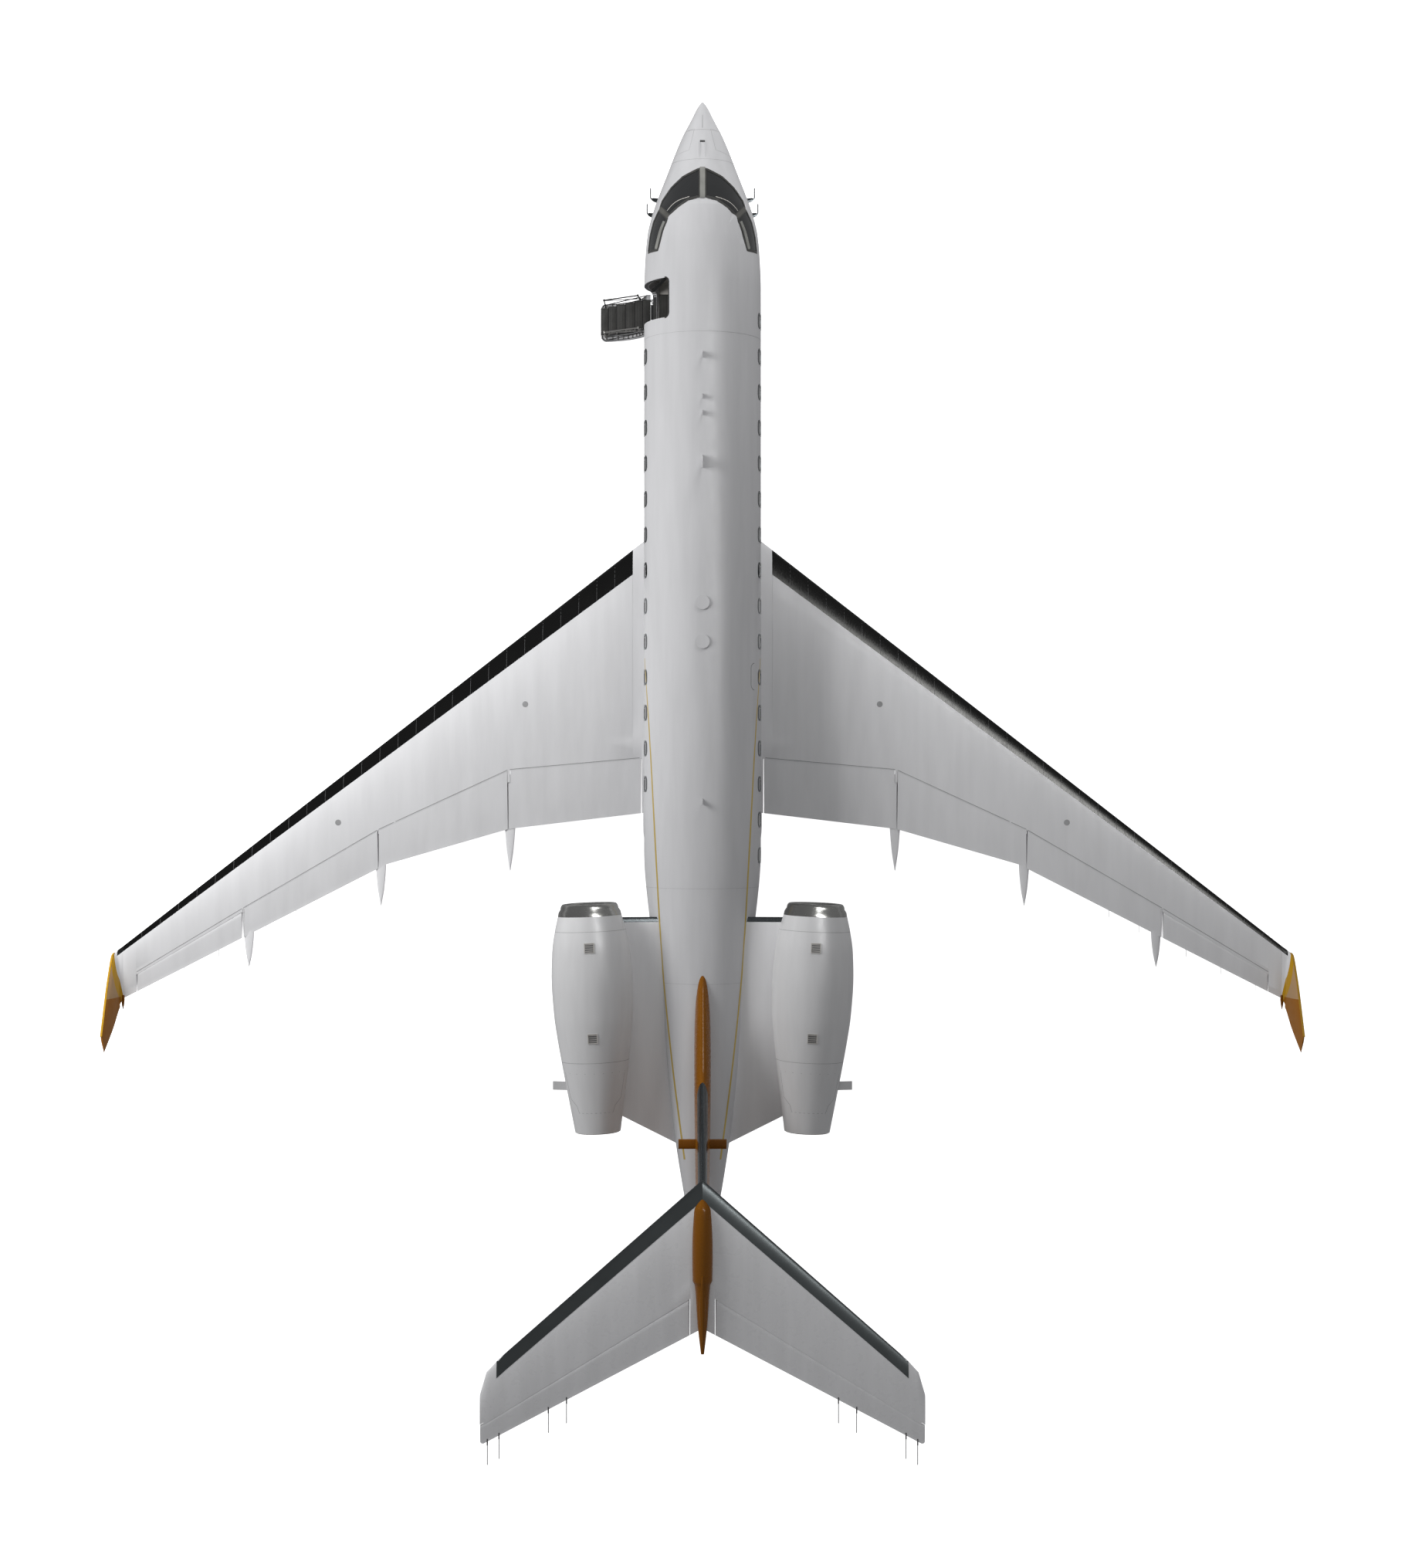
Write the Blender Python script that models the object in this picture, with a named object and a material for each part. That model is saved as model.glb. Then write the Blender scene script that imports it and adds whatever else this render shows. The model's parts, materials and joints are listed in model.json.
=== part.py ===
"""A business jet at full size, parked on its gear with its airstair down.

Metres. +Z is up, the nose points to +Y, starboard is +X, and the ground is z = 0.
Side -1 is port (left) and side +1 is starboard (right).
"""

import math

import bmesh
import bpy
from mathutils import Matrix, Vector

TOUCH = 0.0003
SIDES = {"left": -1, "right": 1}

# Fuselage: station, half width, top, bottom and the height of the widest point.
HULL = [
    (-11.90, 0.15, 3.52, 3.12, 3.33),
    (-10.40, 0.45, 3.66, 2.66, 3.18),
    (-8.12, 0.80, 3.72, 1.98, 2.93),
    (-6.88, 0.96, 3.725, 1.65, 2.78),
    (-4.42, 1.215, 3.725, 1.15, 2.50),
    (-2.60, 1.375, 3.725, 0.975, 2.35),
    (10.64, 1.375, 3.725, 0.975, 2.35),
    (11.52, 1.338, 3.68, 0.99, 2.33),
    (11.96, 1.292, 3.62, 1.01, 2.31),
    (12.41, 1.184, 3.52, 1.05, 2.27),
    (12.84, 1.04, 3.30, 1.11, 2.22),
    (13.43, 0.82, 2.91, 1.24, 2.15),
    (13.87, 0.656, 2.68, 1.38, 2.11),
    (14.31, 0.474, 2.49, 1.55, 2.08),
    (14.74, 0.255, 2.27, 1.78, 2.05),
    (15.03, 0.11, 2.14, 1.94, 2.04),
    (15.15, 0.02, 2.06, 2.02, 2.04),
]
HULL_SIDES = 32
HULL_RADIUS = 1.375
HULL_CENTRE_Z = 2.35
RADOME_AFT = 14.40
COCKPIT_FRONT = 13.55
FORWARD_AFT = 9.43
CABIN_AFT = -3.40
CABIN_INNER_AFT = -3.25
TAIL_CONE_FRONT = -10.40
TAIL_CONE_AFT = -11.90
HULL_SEAMS = [RADOME_AFT, COCKPIT_FRONT, FORWARD_AFT, CABIN_INNER_AFT, CABIN_AFT, -5.60, -9.30]
HULL_RINGS = sorted([row[0] for row in HULL] + HULL_SEAMS)
WALL = 0.10
AFT_WALL = 0.07
FLOOR_TOP = 1.64
FLOOR_THICKNESS = 0.16
SEAT_RAIL_X = (-0.42, 0.42)
SEAT_RAIL_WIDTH = 0.05
SEAT_RAIL_HEIGHT = 0.010
SEAT_RAIL_Y = (-2.60, 9.30)
BULKHEAD_Y = 10.95
BULKHEAD_THICKNESS = 0.06
PASSAGE_HALF_WIDTH = 0.30
PASSAGE_HEIGHT = 1.72

# Belly fairing: station, half width, top and bottom.
FAIRING = [
    (-4.30, 0.70, 1.42, 1.10),
    (-3.30, 1.16, 1.72, 0.90),
    (-2.00, 1.42, 1.88, 0.78),
    (4.60, 1.42, 1.88, 0.76),
    (5.70, 1.22, 1.75, 0.86),
    (6.60, 0.80, 1.35, 0.94),
]
FAIRING_SIDES = 28
FAIRING_SQUARENESS = 3.2

# Cabin windows, on both sides of the cabin at one pitch.
WINDOW_FIRST_Y = 9.85
WINDOW_PITCH = 0.834
WINDOW_WIDTH = 0.34
WINDOW_LOW = 2.36
WINDOW_HIGH = 2.80
WINDOW_CORNER = 0.11
WINDOWS_RIGHT = range(0, 16)
WINDOWS_LEFT = range(1, 14)

# Windshield outlines seen from above, on the port side: X inboard to outboard, then Y.
POST_HALF = 0.06
FRONT_PANE = [
    (-POST_HALF, 13.36),
    (-0.46, 13.15),
    (-0.73, 12.90),
    (-0.94, 12.61),
    (-0.985, 12.46),
    (-0.775, 12.20),
    (-0.58, 12.36),
    (-0.335, 12.53),
    (-POST_HALF, 12.60),
]
SIDE_PANE = [
    (-1.02, 12.38),
    (-1.15, 12.12),
    (-1.23, 11.79),
    (-1.27, 11.43),
    (-1.04, 11.40),
    (-0.93, 11.83),
    (-0.82, 12.11),
]
PANE_DEPTH = 0.012
PANE_THICKNESS = 0.024
PANE_SEAT = 0.0006

# Doorway and airstair: hull angles are measured up from the horizontal.
DOOR_AFT = 9.80
DOOR_FORWARD = 10.72
DOOR_LOW_ANGLE = -31.1
DOOR_HIGH_ANGLE = 55.0
DOOR_CORNER = 0.12
DOOR_GAP = 0.008
STAIR_HINGE = Vector((-1.20, 0.0, 1.60))
STAIR_OPEN_ANGLE = 150.6
STEP_EDGES = (-2.46, -2.27, -2.07, -1.84, -1.62, -1.43)
STEP_LOWEST = 0.42
STEP_HIGHEST = 1.34
STEP_AFT = 9.93
STEP_FORWARD = 10.59
RAIL_RADIUS = 0.016
# Hinge arms on the shut door and the lugs on the sill that carry their pins: X and Z.
STAIR_FACET = 6.4
STAIR_ARMS = (9.97, 10.55)
STAIR_ARM_WIDTH = 0.05
STAIR_ARM = [(-1.188, 1.590), (-1.212, 1.590), (-1.245, 1.700), (-1.200, 1.705), (-1.198, 1.655)]
STAIR_PIN_LENGTH = 0.02
STAIR_PIN_RADIUS = 0.010
STAIR_LUG_WIDTH = 0.05
STAIR_LUG = [
    (-1.214, 1.586), (-1.208, 1.614), (-1.160, 1.612), (-1.090, 1.600), (-1.090, 1.530),
    (-1.150, 1.540),
]

# Wing: leading edge, trailing edge and flap hinge line as (X, Y) points.
WING_LE = [(1.40, 4.81), (13.78, -4.93)]
WING_TE = [(1.40, -1.68), (4.60, -2.06), (7.50, -2.90), (13.13, -5.79), (13.60, -6.02)]
HINGE_LINE = [(1.38, -0.37), (4.60, -0.66), (7.65, -2.07), (10.86, -3.945), (13.30, -5.42)]
SLAT_DEPTH = [(1.66, 0.62), (13.60, 0.13)]
WING_PLANE = [(1.40, 1.50), (13.78, 2.50)]
WING_THICKNESS = [(1.40, 0.125), (13.78, 0.105)]
WING_ROOT_X = 1.05
FLAP_START_X = 1.45
SLAT_START_X = 1.66
AILERON_END_X = 13.30
WING_TIP_X = 13.60
STEP_WIDTH = 0.002
# Flaps and the track fairing on each one's outboard end: middle X, half width, aft end.
FLAPS = {
    "inboard": (1.47, 4.56, 4.58, 0.145, -3.05),
    "middle": (4.635, 7.66, 7.62, 0.13, -3.87),
    "outboard": (7.69, 10.80, 10.70, 0.12, -5.30),
}
FLAP_BENDS = (7.5,)
FLAP_GAP = 0.012
TRACK_CLEARANCE = 0.014
FLAP_MAX = 30.0
AILERON_X = (10.86, 13.27)
FAIRING_DEPTH = 0.30

# Winglet rings: leading edge X, Y, Z, chord, how far the trailing edge lies inboard, lean.
WINGLET_RINGS = [
    (13.6003, -4.79, 2.486, 1.225, 0.00, 0.0),
    (13.74, -4.90, 2.53, 1.27, 0.06, 35.0),
    (13.825, -5.00, 2.66, 1.24, 0.17, 70.0),
    (13.84, -5.60, 3.05, 0.98, 0.16, 78.0),
    (13.80, -6.78, 3.85, 0.37, 0.07, 78.0),
]
WINGLET_THICKNESS = 0.10

# Tail surfaces.
STAB_Z = 7.45
STAB_LE = [(0.0, -9.49), (4.38, -13.34), (4.64, -13.62), (4.78, -14.10)]
STAB_TE = [(0.0, -12.68), (4.70, -15.15)]
STAB_HINGE = [(0.0, -11.79), (4.70, -14.69)]
STAB_THICKNESS = 0.09
STAB_RINGS = (0.0, 2.2, 4.38, 4.64, 4.78)
ELEVATOR_X = (0.30, 4.70)
FIN_LE = [(3.45, -4.95), (3.75, -5.44), (4.60, -7.75), (7.30, -9.75)]
FIN_TE = [(3.45, -10.80), (3.75, -10.95), (7.30, -12.77)]
FIN_THICKNESS = [(3.45, 0.062), (3.75, 0.068), (4.60, 0.095), (7.30, 0.09)]
FIN_RINGS = (3.45, 3.75, 4.15, 4.60, 7.30)
FIN_HINGE = [(3.75, -9.80), (7.30, -11.87)]
RUDDER_Z = (3.86, 7.08)
# Bullet: station, half width, half height about its axis.
BULLET = [
    (-13.22, 0.02, 0.03),
    (-12.60, 0.11, 0.14),
    (-11.64, 0.19, 0.28),
    (-10.90, 0.225, 0.31),
    (-10.13, 0.19, 0.24),
    (-9.86, 0.04, 0.06),
]
BULLET_Z = 7.49
BULLET_SIDES = 16
HINGE_GAP = 0.014
PIN_RADIUS = 0.018
PIN_SEAT = 0.05
PIN_STEPS = 8

# Engines: nacelle profiles are (distance aft of the inlet, radius).
INLET_CENTRE = (2.62, -3.75, 3.40)
EXIT_X = 2.415
NACELLE_LENGTH = 5.27
NACELLE_SIDES = 24
LIP_OUTER = [(0.0, 0.60), (0.03, 0.645), (0.10, 0.69), (0.28, 0.735)]
LIP_INNER = [(0.28, 0.54), (0.12, 0.54), (0.03, 0.565)]
NACELLE_OUTER = [
    (0.60, 0.815),
    (1.10, 0.90),
    (1.83, 0.938),
    (2.57, 0.91),
    (3.07, 0.857),
    (3.73, 0.765),
    (4.53, 0.642),
    (5.27, 0.526),
]
NACELLE_INNER = [(5.27, 0.49), (4.20, 0.56), (2.30, 0.63), (0.95, 0.63)]
FAN_AT = 1.12
FAN_DEPTH = 0.16
FAN_RADIUS = 0.615
FAN_BLADES = 14
FAN_HUB_RADIUS = 0.20
SPINNER_LENGTH = 0.30
ENGINE_PROFILE = [
    (1.30, 0.09),
    (1.46, 0.10),
    (1.50, 0.6295),
    (2.25, 0.6295),
    (3.30, 0.42),
    (4.30, 0.30),
    (5.05, 0.03),
]
PYLON_LE_Y = -4.08
PYLON_TE = [(0.645, -9.32), (1.85, -8.70)]
PYLON_Z = [(0.6, 3.08), (2.3, 3.24)]
PYLON_THICKNESS = 0.24

# Landing gear.
NOSE_GEAR_Y = 12.20
NOSE_TYRE = {"radius": 0.265, "width": 0.17, "offset": 0.165, "rim": 0.14}
MAIN_GEAR = (2.03, -0.25)
MAIN_TYRE = {"radius": 0.4825, "width": 0.30, "offset": 0.23, "rim": 0.25}
AXLE_RADIUS = 0.045
AXLE_HOLE = 0.0459
LUG_HALF_WIDTH = 0.045
NOSE_LEG_RADIUS = 0.075
NOSE_PISTON_RADIUS = 0.05
NOSE_LEG_BOTTOM = 0.62
MAIN_LEG_RADIUS = 0.10
WHEEL_SIDES = 20


def clear_scene():
    for obj in list(bpy.data.objects):
        bpy.data.objects.remove(obj)


def paint(name, colour, roughness, metallic=0.0, alpha=1.0):
    """A Principled material, one for each finish."""
    material = bpy.data.materials.get(name) or bpy.data.materials.new(name)
    material.use_nodes = True
    shader = material.node_tree.nodes["Principled BSDF"]
    shader.inputs["Base Color"].default_value = (*colour, 1.0)
    shader.inputs["Roughness"].default_value = roughness
    shader.inputs["Metallic"].default_value = metallic
    shader.inputs["Alpha"].default_value = alpha
    return material


def white_paint():
    return paint("white_paint", (0.80, 0.80, 0.81), 0.25)


def white_composite():
    return paint("white_composite", (0.80, 0.80, 0.81), 0.25)


def orange_composite():
    return paint("orange_composite", (0.35, 0.14, 0.02), 0.30)


def polished_metal():
    return paint("polished_metal", (0.62, 0.62, 0.60), 0.12, 1.0)


def dark_metal():
    return paint("dark_metal", (0.16, 0.16, 0.17), 0.45, 0.8)


def dark_glass():
    return paint("dark_glass", (0.03, 0.03, 0.035), 0.06, 0.0, 0.6)


def rubber():
    return paint("tyre_rubber", (0.03, 0.03, 0.03), 0.85)


def dark_trim():
    return paint("dark_trim", (0.06, 0.06, 0.06), 0.6)


def light_trim():
    return paint("light_trim", (0.55, 0.53, 0.50), 0.6)


def smooth(points, at):
    """The height at a place on the smooth curve through points, which rise in their first value."""
    places = [point[0] for point in points]
    heights = [point[1] for point in points]
    if at <= places[0]:
        return heights[0]
    if at >= places[-1]:
        return heights[-1]
    slopes = [
        (heights[i + 1] - heights[i]) / (places[i + 1] - places[i])
        for i in range(len(points) - 1)
    ]
    tangents = [slopes[0]]
    for before, after in zip(slopes, slopes[1:]):
        tangents.append(0.0 if before * after <= 0 else 2 * before * after / (before + after))
    tangents.append(slopes[-1])
    i = max(k for k in range(len(places) - 1) if places[k] <= at)
    span = places[i + 1] - places[i]
    t = (at - places[i]) / span
    return (
        heights[i] * (2 * t**3 - 3 * t**2 + 1)
        + tangents[i] * span * (t**3 - 2 * t**2 + t)
        + heights[i + 1] * (3 * t**2 - 2 * t**3)
        + tangents[i + 1] * span * (t**3 - t**2)
    )


def straight(points, at):
    """The height at a place on straight lines through points, carried on past both ends."""
    i = 0
    while i < len(points) - 2 and at > points[i + 1][0]:
        i += 1
    (x0, y0), (x1, y1) = points[i], points[i + 1]
    return y0 + (y1 - y0) * (at - x0) / (x1 - x0)


def column(table, index):
    return [(row[0], row[index]) for row in table]


def mesh_object(name, points, faces, material=None):
    """An object from points and faces, turned to face outward and shaded smooth."""
    mesh = bpy.data.meshes.new(name)
    mesh.from_pydata([tuple(point) for point in points], [], faces)
    work = bmesh.new()
    work.from_mesh(mesh)
    bmesh.ops.recalc_face_normals(work, faces=work.faces)
    work.to_mesh(mesh)
    work.free()
    mesh.shade_smooth()
    mesh.set_sharp_from_angle(angle=math.radians(32))
    if material:
        mesh.materials.append(material)
    obj = bpy.data.objects.new(name, mesh)
    bpy.context.scene.collection.objects.link(obj)
    return obj


def middle_of(ring):
    return sum((Vector(point) for point in ring), Vector()) / len(ring)


def loft(name, rings, material=None, loop=False):
    """A body through rings of equal length: capped at both ends, or closed into a loop.

    Each four-sided patch is split from the ring with the lower place, so that two bodies
    through the same rings have the same facets.
    """
    size = len(rings[0])
    points = [point for ring in rings for point in ring]
    faces = []
    pairs = list(range(len(rings))) if loop else list(range(len(rings) - 1))
    for i in pairs:
        j = (i + 1) % len(rings)
        low, high = i * size, j * size
        way = middle_of(rings[j]) - middle_of(rings[i])
        rising = max(way, key=abs) > 0
        for k in range(size):
            nxt = (k + 1) % size
            if rising:
                faces.append((low + k, low + nxt, high + nxt))
                faces.append((low + k, high + nxt, high + k))
            else:
                faces.append((low + k, low + nxt, high + k))
                faces.append((low + nxt, high + nxt, high + k))
    if not loop:
        faces.append(tuple(range(size))[::-1])
        faces.append(tuple(range((len(rings) - 1) * size, len(rings) * size)))
    return mesh_object(name, points, faces, material)


def turned(name, profile, sides, place, material=None, loop=False):
    """A body turned about its own Y axis from (distance along -Y, radius), then placed."""
    rings = []
    for along, radius in profile:
        ring = []
        for k in range(sides):
            angle = 2 * math.pi * k / sides
            spot = Vector((radius * math.sin(angle), -along, radius * math.cos(angle)))
            ring.append(place @ spot)
        rings.append(ring)
    return loft(name, rings, material, loop)


def rod(name, start, end, radius, sides=12, material=None):
    """A round bar between two points."""
    start, end = Vector(start), Vector(end)
    way = end - start
    place = Matrix.Translation(start) @ way.to_track_quat("-Y", "Z").to_matrix().to_4x4()
    return turned(name, [(0, radius), (way.length, radius)], sides, place, material)


def tube(name, route, radius, sides=8, material=None):
    """A round tube through a route's points, mitred at its corners."""
    points = [Vector(point) for point in route]
    ways = [(after - before).normalized() for before, after in zip(points, points[1:])]
    rings = []
    frame = ways[0].to_track_quat("Z", "Y").to_matrix()
    across, up = frame.col[0].copy(), frame.col[1].copy()
    for i, point in enumerate(points):
        back = ways[max(i - 1, 0)]
        on = ways[min(i, len(ways) - 1)]
        if i > 0:
            turn = back_before.rotation_difference(back)
            across, up = turn @ across, turn @ up
        back_before = back
        plane = (back + on).normalized()
        ring = []
        for k in range(sides):
            angle = 2 * math.pi * (k + 0.5) / sides
            spot = radius * (math.cos(angle) * across + math.sin(angle) * up)
            ring.append(point + spot - back * (spot.dot(plane) / back.dot(plane)))
        rings.append(ring)
    return loft(name, rings, material)


def prism(name, outline, low, high, axis, material=None):
    """An outline in the plane across an axis, extruded from low to high along it."""
    rings = []
    for along in (low, high):
        ring = []
        for first, second in outline:
            if axis == "X":
                ring.append((along, first, second))
            elif axis == "Y":
                ring.append((first, along, second))
            else:
                ring.append((first, second, along))
        rings.append(ring)
    return loft(name, rings, material)


def box(name, low, high, material=None):
    outline = [(low[0], low[1]), (high[0], low[1]), (high[0], high[1]), (low[0], high[1])]
    return prism(name, outline, low[2], high[2], "Z", material)


def combine(obj, helper, operation):
    """Adds a Boolean to obj and turns the other object into a hidden helper."""
    modifier = obj.modifiers.new(helper.name, "BOOLEAN")
    modifier.operation = operation
    modifier.object = helper
    modifier.solver = "EXACT"
    helper.hide_render = True
    helper.display_type = "WIRE"


def put_origin(obj, spot):
    """Moves an object's origin to a place and leaves its mesh where it is."""
    spot = Vector(spot)
    obj.data.transform(Matrix.Translation(-spot))
    obj.location = spot


def cut(obj, helper):
    combine(obj, helper, "DIFFERENCE")


def join(obj, helper):
    combine(obj, helper, "UNION")


# Fuselage.


def hull_ring(y, inset=0.0):
    """One ring of the fuselage's outer surface at a station, or of one that lies inset inside it."""
    half = smooth(column(HULL, 1), y) - inset
    top = smooth(column(HULL, 2), y) - inset
    bottom = smooth(column(HULL, 3), y) + inset
    widest = smooth(column(HULL, 4), y)
    ring = []
    for k in range(HULL_SIDES):
        angle = 2 * math.pi * (k + 0.5) / HULL_SIDES
        rise = math.cos(angle)
        height = widest + rise * ((top - widest) if rise > 0 else (widest - bottom))
        ring.append((half * math.sin(angle), y, height))
    return ring


def hull_stations(start, end):
    """The fuselage's ring stations between two, with both of them."""
    between = [y for y in HULL_RINGS if min(start, end) + 0.01 < y < max(start, end) - 0.01]
    stations = sorted([start, end] + between)
    return stations if start < end else stations[::-1]


def hull_solid(name, start, end, inset=0.0):
    """The fuselage as one solid, from the ring at or before start to the one at or after end."""
    first = max(y for y in HULL_RINGS if y <= start)
    last = min(y for y in HULL_RINGS if y >= end)
    return loft(name, [hull_ring(y, inset) for y in HULL_RINGS if first <= y <= last])


def hull_height(x, y):
    """The height of the fuselage's upper surface over a place."""
    half = smooth(column(HULL, 1), y)
    top = smooth(column(HULL, 2), y)
    widest = smooth(column(HULL, 4), y)
    return widest + (top - widest) * math.sqrt(max(0.0, 1 - (x / half) ** 2))


def hull_crown(y):
    """The height of the flat along the top of the fuselage at a station, between its rings."""
    rings = [(ring_y, hull_ring(ring_y)[0][2]) for ring_y in HULL_RINGS]
    return straight(rings, y)


def hull_cup(name, open_end, closed_end, inner_end, wall, material):
    """A hollow length of fuselage, open at one end and closed at the other."""
    outer = [hull_ring(y) for y in hull_stations(open_end, closed_end)]
    inner = [hull_ring(y, wall) for y in hull_stations(open_end, inner_end)]
    rings = outer[::-1] + inner
    return loft(name, rings, material)


def hull_patch(name, aft, forward, low, high, corner, inner, outer, side, rows=12, steps=4, material=None):
    """A rounded rectangle of the round cabin wall between two radii and two hull angles."""
    corner_angle = math.degrees(corner / HULL_RADIUS)
    angles = []
    for k in range(steps + 1):
        angles.append((low + corner_angle * (1 - math.cos(math.pi / 2 * k / steps)), k / steps))
    body = high - low - 2 * corner_angle
    middle = [(low + corner_angle + body * k / rows, 1.0) for k in range(1, rows)]
    top = [(high + low - angle, share) for angle, share in reversed(angles)]
    rings = []
    for angle, share in angles + middle + top:
        inset = corner * (1 - math.sin(math.pi / 2 * share)) * 0.999
        turn = math.radians(angle)
        ring = []
        for y, radius in ((aft + inset, inner), (forward - inset, inner),
                          (forward - inset, outer), (aft + inset, outer)):
            ring.append(
                (side * radius * math.cos(turn), y, HULL_CENTRE_Z + radius * math.sin(turn))
            )
        rings.append(ring)
    return loft(name, rings, material)


def window_cutter(name, side, numbers):
    """All the window openings of one side, as one cutter."""
    low = math.degrees(math.asin((WINDOW_LOW - HULL_CENTRE_Z) / HULL_RADIUS))
    high = math.degrees(math.asin((WINDOW_HIGH - HULL_CENTRE_Z) / HULL_RADIUS))
    pieces = []
    for number in numbers:
        middle = WINDOW_FIRST_Y - WINDOW_PITCH * number
        pieces.append(
            hull_patch(
                f"{name}_{number}",
                middle - WINDOW_WIDTH / 2,
                middle + WINDOW_WIDTH / 2,
                low,
                high,
                WINDOW_CORNER,
                HULL_RADIUS - 2 * WALL,
                HULL_RADIUS + WALL,
                side,
                rows=1,
                steps=1,
            )
        )
    whole = bmesh.new()
    for piece in pieces:
        whole.from_mesh(piece.data)
        bpy.data.objects.remove(piece)
    mesh = bpy.data.meshes.new(name)
    whole.to_mesh(mesh)
    whole.free()
    obj = bpy.data.objects.new(name, mesh)
    bpy.context.scene.collection.objects.link(obj)
    return obj


def pane_outline(outline, side, shrink=0.0):
    """A pane's outline on one side, drawn in by a small amount toward its middle."""
    middle = Vector((0.0, 0.0))
    for x, y in outline:
        middle += Vector((x, y)) / len(outline)
    drawn = []
    for x, y in outline:
        way = middle - Vector((x, y))
        spot = Vector((x, y)) + way.normalized() * shrink
        drawn.append((-side * spot.x, spot.y))
    return drawn


def pane_body(name, outline, side, upper, lower, shrink, material=None):
    """A pane that follows the fuselage between two depths under its surface."""
    drawn = pane_outline(outline, side, shrink)
    middle_x = sum(x for x, _ in drawn) / len(drawn)
    middle_y = sum(y for _, y in drawn) / len(drawn)
    points = []
    for depth in (upper, lower):
        for x, y in drawn:
            points.append((x, y, hull_height(x, y) - depth))
        points.append((middle_x, middle_y, hull_height(middle_x, middle_y) - depth))
    count = len(drawn)
    faces = []
    for k in range(count):
        nxt = (k + 1) % count
        faces.append((k, nxt, count))
        faces.append((count + 1 + nxt, count + 1 + k, 2 * count + 1))
        faces.append((nxt, k, count + 1 + k, count + 1 + nxt))
    return mesh_object(name, points, faces, material)


def make_fuselage():
    loft("radome", [hull_ring(y) for y in hull_stations(RADOME_AFT + TOUCH, HULL[-1][0])], white_paint())
    forward = hull_cup("forward_fuselage", FORWARD_AFT + TOUCH, RADOME_AFT, COCKPIT_FRONT, WALL, white_paint())
    cabin = hull_cup("cabin_fuselage", FORWARD_AFT, CABIN_AFT + TOUCH, CABIN_INNER_AFT, WALL, white_paint())
    hull_cup("aft_fuselage", CABIN_AFT, TAIL_CONE_FRONT + TOUCH, TAIL_CONE_FRONT + 0.3, AFT_WALL, white_paint())
    loft("tail_cone", [hull_ring(y) for y in hull_stations(TAIL_CONE_FRONT, TAIL_CONE_AFT)], white_paint())
    doorway = hull_patch(
        "doorway_cutter", DOOR_AFT, DOOR_FORWARD, DOOR_LOW_ANGLE, DOOR_HIGH_ANGLE, DOOR_CORNER,
        HULL_RADIUS - 2 * WALL, HULL_RADIUS + WALL, SIDES["left"],
    )
    for middle, way in zip(STAIR_ARMS, (1, -1)):
        start = middle + way * (STAIR_ARM_WIDTH / 2 + STAIR_PIN_LENGTH + TOUCH)
        edges = sorted((start, start + way * STAIR_LUG_WIDTH))
        join(forward, prism(f"stair_lug_{middle}", STAIR_LUG, edges[0], edges[1], "Y"))
    cut(forward, doorway)
    cut(forward, window_cutter("window_cutter_forward", SIDES["right"], WINDOWS_RIGHT[:1]))
    cut(cabin, window_cutter("window_cutter_right", SIDES["right"], WINDOWS_RIGHT[1:]))
    cut(cabin, window_cutter("window_cutter_left", SIDES["left"], WINDOWS_LEFT))
    for label, side in SIDES.items():
        for kind, outline in (("windshield", FRONT_PANE), ("side_window", SIDE_PANE)):
            cut(forward, pane_body(f"{kind}_{label}_cutter", outline, side, -0.10, 0.34, 0.0))
            pane_body(
                f"{kind}_{label}", outline, side, PANE_DEPTH, PANE_DEPTH + PANE_THICKNESS,
                PANE_SEAT, dark_glass(),
            )


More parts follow.
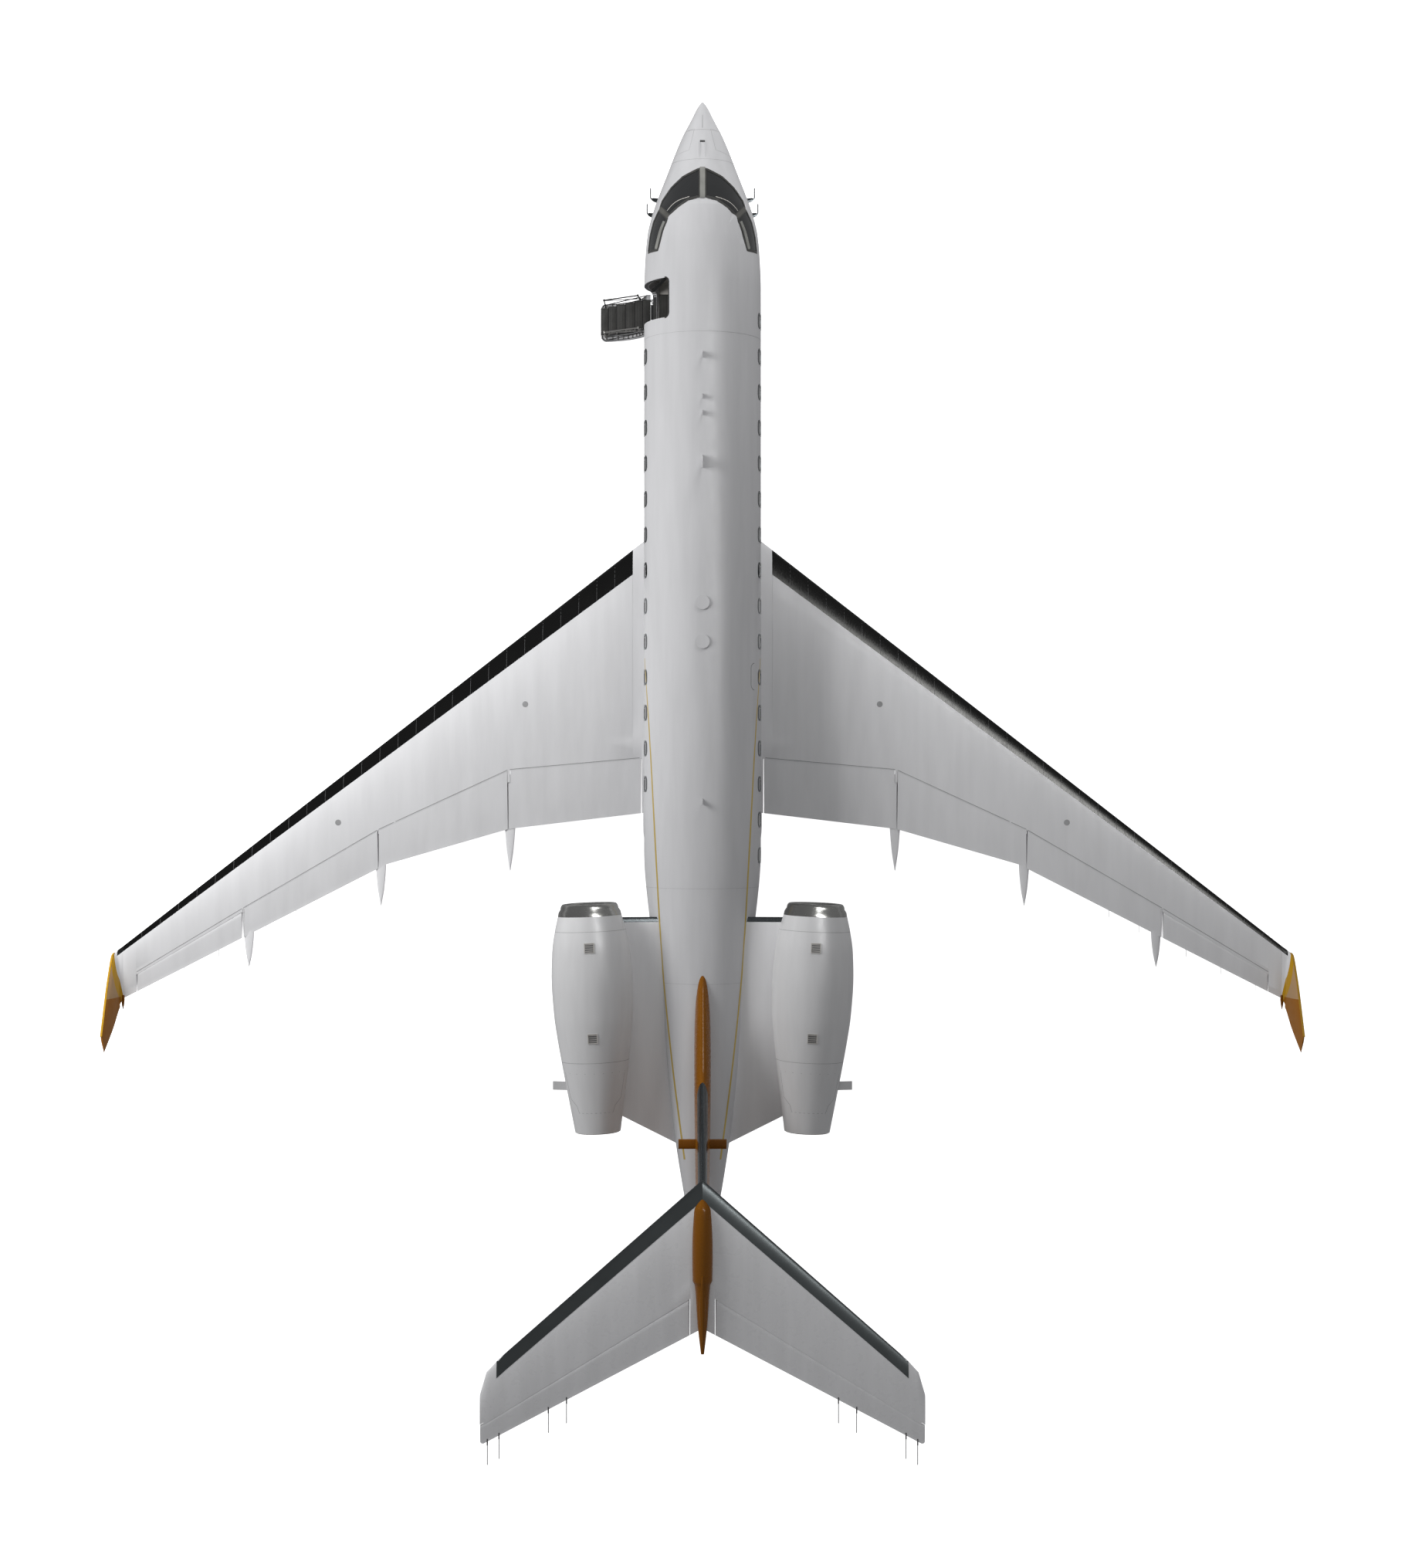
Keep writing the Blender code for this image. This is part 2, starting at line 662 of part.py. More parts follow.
def make_interior():
    """The floor and what stands on it, cut to the inside of the hull."""
    floor = box(
        "cabin_floor",
        (-HULL_RADIUS, CABIN_INNER_AFT + TOUCH, FLOOR_TOP - FLOOR_THICKNESS),
        (HULL_RADIUS, COCKPIT_FRONT - 0.25, FLOOR_TOP),
        light_trim(),
    )
    combine(floor, hull_solid("floor_shape", CABIN_INNER_AFT, COCKPIT_FRONT, WALL + TOUCH), "INTERSECT")
    for x in SEAT_RAIL_X:
        join(floor, box(
            f"seat_rail_{x:+.2f}",
            (x - SEAT_RAIL_WIDTH / 2, SEAT_RAIL_Y[0], FLOOR_TOP - SEAT_RAIL_HEIGHT),
            (x + SEAT_RAIL_WIDTH / 2, SEAT_RAIL_Y[1], FLOOR_TOP + SEAT_RAIL_HEIGHT),
        ))
    bulkhead = box(
        "cockpit_bulkhead",
        (-HULL_RADIUS, BULKHEAD_Y, FLOOR_TOP + TOUCH),
        (HULL_RADIUS, BULKHEAD_Y + BULKHEAD_THICKNESS, HULL_RADIUS + HULL_CENTRE_Z),
        light_trim(),
    )
    shape = hull_solid("bulkhead_shape", BULKHEAD_Y - 1, BULKHEAD_Y + 1, WALL + TOUCH)
    combine(bulkhead, shape, "INTERSECT")
    cut(bulkhead, box(
        "passage_cutter",
        (-PASSAGE_HALF_WIDTH, BULKHEAD_Y - 0.1, FLOOR_TOP - 0.1),
        (PASSAGE_HALF_WIDTH, BULKHEAD_Y + 0.2, FLOOR_TOP + PASSAGE_HEIGHT),
    ))
    panel_outline = [
        (12.62, 2.60), (12.62, 2.72), (12.95, 2.80), (13.20, 2.72), (13.20, FLOOR_TOP + TOUCH),
        (12.90, FLOOR_TOP + TOUCH), (12.78, 2.35),
    ]
    panel = prism("instrument_panel", panel_outline, -HULL_RADIUS, HULL_RADIUS, "X", dark_trim())
    combine(panel, hull_solid("panel_shape", 12.0, 13.5, WALL + TOUCH), "INTERSECT")
    seats = box("cockpit_seats", (-0.15, 11.75, FLOOR_TOP + TOUCH), (0.15, 12.70, 2.22), dark_trim())
    seat_side = [
        (11.72, 2.10), (11.58, 2.86), (11.70, 2.88), (11.86, 2.24), (12.28, 2.22), (12.30, 2.08),
    ]
    for label, side in SIDES.items():
        edges = sorted((side * 0.10, side * 0.66))
        join(seats, prism(f"seat_{label}", seat_side, edges[0], edges[1], "X"))


def fairing_ring(y, grow=0.0):
    half = smooth(column(FAIRING, 1), y) + grow
    top = smooth(column(FAIRING, 2), y) + grow
    bottom = smooth(column(FAIRING, 3), y) - grow
    middle = (top + bottom) / 2
    power = 2 / FAIRING_SQUARENESS
    ring = []
    for k in range(FAIRING_SIDES):
        angle = 2 * math.pi * (k + 0.5) / FAIRING_SIDES
        across, up = math.sin(angle), math.cos(angle)
        ring.append((
            half * math.copysign(abs(across) ** power, across),
            y,
            middle + (top - bottom) / 2 * math.copysign(abs(up) ** power, up),
        ))
    return ring


def fairing_solid(name, grow=0.0, material=None):
    stations = [-4.30, -3.80, -3.30, -2.65, -2.00, 4.60, 5.15, 5.70, 6.20, 6.60]
    return loft(name, [fairing_ring(y, grow) for y in stations], material)


def make_belly_fairing():
    fairing = fairing_solid("belly_fairing", 0.0, white_paint())
    cut(fairing, hull_solid("hull_for_fairing", -6.0, 8.0, -TOUCH))


# Airfoil surfaces.


def half_thickness(share, chord, ratio):
    """Half the thickness of a symmetric airfoil at a share of its chord."""
    share = min(max(share, 0.0), 1.0)
    shape = (
        0.2969 * math.sqrt(share) - 0.1260 * share - 0.3516 * share**2
        + 0.2843 * share**3 - 0.1036 * share**4
    )
    return max(5 * ratio * chord * shape, 0.005)


def airfoil_ring(spot, nose, tail, front, rear, ratio, grow=0.0, steps=7):
    """A ring round the part of an airfoil between two places on its chord line.

    spot(along, height) gives the point in space; nose and tail are the chord's ends.
    """
    chord = nose - tail
    upper = []
    for k in range(steps + 1):
        share = (k / steps) ** 1.8 if front == nose else k / steps
        along = front + (rear - front) * share
        upper.append((along, half_thickness((nose - along) / chord, chord, ratio) + grow))
    upper[-1] = (rear - grow, upper[-1][1])
    upper[0] = (front + grow, 0.25 * upper[1][1] if front == nose else upper[0][1])
    ring = [spot(along, height) for along, height in reversed(upper)]
    ring += [spot(along, -height) for along, height in upper]
    return ring


def wing_values(x):
    return (
        straight(WING_LE, x),
        straight(WING_TE, x),
        straight(WING_PLANE, x),
        straight(WING_THICKNESS, x),
    )


def wing_spot(x, side):
    plane = straight(WING_PLANE, x)
    return lambda along, height: (side * x, along, plane + height)


def slat_line(x):
    return straight(WING_LE, x) - straight(SLAT_DEPTH, x)


def wing_ring(x, side, front, rear, grow=0.0):
    nose, tail, _, ratio = wing_values(x)
    return airfoil_ring(wing_spot(x, side), nose, tail, front, rear, ratio, grow)


def wing_solid(name, side, grow=0.0, material=None):
    """The fixed wing: full chord at root and tip, and between slat and hinge lines elsewhere."""
    rings = []
    for x in (WING_ROOT_X, FLAP_START_X - STEP_WIDTH):
        nose, tail = wing_values(x)[:2]
        rings.append(wing_ring(x, side, nose, tail, grow))
    for x in (FLAP_START_X, SLAT_START_X - STEP_WIDTH):
        rings.append(wing_ring(x, side, wing_values(x)[0], straight(HINGE_LINE, x), grow))
    for x in (SLAT_START_X, 4.60, 7.65, 10.86, AILERON_END_X - STEP_WIDTH):
        rings.append(wing_ring(x, side, slat_line(x), straight(HINGE_LINE, x), grow))
    for x in (AILERON_END_X, WING_TIP_X):
        rings.append(wing_ring(x, side, slat_line(x), wing_values(x)[1], grow))
    return loft(name, rings, material)


def slat_solid(name, side):
    rings = []
    for x in (SLAT_START_X + TOUCH, 4.60, 7.65, 10.86, WING_TIP_X):
        nose = wing_values(x)[0]
        rings.append(wing_ring(x, side, nose, slat_line(x) + 2 * TOUCH))
    return loft(name, rings, polished_metal())


def flap_body(name, side, start, end, grow=0.0, material=None):
    """A flap with a flat nose, which turns down about its lower front edge."""
    rings = []
    for x in (start - grow, *(x for x in FLAP_BENDS if start < x < end), end + grow):
        tail = wing_values(x)[1]
        ring = wing_ring(x, side, straight(HINGE_LINE, x) - FLAP_GAP, tail, grow)
        if not grow:
            lower = flap_hinge(x, side)
            ring[len(ring) // 2] = tuple(lower)
        rings.append(ring)
    return loft(name, rings, material)


def flap_hinge(x, side):
    """A place on the flaps' hinge: the lower front edge at X."""
    nose, tail, plane, ratio = wing_values(x)
    front = straight(HINGE_LINE, x) - 2 * TOUCH
    depth = half_thickness((nose - front) / (nose - tail), nose - tail, ratio)
    return Vector((side * x, front, plane - depth))


def flap_turn(part, side, angle):
    """The turn that lowers one flap of a wing by an angle in degrees."""
    inner, outer = (flap_hinge(x, side) for x in FLAPS[part][:2])
    place = Matrix.Translation(inner)
    return place @ Matrix.Rotation(math.radians(angle), 4, (outer - inner) * side) @ place.inverted()


def make_flaps(label, side):
    """The flaps of one wing, each carrying the track fairing at its outboard end."""
    parts = list(FLAPS)
    for number, part in enumerate(parts):
        start, end, *track_values = FLAPS[part]
        flap = flap_body(f"flap_{part}_{label}", side, start, end, 0.0, white_paint())
        track = track_fairing(f"track_{part}_{label}", side, *track_values)
        if number + 1 < len(parts):
            beyond = parts[number + 1]
            start_beyond, end_beyond = FLAPS[beyond][:2]
            for angle in (0.0, FLAP_MAX):
                room = flap_body(
                    f"room_for_{beyond}_{label}_{angle:.0f}", side,
                    start_beyond, end_beyond, TRACK_CLEARANCE,
                )
                room.data.transform(flap_turn(part, side, -angle) @ flap_turn(beyond, side, angle))
                cut(track, room)
        join(flap, track)
        put_origin(flap, flap_hinge(start, side))


def track_fairing(name, side, x, half, aft):
    """A flap track fairing under a flap: full under the nose, tapering to a point behind it."""
    front = straight(HINGE_LINE, x - half) - FLAP_GAP
    nose, tail, plane, ratio = wing_values(x)
    depth_at_front = half_thickness((nose - front) / (nose - tail), nose - tail, ratio)
    stations = [
        (min(front, straight(HINGE_LINE, x + half) - FLAP_GAP) - 0.03, 1.0, 1.0),
        (front + (aft - front) * 0.45, 0.92, 0.85),
        (front + (aft - front) * 0.75, 0.62, 0.50),
        (aft, 0.06, 0.06),
    ]
    rings = []
    for y, width_share, depth_share in stations:
        top = plane - depth_at_front * 0.15
        width = half * width_share
        depth = (depth_at_front + FAIRING_DEPTH * 0.5) * depth_share
        ring = []
        for k in range(10):
            angle = 2 * math.pi * (k + 0.5) / 10
            rise = math.cos(angle)
            height = top + (0.02 * rise if rise > 0 else depth * rise)
            ring.append((side * x + width * math.sin(angle), y, height))
        rings.append(ring)
    return loft(name, rings)


def hinged_ring(spot, nose, tail, line, ratio, sweep, grow=0.0):
    """A control surface's ring behind a line, and its hinge place: the nose is round about it."""
    chord = nose - tail
    depth = half_thickness((nose - line) / chord, chord, ratio)
    reach = depth / math.cos(sweep)
    hinge = line - HINGE_GAP - reach
    radius = half_thickness((nose - hinge) / chord, chord, ratio)
    upper = []
    for k in range(4):
        along = tail + (hinge - tail) * k / 3
        upper.append((along, half_thickness((nose - along) / chord, chord, ratio)))
    upper[-1] = (hinge, radius)
    for k in range(1, 4):
        turn = math.radians(90 - 30 * k + 15) if k < 3 else math.radians(12)
        upper.append((hinge + reach * math.cos(turn) * 0.98, radius * math.sin(turn) * 0.98))
    ring = [spot(along, height) for along, height in upper]
    ring += [spot(along, -height) for along, height in reversed(upper)]
    return ring, spot(hinge, 0.0)


def hinged_surface(name, ring_values, material, pin_way, clearance):
    """A control surface through its rings, with its object's origin on its hinge.

    Its hinge pin runs on from the ring that lies furthest along pin_way, until its rim is
    a touch from what carries it: clearance gives a point's distance from that.
    """
    obj = loft(name, [ring for ring, _ in ring_values], material)
    ends = [Vector(hinge) for _, hinge in ring_values]
    pin_way = Vector(pin_way)
    start, other = sorted(ends, key=pin_way.dot, reverse=True)
    way = (start - other).normalized()
    to_rim = (pin_way - way * pin_way.dot(way)).normalized() * PIN_RADIUS
    length = 0.0
    for _ in range(PIN_STEPS):
        spare = clearance(start + way * length + to_rim) - TOUCH
        length += spare / way.dot(pin_way)
    join(obj, rod(f"{name}_pin", start - way * PIN_SEAT, start + way * length, PIN_RADIUS, 12))
    put_origin(obj, ends[0])
    return obj


def sweep_of(points, start, end):
    return math.atan2(abs(straight(points, end) - straight(points, start)), abs(end - start))


def make_wings():
    for label, side in SIDES.items():
        wing = wing_solid(f"wing_{label}", side, 0.0, white_paint())
        cut(wing, fairing_solid(f"fairing_for_wing_{label}", TOUCH))
        cut(wing, hull_solid(f"hull_for_wing_{label}", -3.0, 7.0, -TOUCH))
        slat_solid(f"slat_{label}", side)
        make_flaps(label, side)
        sweep = sweep_of(HINGE_LINE, *AILERON_X)
        rings = []
        for x in AILERON_X:
            nose, tail, _, ratio = wing_values(x)
            line = straight(HINGE_LINE, x)
            rings.append(hinged_ring(wing_spot(x, side), nose, tail, line, ratio, sweep))
        tip_wall = AILERON_END_X - STEP_WIDTH
        hinged_surface(
            f"aileron_{label}", rings, white_composite(), (side, 0, 0),
            lambda spot: tip_wall - abs(spot.x),
        )
        winglet(f"winglet_{label}", side)


def winglet(name, side):
    rings = []
    for x, y, z, chord, inboard, lean in WINGLET_RINGS:
        lean = math.radians(lean)

        def spot(along, height, x=x, y=y, z=z, chord=chord, inboard=inboard, lean=lean):
            share = (y - along) / chord
            across = x - inboard * share - height * math.sin(lean)
            return (side * across, along, z + height * math.cos(lean))

        rings.append(airfoil_ring(spot, y, y - chord, y, y - chord, WINGLET_THICKNESS))
    return loft(name, rings, orange_composite())


# Tail.


def stab_ring(x, side, grow=0.0):
    nose, tail = straight(STAB_LE, x), straight(STAB_TE, x)

    def spot(along, height):
        return (side * x, along, STAB_Z + height)

    return airfoil_ring(spot, nose, tail, nose, straight(STAB_HINGE, x), STAB_THICKNESS, grow)


def stab_solid(name, grow=0.0, material=None):
    rings = [stab_ring(x, -1, grow) for x in reversed(STAB_RINGS[1:])]
    rings += [stab_ring(x, 1, grow) for x in STAB_RINGS]
    return loft(name, rings, material)


def fin_values(z):
    nose, tail = straight(FIN_LE, z), straight(FIN_TE, z)
    return nose, tail, straight(FIN_THICKNESS, z)


def fin_ring(z, grow=0.0):
    nose, tail, ratio = fin_values(z)

    def spot(along, height):
        return (height, along, z)

    return airfoil_ring(spot, nose, tail, nose, straight(FIN_HINGE, z), ratio, grow)


def bullet_solid(name, grow=0.0, material=None):
    rings = []
    for y, half, rise in BULLET:
        ring = []
        for k in range(BULLET_SIDES):
            angle = 2 * math.pi * (k + 0.5) / BULLET_SIDES
            ring.append((
                (half + grow) * math.sin(angle), y, BULLET_Z + (rise + grow) * math.cos(angle),
            ))
        rings.append(ring)
    return loft(name, rings, material)


def bullet_side(y):
    """The half width of the bullet's flat side at a station."""
    return straight(column(BULLET, 1), y) * math.cos(math.pi / BULLET_SIDES)


def make_tail():
    fin = loft("fin", [fin_ring(z) for z in FIN_RINGS], orange_composite())
    cut(fin, hull_solid("hull_for_fin", -11.9, -3.0, -TOUCH))
    cut(fin, bullet_solid("bullet_for_fin", TOUCH))
    cut(fin, stab_solid("stab_for_fin", 3 * TOUCH))
    bullet = bullet_solid("bullet_fairing", 0.0, orange_composite())
    cut(bullet, stab_solid("stab_for_bullet", 3 * TOUCH))
    stab_solid("stabilizer", 0.0, white_composite())
    rings = []
    lean = sweep_of(FIN_HINGE, *RUDDER_Z)
    for z in RUDDER_Z:
        nose, tail, ratio = fin_values(z)

        def spot(along, height, z=z):
            return (height, along, z)

        rings.append(hinged_ring(spot, nose, tail, straight(FIN_HINGE, z), ratio, lean))
    hinged_surface(
        "rudder", rings, orange_composite(), (0, 0, -1), lambda spot: spot.z - hull_crown(spot.y),
    )
    for label, side in SIDES.items():
        rings = []
        sweep = sweep_of(STAB_HINGE, *ELEVATOR_X)
        for x in ELEVATOR_X:
            nose, tail = straight(STAB_LE, x), straight(STAB_TE, x)

            def spot(along, height, x=x):
                return (side * x, along, STAB_Z + height)

            rings.append(
                hinged_ring(spot, nose, tail, straight(STAB_HINGE, x), STAB_THICKNESS, sweep)
            )
        hinged_surface(
            f"elevator_{label}", rings, white_composite(), (-side, 0, 0),
            lambda spot: abs(spot.x) - bullet_side(spot.y),
        )


# Engines.


def nacelle_place(side):
    """The frame of one nacelle: its -Y axis runs aft from the inlet's centre."""
    x, y, z = INLET_CENTRE
    toe = math.atan2(x - EXIT_X, NACELLE_LENGTH)
    return Matrix.Translation((side * x, y, z)) @ Matrix.Rotation(-side * toe, 4, "Z")


def nacelle_envelope(name, side, grow):
    """The nacelle and its lip as one solid without its duct, to cut its neighbours to."""
    profile = [(-grow, LIP_OUTER[0][1] + grow)]
    profile += [(along, radius + grow) for along, radius in LIP_OUTER[1:] + NACELLE_OUTER]
    profile[-1] = (NACELLE_LENGTH + grow, NACELLE_OUTER[-1][1] + grow)
    return turned(name, profile, NACELLE_SIDES, nacelle_place(side))


def make_engines():
    for label, side in SIDES.items():
        place = nacelle_place(side)
        turned(
            f"inlet_lip_{label}", LIP_OUTER + LIP_INNER, NACELLE_SIDES, place,
            polished_metal(), loop=True,
        )
        front = LIP_OUTER[-1][0] + TOUCH
        cowl = [(front, LIP_OUTER[-1][1])] + NACELLE_OUTER + NACELLE_INNER + [(front, LIP_INNER[0][1])]
        turned(f"nacelle_{label}", cowl, NACELLE_SIDES, place, white_composite(), loop=True)
        turned(f"engine_{label}", ENGINE_PROFILE, NACELLE_SIDES, place, dark_metal())
        make_fan(f"fan_{label}", place)
        make_pylon(f"pylon_{label}", side)


def make_fan(name, place):
    """A fan: a disc of twisted blade sectors round a hub, with its spinner ahead."""
    count = FAN_BLADES
    front, back = FAN_AT, FAN_AT + FAN_DEPTH
    ring_front, ring_back = [], []
    for k in range(count):
        start = 2 * math.pi * k / count
        for share, radius in ((0.0, FAN_HUB_RADIUS), (0.0, FAN_RADIUS), (0.55, FAN_RADIUS), (0.55, FAN_HUB_RADIUS)):
            angle = start + share * 2 * math.pi / count
            spot = (radius * math.sin(angle), radius * math.cos(angle))
            ring_front.append((spot[0], -front, spot[1]))
            ring_back.append((spot[0], -back, spot[1]))
    blades = loft(name, [[place @ Vector(p) for p in ring_front], [place @ Vector(p) for p in ring_back]], dark_metal())
    hub = [
        (FAN_AT - SPINNER_LENGTH, 0.02),
        (FAN_AT - 0.20, 0.10),
        (FAN_AT - 0.06, 0.19),
        (FAN_AT + 0.02, 0.225),
        (FAN_AT + FAN_DEPTH - 0.02, 0.225),
        (ENGINE_PROFILE[0][0] - TOUCH, 0.16),
    ]
    join(blades, turned(f"{name}_hub", hub, FAN_BLADES, place))
    put_origin(blades, place @ Vector((0, -FAN_AT, 0)))


def make_pylon(name, side):
    rings = []
    for x in (0.60, 2.30):
        tail = straight(PYLON_TE, x)
        plane = straight(PYLON_Z, x)
        ratio = PYLON_THICKNESS / (PYLON_LE_Y - tail)

        def spot(along, height, x=x, plane=plane):
            return (side * x, along, plane + height)

        rings.append(airfoil_ring(spot, PYLON_LE_Y, tail, PYLON_LE_Y, tail, ratio, 0.0, 8))
    pylon = loft(name, rings, white_composite())
    cut(pylon, hull_solid(f"hull_for_{name}", -11.0, -3.0, -TOUCH))
    cut(pylon, nacelle_envelope(f"nacelle_for_{name}", side, TOUCH))


# Landing gear.


def wheel_place(x, y, z):
    """The frame of a wheel: its -Y axis runs along -X of the aircraft, a facet is lowest."""
    across = Matrix.Rotation(math.radians(-90), 4, "Z")
    half_facet = Matrix.Rotation(math.pi / WHEEL_SIDES, 4, "Y")
    return Matrix.Translation((x, y, z)) @ across @ half_facet


def tyre(name, middle, size):
    """A tyre about an axle along X: a closed ring with a round-shouldered profile."""
    half, rim = size["width"] / 2, size["rim"]
    radius = size["radius"] / math.cos(math.pi / WHEEL_SIDES)
    outer = [
        (-half * 0.78, rim), (-half, rim + (radius - rim) * 0.45), (-half * 0.86, radius * 0.965),
        (-half * 0.45, radius), (half * 0.45, radius), (half * 0.86, radius * 0.965),
        (half, rim + (radius - rim) * 0.45), (half * 0.78, rim),
    ]
    tyre_ring = turned(name, outer, WHEEL_SIDES, wheel_place(*middle), rubber(), loop=True)
    put_origin(tyre_ring, middle)


def hub(name, middle, size):
    """Two rims on one axle along X."""
    offset, half, rim = size["offset"], size["width"] / 2 * 0.78, size["rim"] - TOUCH
    inner, outer = offset - half, offset + half
    profile = [
        (-outer - 0.02, 0.06), (-outer, rim * 0.86), (-outer, rim), (-inner, rim), (-inner, rim * 0.6),
        (-LUG_HALF_WIDTH - 0.006, 0.075), (-LUG_HALF_WIDTH - 0.006, AXLE_RADIUS),
    ]
    profile += [(-along, radius) for along, radius in reversed(profile)]
    wheel_hub = turned(name, profile, WHEEL_SIDES, wheel_place(*middle), dark_metal())
    put_origin(wheel_hub, middle)


def lug(name, middle, top, depth, material=None):
    """A lug round an axle, up to a height, with the axle's hole through it."""
    x, y, z = middle
    outline = [(y - depth, top), (y - depth, z)]
    for k in range(1, 8):
        angle = math.pi * k / 8
        outline.append((y - depth * math.cos(angle), z - depth * math.sin(angle)))
    outline += [(y + depth, z), (y + depth, top)]
    return prism(name, outline, x - LUG_HALF_WIDTH, x + LUG_HALF_WIDTH, "X", material)


def axle_hole(name, middle):
    x, y, z = middle
    return rod(name, (x - 0.2, y, z), (x + 0.2, y, z), AXLE_HOLE, 24)


def make_nose_gear():
    axle = (0.0, NOSE_GEAR_Y, NOSE_TYRE["radius"])
    leg = rod("nose_gear_leg", (0, NOSE_GEAR_Y, NOSE_LEG_BOTTOM), (0, NOSE_GEAR_Y, 1.30), NOSE_LEG_RADIUS, 16, dark_metal())
    join(leg, rod("nose_brace", (0, NOSE_GEAR_Y, 0.80), (0, NOSE_GEAR_Y + 0.62, 1.36), 0.04, 10))
    for side in SIDES.values():
        edges = sorted((side * 0.30, side * 0.315))
        join(leg, box(
            f"nose_door_{side}", (edges[0], NOSE_GEAR_Y - 0.55, 0.72),
            (edges[1], NOSE_GEAR_Y + 0.35, 1.40),
        ))
    join(leg, rod("nose_door_link", (-0.31, NOSE_GEAR_Y, 0.92), (0.31, NOSE_GEAR_Y, 0.92), 0.022, 8))
    cut(leg, hull_solid("hull_for_nose_leg", 11.0, 13.8, -TOUCH))
    fork = rod(
        "nose_gear_fork", (0, NOSE_GEAR_Y, 0.30), (0, NOSE_GEAR_Y, NOSE_LEG_BOTTOM - TOUCH),
        NOSE_PISTON_RADIUS, 16, dark_metal(),
    )
    join(fork, lug("nose_lug", axle, 0.42, 0.075))
    cut(fork, axle_hole("nose_axle_hole", axle))
    put_origin(fork, (0, NOSE_GEAR_Y, NOSE_LEG_BOTTOM))
    hub("nose_hub", axle, NOSE_TYRE)
    for label, side in SIDES.items():
        tyre(f"nose_tyre_{label}", (side * NOSE_TYRE["offset"], NOSE_GEAR_Y, axle[2]), NOSE_TYRE)


def make_main_gear():
    x, y = MAIN_GEAR
    for label, side in SIDES.items():
        axle = (side * x, y, MAIN_TYRE["radius"])
        leg = rod(
            f"main_gear_leg_{label}", (side * x, y, 1.00), (side * x, y, 1.60),
            MAIN_LEG_RADIUS, 12, dark_metal(),
        )
        join(leg, lug(f"main_lug_{label}", axle, 1.06, 0.12))
        join(leg, rod(f"main_brace_{label}", (side * x, y, 1.12), (side * (x - 0.62), y, 1.60), 0.045, 8))
        edges = sorted((side * (x + 0.46), side * (x + 0.475)))
        join(leg, box(
            f"main_door_{label}", (edges[0], y - 0.10, 0.98), (edges[1], y + 0.45, 1.60),
        ))
        join(leg, rod(f"main_door_link_{label}", (side * x, y + 0.013, 1.21), (side * (x + 0.465), y + 0.013, 1.21), 0.025, 6))
        cut(leg, wing_solid(f"wing_for_leg_{label}", side, TOUCH))
        cut(leg, fairing_solid(f"fairing_for_leg_{label}", TOUCH))
        cut(leg, axle_hole(f"main_axle_hole_{label}", axle))
        hub(f"main_hub_{label}", axle, MAIN_TYRE)
        for place, way in (("inner", -1), ("outer", 1)):
            middle = (side * (x + way * MAIN_TYRE["offset"]), y, axle[2])
            tyre(f"main_tyre_{place}_{label}", middle, MAIN_TYRE)


# Airstair, made shut in the hull's round wall and then turned open.


def stair_turn():
    hinge = Matrix.Translation(STAIR_HINGE)
    return hinge @ Matrix.Rotation(math.radians(-STAIR_OPEN_ANGLE), 4, "Y") @ hinge.inverted()


def door_arc(radius, low, high, count):
    """Points of the open door's arc at one radius, from its hinge end to its far end."""
    points = []
    for k in range(count + 1):
        angle = math.radians(low + (high - low) * k / count)
        shut = Vector((-radius * math.cos(angle), 0, HULL_CENTRE_Z + radius * math.sin(angle)))
        opened = stair_turn() @ shut
        points.append((opened.x, opened.z))
    return points


